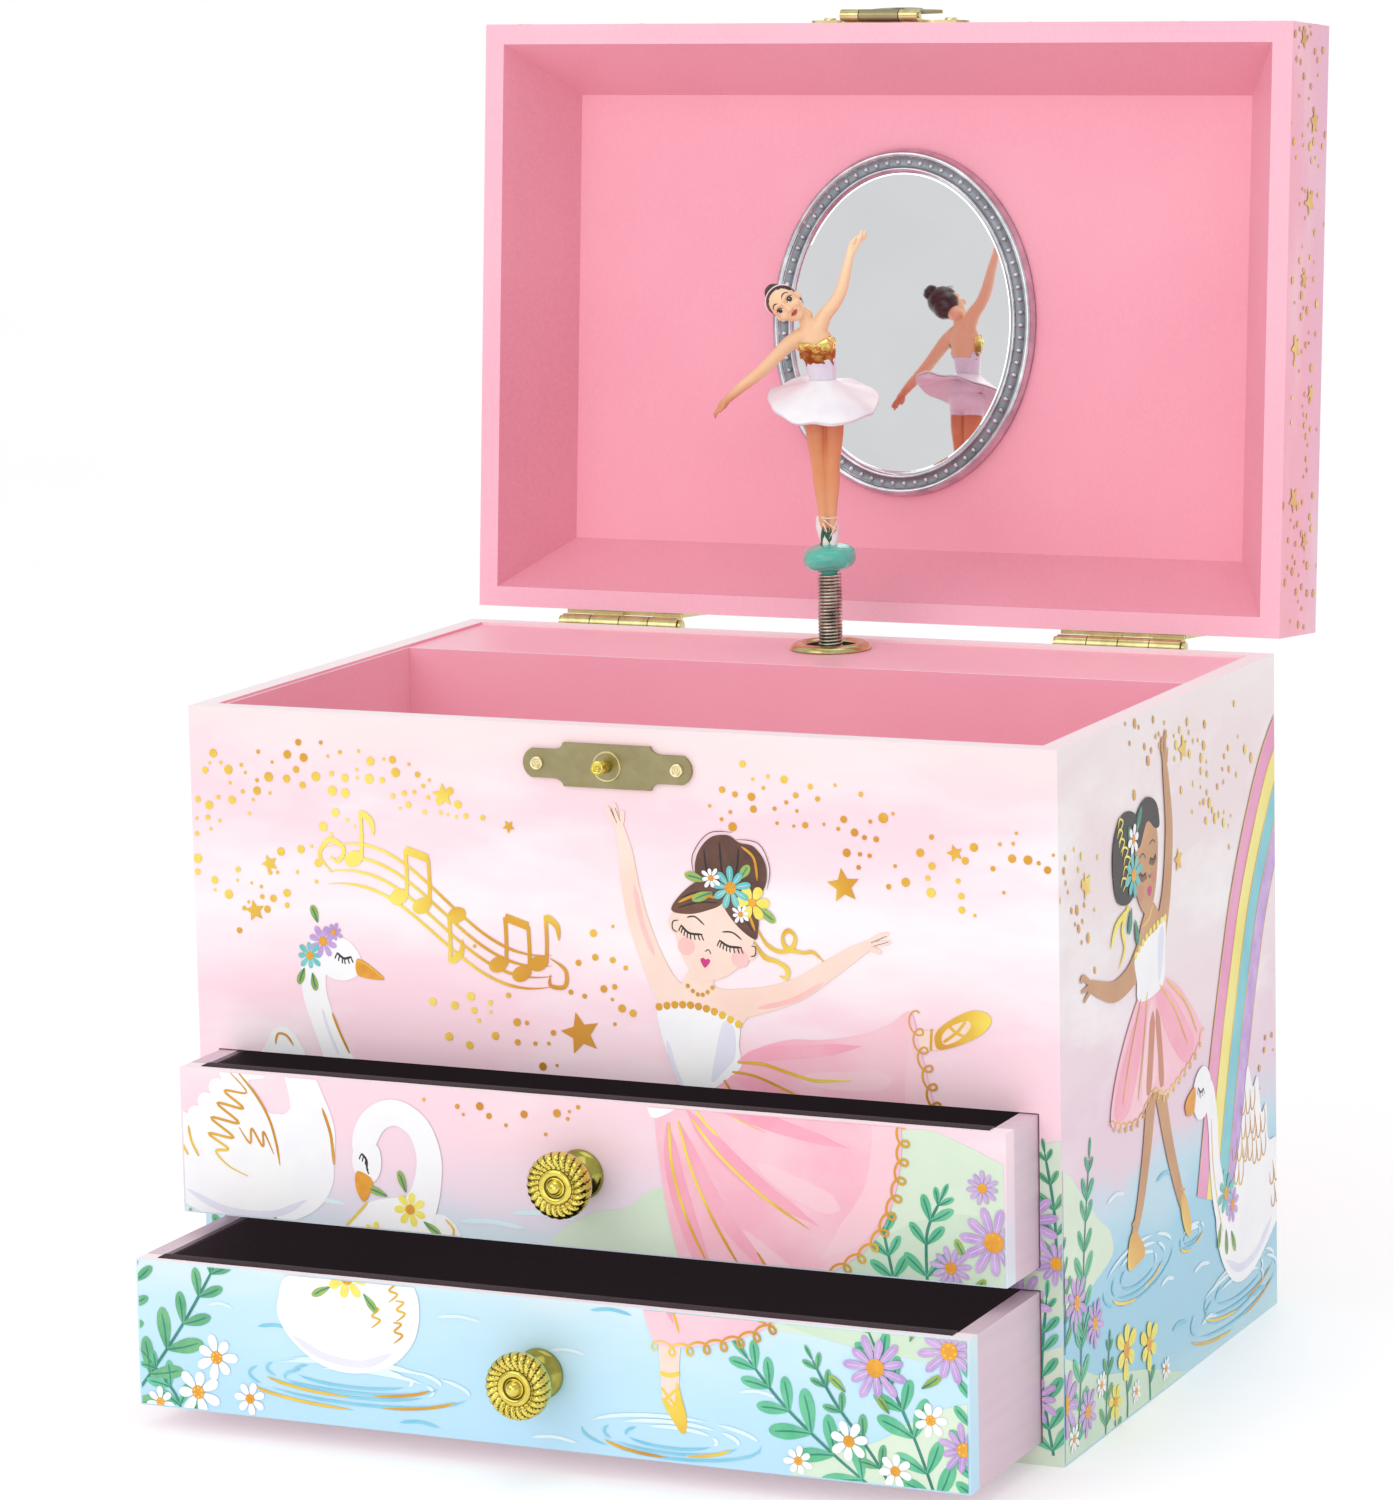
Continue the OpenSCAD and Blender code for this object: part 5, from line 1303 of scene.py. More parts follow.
def meadow_front(p):
    """Pale bushes, ferns and daisies round the water."""
    p.fill([(-6, 36), (-2, 40), (3, 42.6), (9, 44), (14, 47.6), (22, 49), (30, 48), (38, 52), (48, 56),
            (57, 60.6), (66, 62.4),
            (74, 60), (80, 57.6), (88, 56), (90, 30), (40, 30), (0, 33)], "bush", 1)
    p.fill([(40, 34), (48, 40), (56, 42), (64, 46), (72, 48), (80, 47), (90, 44), (90, 28), (60, 28)],
           "bush_deep", 2)
    p.fill([(42, -2), (48, 5), (56, 9), (64, 12), (72, 17), (80, 20), (90, 21), (90, -2)], "bush", 1)
    for path, leaf, colour, pairs in (
        ([(-84, 3), (-77, 12), (-70, 22), (-64, 32)], 8.2, "leaf", 6),
        ([(-86, 16), (-82, 24), (-80, 33)], 6, "leaf", 4),
        ([(-72, 0), (-73, 6), (-78, 12)], 6, "fern", 4),
        ([(62, 4), (54, 10), (46, 17), (40, 24)], 8.4, "fern", 6),
        ([(75, 1), (71, 12), (66, 23), (62, 32)], 7.6, "fern", 7),
        ([(68, 1), (63, 9), (56, 18), (52, 25)], 5, "leaf", 6),
        ([(60, 34), (58.5, 41), (57, 48)], 5.4, "fern", 4),
        ([(66, 34), (66, 44), (68.5, 50)], 6, "fern", 4),
        ([(83, 2), (81, 16), (82, 30)], 6, "fern", 7), ([(84, 36), (83.6, 46), (82, 56)], 4.6, "leaf", 5),
    ):
        p.fern(path, leaf, colour, 4, vein="leaf_dark", pairs=pairs)
    for at, r in (((-64.6, 14.4), 3.4), ((-68.6, 7.6), 3.6), ((-58, 7.4), 2.6), ((-76.5, 5), 2.4),
                  ((58.5, 11.4), 3.0), ((73.6, 16.6), 2.6),
                  ((67, 7), 2.6), ((49, 7), 2.2)):
        p.daisy(at, r * 1.2, "white", 8, count=7, turn=at[0])
    for at, r in (((63.6, 24.8), 5.6), ((77.2, 29), 5.4), ((78.4, 43.6), 6.2), ((70.4, 38.4), 3.8),
                  ((79.6, 12), 4.4), ((84, 36.6), 4),
                  ((76.4, 53), 3)):
        p.daisy(at, r, "lilac", 12, count=11, turn=at[1], vein="shadow")
    for at, a, r in (((70, 30), 1.2, 4), ((58, 20), 2.4, 4), ((72, 22), 0.6, 4.4), ((66, 17), 2.2, 3.6),
                     ((73, 40), 2.0, 4), ((74, 34), 0.8, 4)):
        p.leaf(at, a, r, 1.5, "olive", 10, "leaf_dark")
    for at in ((-54, 40), (-18, 38.6), (-8, 41)):
        p.line([(at[0] - 6, at[1]), (at[0], at[1] + 0.5), (at[0] + 7, at[1] - 0.2)], 0.9, "foam", 3,
               ends=(0.05, 0.05))
    for u, v, n in ((-20, 26, 9), (-10, 16, 8), (2, 22, 7), (-56, 21, 8), (10, 30, 8), (-2, 6, 9),
                    (-28, 6, 8), (38, 18, 7), (-66, 24, 5)):
        p.line([(u, v), (u + n * 0.5, v + 0.5), (u + n, v - 0.2)], 0.6, "foam" if n != 8 else "water", 3,
               ends=(0.05, 0.05))


def front_picture():
    p = Picture()
    meadow_front(p)
    swan_back(p)
    swan_front(p)
    flourish(p)
    for at, r, a in (((-33, 113), 2.3, 0.1), ((-69, 98.4), 1.8, 0.4), ((-72.4, 89.4), 2.1, 0.2),
                     ((-6.6, 71), 4.0, 0.25),
                     ((45, 101), 3.2, 0.15), ((-20, 108), 1.3, 0.6), ((66, 108), 1.6, 0.3)):
        p.star(at, r, 6, a)
    off = ((-19, 112, 19, 127), (-60, 76, -8, 109))
    p.dust([(-88, 103), (-76, 112), (-62, 117), (-48, 117), (-34, 110), (-24, 102), (-14, 97)], 3.0, 74, 5,
           5, keep_off=off)
    p.dust([(-86, 96), (-74, 93), (-62, 97), (-52, 106)], 2.4, 34, 6, 5, keep_off=((-58, 76, -8, 104),))
    p.dust([(21, 114), (31, 116), (42, 111), (54, 107), (66, 104), (80, 107)], 3.4, 62, 7, 5,
           sizes=(0.3, 0.95), keep_off=((10, 82, 31, 110),))
    p.dust([(-34, 74), (-24, 72), (-14, 68), (-2, 76), (2, 84)], 3.4, 34, 8, 5, sizes=(0.3, 0.85),
           keep_off=((6, 50, 30, 90), (-12, 66, -1, 76)))
    p.dust([(-30, 62), (-16, 58), (0, 60)], 2.0, 12, 9, 5, keep_off=((6, 50, 30, 90),))
    ballerina(p)
    return p


# ---------- the side picture, in y and z ----------


def rainbow(p, base, width, colours, layer):
    pts = smooth_curve([(*q, 0) for q in base], False, 8)
    rails = []
    for k in range(len(colours) + 1):
        rail = []
        for i, q in enumerate(pts):
            d = (pts[min(i + 1, len(pts) - 1)] - pts[max(i - 1, 0)]).to_2d().normalized()
            rail.append(q.to_2d() + turn_left(d) * width * k * (1 - 0.1 * i / len(pts)))
        rails.append(rail)
    for k, colour in enumerate(colours):
        for a, b, c, d in zip(rails[k], rails[k + 1], rails[k][1:], rails[k + 1][1:]):
            p.add([tuple(a), tuple(b), tuple(d)], colour, layer)
            p.add([tuple(a), tuple(d), tuple(c)], colour, layer)
        for rail, w in ((rails[k], 0.42), (rails[k + 1], 0.3)):
            p.line([tuple(q) for q in rail], w, "gold", layer + 1, smooth=False)


def second_dancer(p):
    """A dancer with dark curls, reaching up, in a short pink skirt."""
    p.line([(-8.6, 58), (-3.6, 46), (0.6, 38), (4.6, 31.5)], [5.2, 4.2, 3.6, 2.6], "tan", 8, ends=(1, 1))
    p.line([(-12, 60), (-15, 48), (-19, 38), (-22.4, 33)], [5.6, 4.4, 3.6, 2.8], "tan", 9, ends=(1, 1))
    p.fill([(2.6, 34), (5.2, 34), (8.4, 28), (7.6, 25.6), (5.4, 26.8), (3.4, 30)], "gold", 10)
    p.fill([(-24.6, 33), (-21.6, 33.6), (-17.4, 30), (-17, 28), (-20, 27.4), (-24.8, 27), (-26, 29)],
           "gold", 10)
    for path in ([(-23.4, 35), (-21, 36)], [(2, 36), (5, 35)]):
        p.line(path, 0.5, "gold", 11, ends=(1, 1))
    p.ripple((-20, 26), 15, 4, count=3, squash=0.28)
    p.ripple((9, 25.4), 7, 4, count=2, squash=0.3)
    p.fill([(-19, 76), (-14, 77.6), (-6, 77), (2, 74), (9, 69), (15.4, 63), (13, 59.6), (4, 56.6), (-5, 55),
            (-12, 57),
            (-19, 53.6), (-28, 54), (-34, 56), (-31.6, 63), (-26, 70)], "skirt", 10)
    p.fill([(-18, 74), (-14, 74), (-19, 64), (-25, 56), (-32, 57), (-27, 66)], "skirt_deep", 11)
    p.fill([(-10, 75), (-4, 74.6), (6, 67), (11, 61), (5, 59), (-4, 66)], "skirt_deep", 11)
    p.fill([(-14, 73), (-11, 73), (-9, 62), (-12, 58), (-18, 56), (-17, 64)], "skirt_light", 11)
    p.line([(-11.6, 72), (-13, 64), (-14.4, 57)], 3.0, "tan_blush", 12, ends=(0.1, 0.6))
    p.line([(-9.6, 72), (-8, 64), (-7, 57)], 2.6, "tan_blush", 12, ends=(0.1, 0.6))
    for path in ([(-18, 75.4), (-24, 66), (-28, 58)], [(-14.6, 76), (-17, 66), (-20, 57)],
                 [(-8, 76), (0, 70), (7, 62)], [(-4, 76), (6, 70), (12.4, 63)]):
        p.line(path, 0.55, "gold", 13, ends=(0.6, 0.1))
    p.curls([(15.6, 63), (12, 59.4), (3, 56.4), (-5, 54.8), (-12, 56.8), (-19, 53.4), (-27, 53.8),
             (-34.2, 55.8)], 3.0, 0.85, 0.4, 13)
    p.line([(-8, 84), (-4, 92), (-2.2, 103), (-3.4, 112), (-4.6, 117)], [6.4, 4.6, 3.8, 3, 2.4], "tan", 11,
           ends=(1, 0.7))
    p.line([(-16, 84), (-23, 80.6), (-31, 79.4), (-38, 81), (-45, 83.4)], [7, 4.8, 4, 3.2, 2.4], "tan", 11,
           ends=(1, 0.7))
    for path in ([(-4.4, 116), (-5.6, 119), (-5.2, 121)], [(-3.8, 116.6), (-4, 120), (-3.4, 122)],
                 [(-3.4, 116), (-2.6, 118.6)],
                 [(-44, 83.4), (-47, 85), (-48.6, 84.4)], [(-44, 82.8), (-48, 82.6)],
                 [(-44, 82), (-47, 80.6)]):
        p.line(path, 1.2, "tan", 12, ends=(1, 0.5))
    p.fill([(-19, 86), (-15, 91), (-11.4, 92), (-7, 88), (-6, 82), (-18, 80)], "tan", 11)
    p.fill([(-21, 83.4), (-15, 85.6), (-9, 86.6), (-4.6, 88), (-5, 81), (-6, 76), (-13, 74.6),
            (-19.4, 75.4), (-20, 79)], "white", 12)
    p.fill([(-8.4, 85), (-5.6, 86), (-6.6, 79), (-8.6, 77)], "shadow", 13)
    for i in range(9):
        t = i / 8
        p.dot((-20.6 + 15.8 * t, 83.8 + 4 * t + 0.9 * math.sin(math.pi * t)), 0.72, "yellow", 14, n=9)
    p.line([(-17.6, 88.4), (-14, 89), (-11, 91.4)], 0.5, "gold", 13)
    p.fill([(-29.4, 95), (-31.8, 100), (-31.4, 106), (-27.6, 110), (-22, 110.2), (-18, 107), (-18, 98),
            (-23, 94)], "hair_dark", 12)
    p.fill([(-19.6, 106.4), (-15.6, 108.4), (-10.4, 107.4), (-8.4, 103), (-9, 96.6), (-11.2, 91.6),
            (-14, 90), (-17.6, 92), (-20.4, 97)], "tan", 13)
    p.fill([(-20.4, 105), (-19, 109.4), (-14, 111.4), (-9, 109.6), (-7.4, 105.4), (-10, 105.2), (-14, 107),
            (-18, 103)], "hair_dark", 14)
    for i in range(7):
        a = 0.9 * i
        p.line([(-27 + 2 * math.sin(a), 96.6 + 1.8 * i), (-25 + 2 * math.sin(a), 98.2 + 1.8 * i),
                (-27 + 1.6 * math.sin(a), 99 + 1.8 * i),
                (-28 + 1.6 * math.sin(a), 97.6 + 1.8 * i)], 0.4, "yellow", 15)
    p.dot((-17.4, 94.4), 1.5, "tan_blush", 14)
    p.dot((-10.6, 96.4), 1.2, "tan_blush", 14)
    p.lashes([(-18.2, 98.6), (-16.6, 97.6), (-14.8, 97.9)], 15, length=1.2)
    p.lashes([(-12.6, 100.2), (-11, 99.6), (-9.6, 100.4)], 15, length=1.1)
    p.line([(-18.4, 101), (-16.4, 101.6), (-14.8, 100.4)], 0.24, "line", 15)
    p.line([(-13, 102.6), (-11.2, 103.2), (-9.6, 102.4)], 0.24, "line", 15)
    p.line([(-13.6, 97.4), (-12.8, 96.6), (-12.2, 97.2)], 0.22, "line", 15)
    p.fill([(-14.2, 94.6), (-13.4, 95), (-12.2, 95), (-12, 94), (-13.2, 93.2)], "lips", 15, steps=3)
    for at, a in (((-22, 103), 1.9), ((-19.6, 106), 1.0), ((-22.4, 93), 4.4), ((-20.6, 90.4), 5.0)):
        p.leaf(at, a, 5, 2, "leaf_dark", 15, "leaf")
    p.daisy((-21.4, 98.6), 4.2, "teal", 17, count=8)
    p.daisy((-21.4, 105), 2.8, "white", 18, count=6)
    for path in ([(-23.6, 94), (-27, 90), (-26, 86), (-29.4, 82.6)], [(-23, 93), (-30, 91), (-33, 87.4)]):
        p.line(path, [0.9, 1.4, 0.9, 0.4][: len(path)], "yellow", 11)


def side_swan(p):
    p.fill([(23, 30), (27, 27), (33, 31), (38, 42), (41, 50.6), (44, 46), (47, 47.4), (49, 40), (52, 41),
            (53, 34), (58, 33), (62, 28), (62, 20),
            (52, 13.6), (42, 10), (33, 10.6), (26, 16), (22.6, 23)], "white", 9)
    p.line([(14, 50), (18.6, 50), (20.8, 44), (21.6, 37), (24, 30), (28, 24)], [6, 5.6, 5.2, 5.4, 7, 9],
           "white", 10, ends=(0.8, 1))
    p.fill([(9.6, 50.6), (11.4, 54.6), (15.6, 56), (19.4, 53.6), (19.6, 49.4), (16.4, 46.4), (12, 46.8)],
           "white", 11)
    p.fill([(11.2, 52.8), (8, 52.4), (5.4, 50.6), (6.8, 48.4), (10.4, 48.6)], "orange", 12)
    p.lashes([(12.6, 52.6), (14, 51.4), (15.8, 51.8)], 12, count=5, length=1.2, width=0.24)
    p.line([(20, 45), (20.6, 37), (23, 29), (26, 22)], 0.35, "gold", 12)
    for at, rows, turn in (((41, 44), (3, 3, 2), -1.6), ((36, 36), (3, 2), -1.7), ((47, 38), (3, 3), -1.5),
                           ((56, 27), (2, 2), -1.4)):
        p.feathers(at, turn, rows, 4.4, 12)
    p.line([(28, 16), (36, 12.6), (46, 13.4), (55, 18)], 1.6, "shadow", 10, ends=(0.05, 0.05))
    p.daisy((28, 29), 4.4, "teal", 13, count=8)
    p.daisy((31.6, 26), 3.6, "lilac", 13, count=8)
    for at, a in (((25, 24), 4.4), ((28, 22), 4.8), ((31, 21), 5.2)):
        p.leaf(at, a, 5, 1.8, "olive", 13, "leaf_dark")
    for at, r in (((36, 10), 22), ((33, 8), 27)):
        p.ripple(at, r, 5, count=2, squash=0.2)


def side_meadow(p):
    p.fill([(-64, 52), (-56, 52), (-48, 46), (-40, 40), (-34, 36), (-36, 31), (-64, 28)], "bush", 1)
    p.fill([(-64, -2), (-64, 19), (-54, 18), (-44, 13), (-32, 10), (-18, 7), (-4, 3), (6, -2)], "bush_deep",
           1)
    for path, leaf, colour, pairs in (([(-49, 20), (-48, 36), (-45, 52)], 6.8, "fern", 7),
                                      ([(-52, 2), (-50, 16), (-49.6, 30)], 6.4, "fern", 6),
                                      ([(-38, 0), (-37, 8), (-35.6, 16)], 5, "leaf", 4),
                                      ([(-58, 20), (-57.6, 30), (-58.6, 40)], 5, "leaf", 5)):
        p.fern(path, leaf, colour, 5, vein="leaf_dark", pairs=pairs)
    for at, r in (((-62, 32), 6), ((-52, 28), 5), ((-43, 22), 4.4), ((-58, 11), 6.4), ((-47, 7), 4.4)):
        p.daisy(at, r, "lilac", 9, count=10, turn=at[0], vein="shadow")
    for at, r in (((-27, 13), 5.2), ((-15, 11), 4.6), ((-33, 5), 3.4)):
        p.daisy(at, r, "yellow", 10, count=6, turn=at[1], vein="gold")
        p.line([(at[0], at[1] - r), (at[0] + 0.6, at[1] - r - 5), (at[0], -1)], 0.6, "leaf_dark", 6,
               ends=(1, 1))
        p.leaf((at[0] + 0.4, at[1] - r - 3), 0.8, 4, 1.5, "leaf", 7, "leaf_dark")
    for at, r in (((-54, 4), 2.6), ((-40, 10), 2.4), ((-22, 4), 2.2), ((-6, 4), 2.2)):
        p.daisy(at, r, "white", 10, count=8)
    for u, v, n in ((-10, 40, 8), (-36, 42, 9), (10, 18, 9), (-2, 10, 8), (14, 7, 9), (44, 5, 8),
                    (-8, 20, 7)):
        p.line([(u, v), (u + n * 0.5, v + 0.6), (u + n, v - 0.3)], 0.8, "foam" if n != 8 else "water", 3,
               ends=(0.05, 0.05))


def side_picture(figure=True):
    p = Picture()
    rainbow(p, [(62, 118), (51, 110), (42, 100), (33, 87), (26, 72), (19, 54), (12, 32)][::-1], -5.6,
            ("band_pink", "band_yellow", "band_teal", "lilac"), 5)
    side_meadow(p)
    side_swan(p)
    for at, r, a in (((6, 117), 2.6, 0.2), ((-9, 107), 2.2, 0.4), ((3, 97), 2.4, 0.1),
                     ((-45, 101), 2.8, 0.3)):
        p.star(at, r, 7, a)
    p.dust([(-18, 121), (0, 119), (16, 113), (24, 104), (36, 112)], 4.2, 60, 21, 6, sizes=(0.3, 0.8),
           tall=1.4)
    p.dust([(-57, 104), (-50, 99), (-42, 94)], 3.6, 24, 22, 6, sizes=(0.3, 0.8), tall=1.4)
    p.dust([(48, 42), (52, 52)], 2.4, 6, 23, 6)
    if figure:
        second_dancer(p)
    return p


def back_picture():
    """The back, in -x and z: a meadow at the foot and a drift of gold stars."""
    p = Picture()
    p.fill([(-90, 44), (-70, 50), (-50, 42), (-30, 36), (-10, 40), (12, 48), (34, 44), (60, 52), (90, 46),
            (90, 20), (-90, 20)], "bush", 1)
    rnd = random.Random(31)
    for i in range(10):
        x = -80 + 17.5 * i + rnd.uniform(-3, 3)
        top = rnd.uniform(26, 42)
        p.fern([(x, -2), (x + rnd.uniform(-4, 4), top * 0.5), (x + rnd.uniform(-6, 6), top)], 6.4,
               "leaf" if i % 2 else "leaf_dark", 3 + 2 * (i % 2),
               vein="leaf_dark" if i % 2 else "leaf", pairs=6)
    for i in range(14):
        at = (-80 + 12.2 * i + rnd.uniform(-3, 3), rnd.uniform(6, 24))
        p.daisy(at, rnd.uniform(3, 5.4), ("lilac", "white", "yellow")[i % 3], 9, count=(10, 8, 7)[i % 3])
    p.dust([(-80, 112), (-50, 120), (-20, 112), (10, 104), (40, 112), (80, 118)], 4.5, 120, 32, 4,
           keep_off=((-62, 110, -44, 127), (44, 110, 62, 127), (-12, 70, 12, 92)))
    for i in range(7):
        p.star((-72 + 24 * i, 106 + 7 * math.sin(2.2 * i)), 2.2 + 0.5 * (i % 2), 6, 0.3 * i)
    return p


def starry(width, low, high, seed, count, band=1.0):
    """Gold stars and confetti over a lid board; u runs along it and v across it."""
    p = Picture()
    rnd = random.Random(seed)
    mid = (low + high) / 2
    p.dust([(-width, mid), (0, mid), (width, mid)], (high - low) * 0.3 * band, count, seed, 4,
           sizes=(0.35, 0.9))
    for i in range(int(width / 7)):
        at = (-width * 0.94 + 14 * i + rnd.uniform(-4, 4), mid + rnd.uniform(-0.36, 0.36) * (high - low))
        p.star(at, rnd.uniform(2.0, 3.2), 6, rnd.uniform(0, 1.2))
    return p


def all_pictures():
    front = front_picture()
    edge = HALF_W
    front.onto("print_front", "case", lambda u, v, h: (u, FRONT_Y - h, v),
               [(-edge, 63, edge, CASE_H), (-edge, 0, -81, 63), (81, 0, edge, 63), (-81, 31.5, 81, 35.5),
                (-81, 0, 81, 4)])
    for name, y, z in DRAWERS:
        front.onto("print_%s_drawer" % name, name + "_drawer", lambda u, v, h: (u, y - h, v),
                   [(-80.3, z + 0.3, 80.3, z + 26.8)])
    side = side_picture()
    side.onto("print_right", "case", lambda u, v, h: (HALF_W + h, u, v), [(-58, 0.4, 58, 126.6)])
    side_picture(False).onto("print_left", "case", lambda u, v, h: (-HALF_W - h, -u, v),
                             [(-58, 0.4, 58, 126.6)])
    back_picture().onto("print_back", "case", lambda u, v, h: (-u, HALF_D + h, v),
                        [(-84.6, 0.4, 84.6, 126.6)])
    low, high = LID_Z, LID_Z + LID_H
    end = starry(58, low, high, 41, 150)
    front_lid = starry(84, low, high, 42, 150)
    top = starry(84, -58, 58, 43, 420, 0.9)
    for name, art, spot, window in (
        ("right", end, lambda u, v, h: (HALF_W + h, u, v), (-58, low + 0.4, 58, high - 0.4)),
        ("left", end, lambda u, v, h: (-HALF_W - h, -u, v), (-58, low + 0.4, 58, high - 0.4)),
        ("front", front_lid, lambda u, v, h: (u, FRONT_Y - h, v), (-84.6, low + 0.4, 84.6, high - 0.4)),
        ("rear", front_lid, lambda u, v, h: (-u, HALF_D + h, v), (-84.6, low + 14.5, 84.6, high - 0.4)),
        ("top", top, lambda u, v, h: (u, v, LID_Z + LID_H + h), (-84.6, -58, 84.6, 58)),
    ):
        art.onto("print_lid_" + name, "lid", lambda u, v, h: tuple(LID @ Vector(spot(u, v, h))), [window])


# ---------- the little dancer ----------


def fuse(parts, voxel, smooth=4):
    """Joins overlapping solids into one smooth skin, working in millimetres."""
    verts, faces = join(parts)
    mesh = bpy.data.meshes.new("fuse")
    mesh.from_pydata([tuple(v) for v in verts], [], faces)
    o = bpy.data.objects.new("fuse", mesh)
    bpy.context.scene.collection.objects.link(o)
    m = o.modifiers.new("voxels", "REMESH")
    m.mode = "VOXEL"
    m.voxel_size = voxel
    if smooth:
        s = o.modifiers.new("smooth", "SMOOTH")
        s.factor = 0.5
        s.iterations = smooth
    done = bpy.data.meshes.new_from_object(o.evaluated_get(bpy.context.evaluated_depsgraph_get()))
    out = [v.co.copy() for v in done.vertices], [tuple(p.vertices) for p in done.polygons]
    bpy.data.objects.remove(o)
    bpy.data.meshes.remove(mesh)
    bpy.data.meshes.remove(done)
    return out


def paint_plastic(name, color, other, rough=0.34, coat=0.35, scale=260):
    """Painted plastic: two close tones, small brush ripples and a soft gloss."""
    m = Mat(name, rough=rough, coat=coat, coat_rough=0.18)
    m.color(m.mix(m.ramp(m.noise(scale, 4), [(0.35, 0.0), (0.7, 1.0)]), color, other))
    m.rough(m.noise(900, 4), rough - 0.06, rough + 0.12)
    m.bump(m.noise(700, 3), 0.12, 0.06)
    return m.m


def doll_skin(name, low, high, tones, glow):
    """Flesh paint whose tone changes with height above the deck; the darkest tone, under the skirt, is
    painted shadow.
    """
    m = Mat(name, rough=0.36, coat=0.25, coat_rough=0.25)
    tone = m.ramp(m.above_deck(low, high), [(t, rgb(*c)) for t, c in tones])
    m.color(m.mix(m.ramp(m.noise(240, 4), [(0.4, 0.0), (0.75, 0.3)]), tone, glow))
    m.rough(m.noise(800, 4), 0.3, 0.46)
    m.bump(m.noise(900, 3), 0.08, 0.05)
    return m.m


def hair_paint():
    m = Mat("doll_hair", rough=0.28, coat=0.4, coat_rough=0.15)
    strand = m.noise(1500, 4, 0.6, (0.35, 1, 1.4))
    m.color(m.ramp(strand, [(0.35, rgb(38, 24, 26)), (0.7, rgb(76, 50, 46))]))
    m.bump(strand, 0.5, 0.12)
    return m.m


HEAD_AT = Vector((-7.3, -0.5, 66.9))
HEAD_TILT = 51
HEAD = Matrix.Translation(HEAD_AT) @ Matrix.Rotation(math.radians(-HEAD_TILT), 4, "Y")
TORSO = [  # height, centre x, half width, half depth
    (45.5, -0.5, 3.7, 2.9), (49, -0.6, 3.2, 2.5), (52.3, -0.6, 2.4, 1.9), (54.5, -0.9, 2.75, 2.1),
         (57, -1.5, 3.35, 2.5),
    (59.5, -1.8, 3.6, 2.6), (61.2, -2.2, 3.3, 2.1), (62.6, -2.8, 2.1, 1.6), (63.8, -3.6, 1.45, 1.4),
         (65.6, -5.0, 1.35, 1.35),
]


def torso_at(z):
    """Centre x, half width and half depth of the body at a height."""
    for a, b in zip(TORSO, TORSO[1:]):
        if z <= b[0]:
            t = max(0.0, (z - a[0]) / (b[0] - a[0]))
            t = t * t * (3 - 2 * t)
            return tuple(a[i] + (b[i] - a[i]) * t for i in (1, 2, 3))
    return TORSO[-1][1:]


def torso_point(angle, z, out=0.0):
    """A point on the body: angle 0 faces front, positive to the doll's own left (+X)."""
    c, a, b = torso_at(z)
    return Vector((c + (a + out) * math.sin(angle), -(b + out) * math.cos(angle), z))


def torso_part():
    steps, rings = 28, 42
    verts = []
    for i in range(rings + 1):
        z = 45.5 + 20.1 * i / rings
        verts += [torso_point(2 * math.pi * k / steps, z) for k in range(steps)]
    faces = quads(rings, steps)
    faces += [tuple(range(steps))[::-1], tuple(rings * steps + k for k in range(steps))]
    return verts, faces


def limb(points, radii, flat=1.0, steps=18):
    """A smooth tapering tube with rounded ends."""
    path = smooth_curve([(*p, r) for p, r in zip(points, radii)], False, 6)
    pts = [Vector(p[:3]) for p in path]
    rad = [p[3] for p in path]
    ends = [ellipsoid(pts[0], (rad[0],) * 3, rings=8, steps=12),
            ellipsoid(pts[-1], (rad[-1],) * 3, rings=8, steps=12)]
    return join([tube(pts, rad, steps, flat=flat, up=(0, 1, 0))] + ends)


def doll_body():
    right_arm = [(-1.6, 0, 61.4), (-0.1, 0, 64.6), (2.0, 0, 67.2), (3.3, 0, 69.8), (4.2, 0, 73.2),
                 (5.1, -0.1, 76.6)]
    left_arm = [(-4.2, 0, 60.8), (-6.9, 0, 59.4), (-9.8, -0.2, 56.7), (-12.9, -0.5, 53.8),
                (-16.5, -0.8, 51), (-19, -1, 48.9)]
    body = [
        torso_part(),
        limb(right_arm, [1.9, 1.45, 1.25, 1.2, 1.0, 0.82]),
        limb(left_arm, [1.9, 1.5, 1.3, 1.2, 1.02, 0.8]),
        limb([(5.1, -0.1, 76.6), (5.8, -0.1, 78.2), (6.6, 0, 79.3)], [0.82, 1.05, 0.8], flat=0.7),
        limb([(-19, -1, 48.9), (-20, -1.1, 47.8), (-20.5, -1.1, 47)], [0.8, 0.9, 0.6], flat=0.7),
    ]
    for ends in (
        [(6.4, -0.4, 79), (7.1, -0.5, 80.0), (7.2, -0.5, 80.9)],
        [(6.7, 0, 79), (7.6, 0, 80), (7.9, 0, 80.8)],
        [(6.9, 0.4, 78.8), (7.8, 0.5, 79.6), (8.2, 0.5, 80.2)],
        [(5.6, -0.6, 77.9), (5.7, -1, 79), (6.2, -1.1, 79.8)],
        [(-20.3, -1.5, 47.3), (-21, -1.6, 46.5), (-21.3, -1.6, 45.8)],
        [(-20.5, -1.1, 47.2), (-21.2, -1.1, 46.2), (-21.5, -1.1, 45.4)],
        [(-20.6, -0.7, 47.3), (-21.3, -0.6, 46.5), (-21.7, -0.6, 45.9)],
        [(-19.6, -1.8, 48.1), (-20, -2.1, 47.2), (-20.4, -2.1, 46.6)],
    ):
        body.append(limb(ends, [0.38, 0.33, 0.24], steps=10))
    return fuse(body, 0.17, 5)


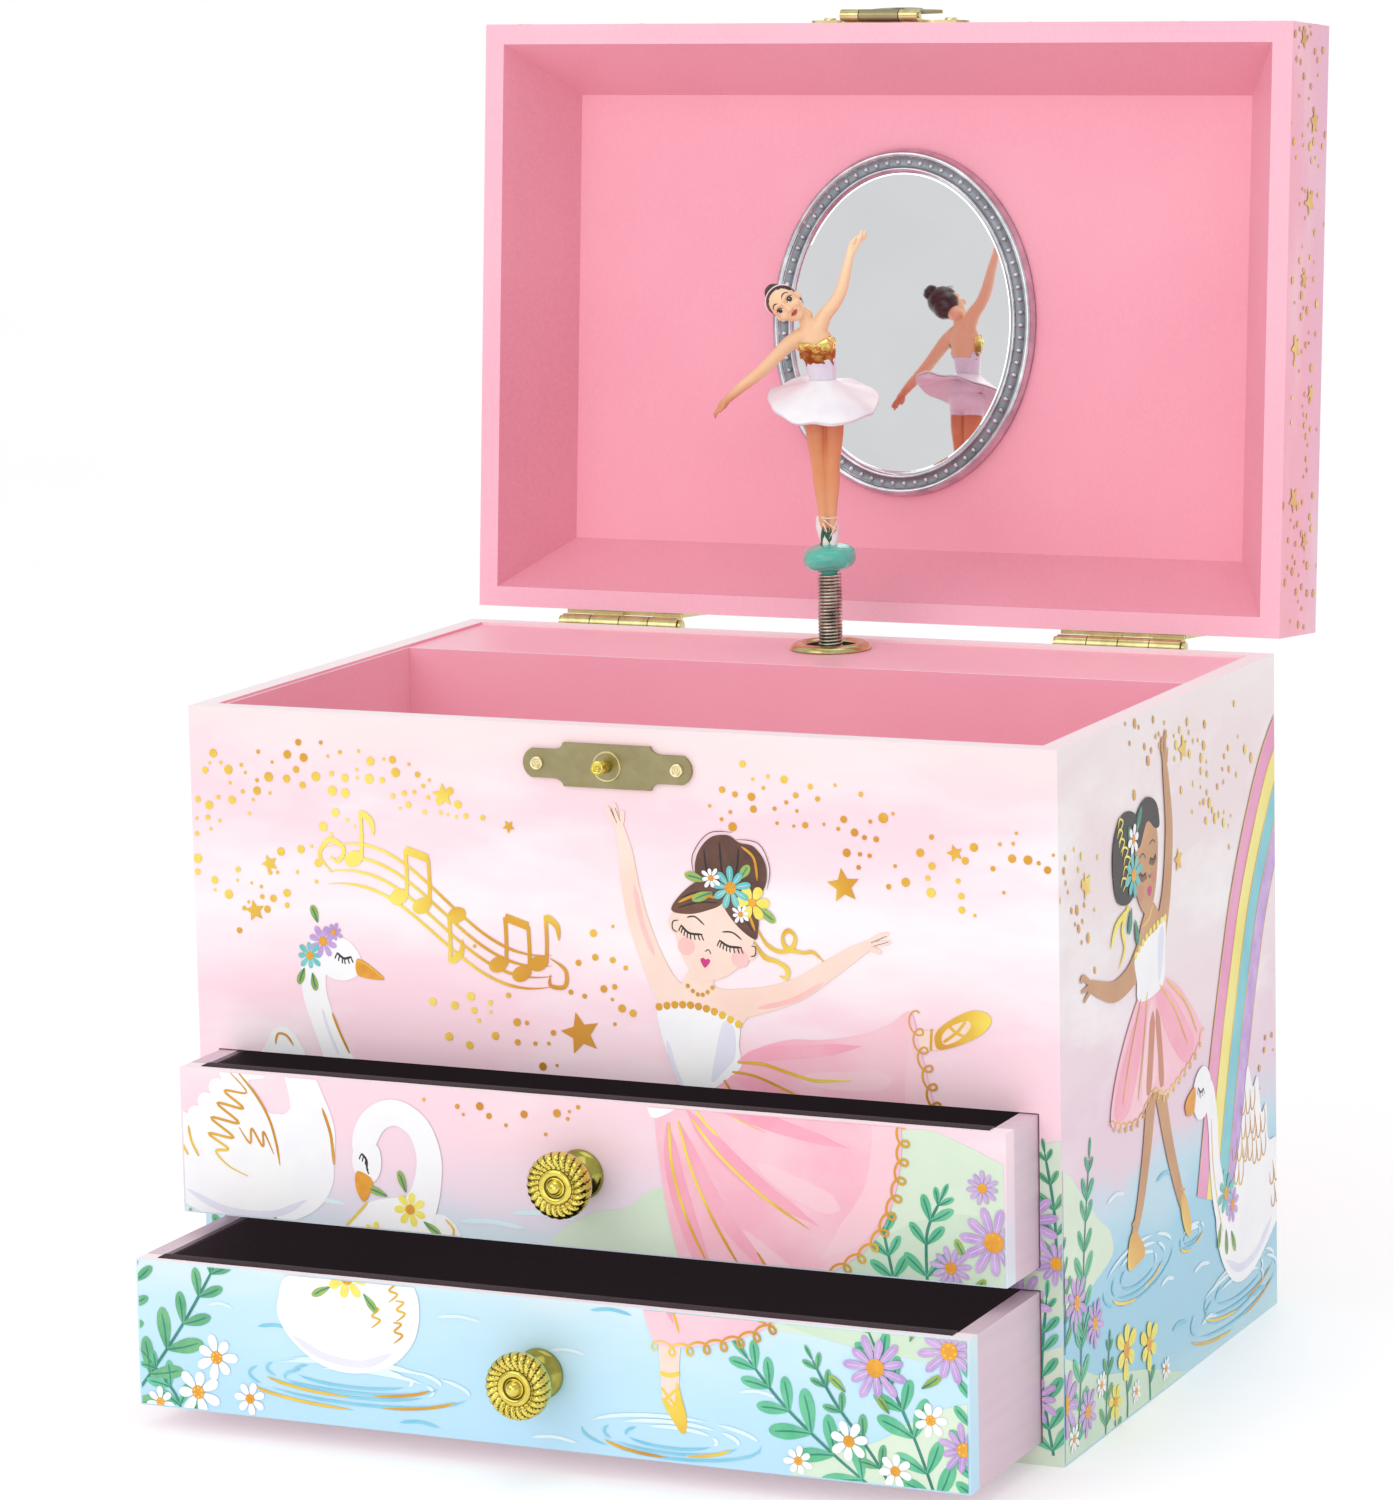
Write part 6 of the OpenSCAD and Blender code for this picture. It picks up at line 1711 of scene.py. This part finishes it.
def doll_legs():
    legs = []
    for s, knee in ((-1, -1.5), (1, 1.15)):
        legs.append(limb(
            [(s * 1.9 - 0.45, 0, 47.5), (s * 1.8 - 0.45, 0, 42), (knee - 0.2, -0.25, 36.5),
             (s * 1.1 - 0.25, 0.1, 32),
             (s * 0.9 - 0.2, 0, 28.2), (s * 0.85 - 0.2, -0.1, 25)],
            [2.0, 1.85, 1.5, 1.42, 1.1, 0.85],
        ))
    return fuse(legs, 0.15, 2)


def doll_head():
    """Made upright round its own centre, facing -Y, then tilted: chin below, crown above."""
    upright = [
        ellipsoid((0, 0.45, 0.9), (3.0, 3.35, 3.15)),
        ellipsoid((0, -0.45, -0.7), (2.55, 2.6, 3.0)),
        ellipsoid((0, -1.45, -3.0), (1.15, 1.05, 0.95)),
        limb([(0, -3.0, 0.6), (0, -3.35, -0.5), (0, -3.5, -1.0)], [0.26, 0.36, 0.44]),
        ellipsoid((-0.36, -3.1, -1.05), (0.34, 0.3, 0.26)),
        ellipsoid((0.36, -3.1, -1.05), (0.34, 0.3, 0.26)),
        ellipsoid((0, -2.72, -2.0), (0.75, 0.42, 0.4)),
        ellipsoid((-1.55, -1.9, -1.1), (1.0, 0.95, 0.95)),
        ellipsoid((1.55, -1.9, -1.1), (1.0, 0.95, 0.95)),
        limb([(-1.9, -2.45, 1.15), (-1.1, -2.9, 1.3), (-0.4, -2.95, 1.0)], [0.28, 0.34, 0.3]),
        limb([(1.9, -2.45, 1.15), (1.1, -2.9, 1.3), (0.4, -2.95, 1.0)], [0.28, 0.34, 0.3]),
        ellipsoid((-2.85, 0.3, -0.5), (0.42, 0.6, 0.85)),
        ellipsoid((2.85, 0.3, -0.5), (0.42, 0.6, 0.85)),
        limb([(0, 0.9, -1.5), (0.5, 1.2, -4.2)], [1.6, 1.4]),
    ]
    return fuse(upright, 0.11, 4)


def face_patch(tree, outline, material, name, lift=0.05, smooth=True):
    """A painted mark: an outline in the head's own x and z, laid on the face."""
    edge = smooth_curve([(*p, 0) for p in outline], True,
                        4) if smooth else [Vector((*p, 0)) for p in outline]
    mid = sum(edge, Vector()) / len(edge)
    rings, verts = 4, []
    for k in range(rings + 1):
        s = 1 - k / (rings + 0.3)
        for p in edge:
            q = mid + (p - mid) * s
            hit = tree.ray_cast(Vector((q.x, -9, q.y)), Vector((0, 1, 0)))[0]
            verts.append(Vector((q.x, (hit.y if hit else -1) - lift * (1 - 0.6 * (s > 0.95)), q.y)))
    n = len(edge)
    faces = quads(rings, n)
    faces.append(tuple(rings * n + i for i in range(n)))
    o = mesh_object(name, verts, faces, "dancer", material, move=DANCER @ HEAD)
    thicken(o, 0.06)


def face_stroke(tree, path, width, material, name):
    """A painted line on the face, thinner at both ends."""
    pts = []
    for p in smooth_curve([(*q, 0) for q in path], False, 6):
        hit = tree.ray_cast(Vector((p.x, -9, p.y)), Vector((0, 1, 0)))[0]
        pts.append(Vector((p.x, (hit.y if hit else -1) - 0.02, p.y)))
    n = len(pts) - 1
    radii = [max(width / 2 * math.sin(math.pi * (0.12 + 0.76 * i / n)), 0.02) for i in range(n + 1)]
    mesh_object(name, *tube(pts, radii, 8), "dancer", material, move=DANCER @ HEAD)


def doll_face(head):
    from mathutils.bvhtree import BVHTree
    tree = BVHTree.FromPolygons([tuple(v) for v in head[0]], head[1])
    black = paint_plastic("eye_black", rgb(30, 22, 22), rgb(44, 32, 30), 0.2)
    white = paint_plastic("eye_white", rgb(248, 246, 242), rgb(238, 234, 230), 0.2)
    lips = paint_plastic("lip_red", rgb(168, 52, 44), rgb(190, 74, 60), 0.25)
    for s in (-1, 1):
        side = "left" if s < 0 else "right"
        face_patch(tree, [(s * x, z) for x, z in ((0.78, 0.1), (1.2, 0.5), (1.8, 0.54), (2.15, 0.28),
                                                  (1.7, -0.1), (1.15, -0.16))], white, "eye_white_" + side,
                   0.05)
        face_patch(tree, [(s * x, z) for x, z in ((0.98, 0.22), (1.24, 0.56), (1.76, 0.58), (1.94, 0.22),
                                                  (1.66, -0.12), (1.18, -0.14))], black, "iris_" + side,
                   0.09)
        face_stroke(tree, [(s * 0.68, 0.14), (s * 1.15, 0.66), (s * 1.8, 0.72), (s * 2.3, 0.4)], 0.2, black,
                    "lid_line_" + side)
        face_stroke(tree, [(s * 0.62, 1.42), (s * 1.1, 1.86), (s * 1.75, 1.78), (s * 2.2, 1.3)], 0.24,
                    black, "brow_" + side)
        face_patch(tree, [(s * x + 0.1, z) for x, z in ((1.28, 0.46), (1.4, 0.52), (1.46, 0.42),
                                                        (1.34, 0.36))], white, "glint_" + side, 0.12)
    face_patch(tree, [(-0.78, -2.0), (-0.3, -1.72), (0, -1.82), (0.3, -1.72), (0.78, -2.0), (0.36, -2.34),
                      (0, -2.42), (-0.36, -2.34)], lips, "lips", 0.06)
    face_stroke(tree, [(-0.72, -2.02), (0, -2.06), (0.72, -2.02)], 0.09, black, "lip_line")


def doll_hair(hair):
    cap = [
        ellipsoid((0, 0.85, 1.25), (3.2, 3.3, 3.05)),
        ellipsoid((0, 1.3, -0.3), (3.02, 2.75, 2.9)),
    ]
    mesh_object("doll_hair_cap", *fuse(cap, 0.12, 4), "dancer", hair, move=DANCER @ HEAD)
    middle = Vector((0, 2.5, 3.7))
    bun = ellipsoid(middle, (1.75, 1.5, 1.4), rings=18, steps=28)
    verts = []
    for v in bun[0]:
        d = v - middle
        a = math.atan2(d.x, d.y)
        verts.append(middle + d * (1 + 0.035 * math.sin(6 * a + 2.4 * d.z)))
    mesh_object("doll_bun", verts, bun[1], "dancer", hair, move=DANCER @ HEAD)
    band = []
    for k in range(41):
        a = 2 * math.pi * k / 40
        band.append(Vector((1.62 * math.cos(a), 2.05 + 1.25 * math.sin(a) * 0.6,
                            2.95 - 1.25 * math.sin(a) * 0.62)))
    ribbon = paint_plastic("hair_ribbon", rgb(246, 240, 240), rgb(232, 222, 224), 0.25)
    mesh_object("bun_ring", *tube(band[:-1] + [band[0]], [0.2] * 41, 8), "dancer", ribbon,
                move=DANCER @ HEAD)
    arc = []
    for k in range(25):
        a = math.radians(-76 + 152 * k / 24)
        arc.append(Vector((3.22 * math.sin(a), -0.55, 1.25 + 3.0 * math.cos(a))))
    mesh_object("hair_band", *tube(arc, [0.12] * 25, 8), "dancer", ribbon, move=DANCER @ HEAD)


def doll_bodice():
    """A crumpled gold bodice round the front and sides, with a ragged lower edge."""
    steps, rings = 84, 26
    verts = []
    for i in range(rings + 1):
        t = i / rings
        for k in range(steps + 1):
            a = math.radians(-112 + 224 * k / steps)
            x = math.sin(a)
            top = 59.3 + 0.75 * x + 1.0 * abs(math.sin(1.55 * a)) ** 0.8 * math.cos(a / 1.6)
            low = 56.1 - 0.9 * abs(math.sin(2.2 * a + 0.3)) - 0.5 * math.cos(a)
            z = low + (top - low) * t
            p = torso_point(a, z)
            folds = noise.noise(Vector((a * 2.6, z * 0.9,
                                        3.0))) * 0.3 + abs(noise.noise(Vector((a * 5, z * 1.6,
                                                                               9.0)))) * 0.36 * t
            bust = 0.75 * math.exp(-(((abs(a) - 0.52) / 0.4) ** 2) - ((z - 58.7) / 1.4) ** 2)
            ruffle = 0.16 * max(0, (t - 0.7) / 0.3) * (1 + math.sin(13 * a)) - 0.2 * max(0,
                                                                                         (t - 0.93) / 0.07)
            verts.append(torso_point(a, z, 0.12 + bust + folds * (0.35 + 0.65 * t) + ruffle))
    faces = quads(rings, steps, closed=False)
    tone = Mat("bodice_gold", metal=0.9, rough=0.2)
    tear = tone.math("MULTIPLY", tone.math("SUBTRACT", tone.noise(560, 2), 0.5), 0.36)
    ragged = tone.math("ADD", tone.above_deck(55, 61.5), tear)
    tone.color(tone.ramp(ragged, [(0.0, rgb(158, 104, 52)), (0.42, rgb(176, 122, 62)),
                                  (0.54, rgb(212, 170, 86)), (0.7, rgb(248, 228, 140))]))
    tone.rough(tone.noise(700, 4), 0.14, 0.3)
    tone.bump(tone.noise(420, 2), 0.22, 0.12)
    thicken(mesh_object("doll_bodice", verts, faces, "dancer", tone.m, move=DANCER), 0.3)


def doll_waist():
    """The satin waist between bodice and skirt."""
    steps, rings = 64, 16
    verts = []
    for i in range(rings + 1):
        z = 51.6 + 5.4 * i / rings
        for k in range(steps):
            a = 2 * math.pi * k / steps
            pleat = 0.04 * math.sin(10 * a)
            low_back = 0.2 if abs(math.atan2(math.sin(a), math.cos(a))) > 2.2 and z > 55 else 0
            verts.append(torso_point(a, z - low_back * (z - 55) * 3, 0.14 + pleat * (1 - i / rings)))
    satin = paint_plastic("lilac_satin", rgb(236, 228, 240), rgb(222, 212, 230), 0.3)
    thicken(mesh_object("doll_waist", verts, quads(rings, steps), "dancer", satin, move=DANCER), 0.2)


def doll_tutu():
    """A stiff skirt, lower in front, with soft folds and a rim in two thin layers."""
    white = paint_plastic("tutu_white", rgb(252, 250, 252), rgb(240, 236, 244), 0.4, 0.2, 120)
    steps, rings = 144, 26
    for layer, drop, reach, phase in (("upper", 0.0, 10.75, 0), ("lower", 0.32, 10.55, 1)):
        verts, faces = [], []
        for i in range(rings + 1):
            t = i / rings
            for k in range(steps):
                a = 2 * math.pi * k / steps
                wave = math.sin(7 * a + 0.7) * 0.5 + math.sin(11 * a + 2.1) * 0.28 + math.sin(4 * a) * 0.4
                rim = reach * (1 + 0.016 * math.sin(5 * a + phase) + 0.01 * math.sin(9 * a))
                r = 2.45 + (rim - 2.45) * t
                dome = 52.5 - 3.5 * t**0.75 - 0.5 * t**3
                lean = 0.34 * r * t**0.7 * math.cos(a + math.pi / 2 - 0.12)
                fold = wave * 0.42 * t**1.4
                verts.append((-0.6 + r * math.cos(a), r * math.sin(a),
                              dome - lean + fold - drop * (0.3 + 0.7 * t)))
        for i in range(rings):
            for k in range(steps):
                j = (k + 1) % steps
                faces.append((i * steps + k, (i + 1) * steps + k, (i + 1) * steps + j, i * steps + j))
        o = mesh_object("doll_tutu_" + layer, verts, faces, "dancer", white, move=DANCER)
        thicken(o, 0.26)
        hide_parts("tutu")


def doll_suit():
    """The smooth white seat of the costume, under the skirt."""
    cloth = paint_plastic("suit_white", rgb(246, 240, 248), rgb(232, 224, 238), 0.36)
    seat = [
        ellipsoid((-0.5, 0, 47.0), (4.25, 3.5, 2.9)),
        limb([(-2.3, 0, 46.6), (-2.3, 0, 44.9)], [2.3, 2.15]),
        limb([(1.4, 0, 46.6), (1.4, 0, 44.9)], [2.3, 2.15]),
        ellipsoid((-0.6, 0, 49.6), (3.65, 2.95, 2.9)),
    ]
    mesh_object("doll_suit", *fuse(seat, 0.15, 4), "dancer", cloth, move=DANCER)


def doll_shoes(skin):
    white = paint_plastic("shoe_white", rgb(250, 244, 242), rgb(236, 226, 224), 0.3)
    green = paint_plastic("base_green", rgb(10, 96, 58), rgb(6, 74, 44), 0.25)
    shoes = [
        limb([(-1.6, 0.9, 25.2), (-1.35, 0.3, 23.6), (-0.9, -0.5, 22), (-0.5, -0.9, 20.9),
              (-0.4, -1.0, 20.3)], [0.95, 1.15, 1.05, 0.9, 0.78]),
        limb([(1.0, 0.9, 24.6), (1.0, 0.3, 23.4), (0.95, -0.5, 21.9), (0.85, -0.9, 20.9),
              (0.8, -1.0, 20.3)], [0.75, 1.05, 1.0, 0.88, 0.75]),
    ]
    mesh_object("doll_shoes", *fuse(shoes, 0.12, 3), "dancer", white, move=DANCER)
    ankle = [limb([(-1.0, -0.2, 25.6), (-0.9, -0.35, 23.6)], [0.85, 0.75]),
             limb([(0.7, -0.2, 25.6), (0.85, -0.5, 22.9)], [0.85, 0.78])]
    mesh_object("doll_insteps", *fuse(ankle, 0.12, 3), "dancer", skin, move=DANCER)
    for i, path in enumerate((
        [(-1.9, -0.3, 25.9), (-0.9, -1.1, 25.7), (0.4, -1.15, 25.6), (1.7, -0.5, 25.7)],
        [(-0.9, -1.05, 25.4), (0.4, -1.2, 24.2), (1.7, -0.9, 23.4)],
        [(1.7, -0.4, 25.2), (1.1, -1.3, 23.6), (0.2, -1.5, 21.8)],
        [(-1.9, 0.1, 25.2), (-0.9, -1.15, 24.4), (-0.3, -1.4, 22.9)],
    )):
        curve = smooth_curve(path, False, 6)
        mesh_object("shoe_ribbon_%d" % i, *tube(curve, [0.13] * len(curve), 8), "dancer", white,
                    move=DANCER)
    grass = []
    for i in range(9):
        x = -1.0 + 0.22 * i
        grass.append(limb([(x, -1.0, 20.4), (x - 0.25, -1.35, 21.6 + 0.5 * math.sin(2 * i)),
                           (x - 0.3, -1.2, 23.2 + 0.7 * math.sin(1.7 * i))], [0.34, 0.3, 0.12], steps=8))
    grass.append(ellipsoid((-0.1, 0, 20.6), (1.7, 1.7, 0.45)))
    mesh_object("doll_green_base", *fuse(grass, 0.12, 2), "dancer", green, move=DANCER)


def button():
    """A glossy teal bead with a lazy, uneven edge."""
    m = Mat("teal_button", rough=0.16, coat=0.8, coat_rough=0.05)
    m.color(m.ramp(m.noise(180, 4), [(0.3, rgb(66, 186, 164)), (0.55, rgb(92, 204, 184)),
                                     (0.8, rgb(130, 220, 202))]))
    m.rough(m.noise(600, 3), 0.12, 0.24)
    m.bump(m.noise(260, 2), 0.15, 0.15)
    part = ellipsoid((0, 0, 17.95), (5.1, 4.9, 2.5), rings=28, steps=64)
    verts = []
    for v in part[0]:
        d = v - Vector((0, 0, 17.95))
        a = math.atan2(d.y, d.x)
        k = 1 + 0.02 * math.sin(3 * a + 0.6) + 0.014 * math.sin(5 * a)
        flat = math.copysign(abs(d.z / 2.5) ** 0.7 * 2.75, d.z) + 0.12 * math.sin(3 * a)
        verts.append((d.x * k, d.y * k, 17.85 + flat + 0.05 * d.x))
    neck = lathe([(0.01, 14.0), (1.5, 14.0), (1.6, 14.3), (1.6, 16.4)], 40)
    o = mesh_object("button_bead", *join([(verts, part[1]), neck]), "dancer", m.m, move=DANCER)
    fix_normals(o)
    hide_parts("button")


def doll():
    """The figure: body, legs, head, costume, shoes and the green button she stands on."""
    # body: dark orange at the bottom, under the skirt, is painted shadow; the tone lightens towards the top
    skin = doll_skin("doll_skin", 44, 82, [(0.0, (206, 122, 80)), (0.1, (216, 140, 96)),
                                           (0.22, (242, 190, 146)), (0.62, (248, 206, 164)),
                                           (1.0, (255, 228, 190))],
                     rgb(254, 216, 180))
    # legs: the dark stop at the top, just under the skirt, is painted shadow
    leg_skin = doll_skin("doll_leg_skin", 24, 48, [(0.0, (238, 180, 132)), (0.4, (232, 162, 108)),
                                                   (0.72, (222, 144, 94)), (0.92, (196, 108, 70))],
                         rgb(240, 180, 128))
    o = mesh_object("doll_body", *doll_body(), "dancer", skin, move=DANCER)
    mesh_object("doll_legs", *doll_legs(), "dancer", leg_skin, move=DANCER)
    head = doll_head()
    mesh_object("doll_head", *head, "dancer", skin, move=DANCER @ HEAD)
    doll_face(head)
    doll_hair(hair_paint())
    doll_bodice()
    doll_waist()
    doll_tutu()
    doll_suit()
    doll_shoes(leg_skin)
    button()
    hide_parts("figure")


# ---------- stage ----------


def stage():
    """A pale floor that curves up behind, three soft lights and a white world."""
    size = 3.0
    n = 24
    verts, faces = [], []
    for i in range(n + 1):
        for j in range(n + 1):
            x, y = (i / n - 0.5) * size, (j / n - 0.4) * size
            back = max(0.0, y - 0.9)
            verts.append((x / MM, y / MM, (back**2 * 0.9) / MM - 0.02))
    for i in range(n):
        for j in range(n):
            k = i * (n + 1) + j
            faces.append((k, k + n + 1, k + n + 2, k + 1))
    m = Mat("floor_white", rough=0.55)
    m.color(m.ramp(m.noise(3, 3), [(0.3, rgb(250, 250, 251)), (0.7, rgb(253, 253, 253))]))
    m.rough(m.noise(60, 3), 0.45, 0.6)
    m.b.inputs["Emission Color"].default_value = (1, 1, 1, 1)
    m.b.inputs["Emission Strength"].default_value = 0.2
    o = mesh_object("floor", verts, faces, None, m.m)
    fix_normals(o)
    if o.data.polygons[0].normal.z < 0:
        o.data.flip_normals()
    world = bpy.data.worlds.new("studio")
    bpy.context.scene.world = world
    world.use_nodes = True
    bg = world.node_tree.nodes["Background"]
    bg.inputs["Color"].default_value = (1.0, 1.0, 1.0, 1)
    bg.inputs["Strength"].default_value = 0.72
    for name, at, to, size, power in (
        ("key", (-0.6, -1.3, 0.95), (0, 0, 0.12), 1.0, 3.9),
        ("front", (0.35, -1.7, 0.3), (0, 0, 0.1), 1.3, 4.6),
        ("top", (0.1, -0.1, 1.5), (0, 0, 0.12), 1.0, 2.9),
    ):
        light = bpy.data.lights.new(name, "AREA")
        light.size = size
        light.energy = power
        lamp = bpy.data.objects.new(name, light)
        lamp.location = at
        lamp.rotation_euler = (Vector(to) - Vector(at)).to_track_quat("-Z", "Y").to_euler()
        bpy.context.scene.collection.objects.link(lamp)
    bpy.context.scene.view_settings.view_transform = "Standard"
    bpy.context.scene.view_settings.look = "None"


def camera():
    """The photograph's viewpoint: azimuth, elevation and roll, from a little over a metre."""
    azimuth, elevation, roll = (math.radians(a) for a in (24.4, 8.79, -1.19))
    back = Vector((math.sin(azimuth) * math.cos(elevation), -math.cos(azimuth) * math.cos(elevation),
                   math.sin(elevation)))
    right = Vector((math.cos(azimuth), math.sin(azimuth), 0))
    up = back.cross(right)
    r = right * math.cos(roll) + up * math.sin(roll)
    u = up * math.cos(roll) - right * math.sin(roll)
    data = bpy.data.cameras.new("camera")
    data.sensor_width = 36
    data.lens = 134.5
    data.shift_x = -0.0007
    data.shift_y = -0.0396
    data.clip_start = 0.05
    cam = bpy.data.objects.new("camera", data)
    place = Matrix((r, u, back)).transposed().to_4x4()
    place.translation = Vector((-0.0085, -0.0005, 0.1245)) + back * 1.05
    cam.matrix_world = place
    bpy.context.scene.collection.objects.link(cam)
    bpy.context.scene.camera = cam


camera()
stage()
boards()
plain_nodes()
for which, drawer_y, drawer_z in DRAWERS:
    knob(which + "_knob_brass", drawer_y, drawer_z + KNOB_UP, which + "_drawer", which + "_knob")
ring_nails()
stud()
drawer_lips()
grommet()
coil()
mirror()
all_pictures()
doll()
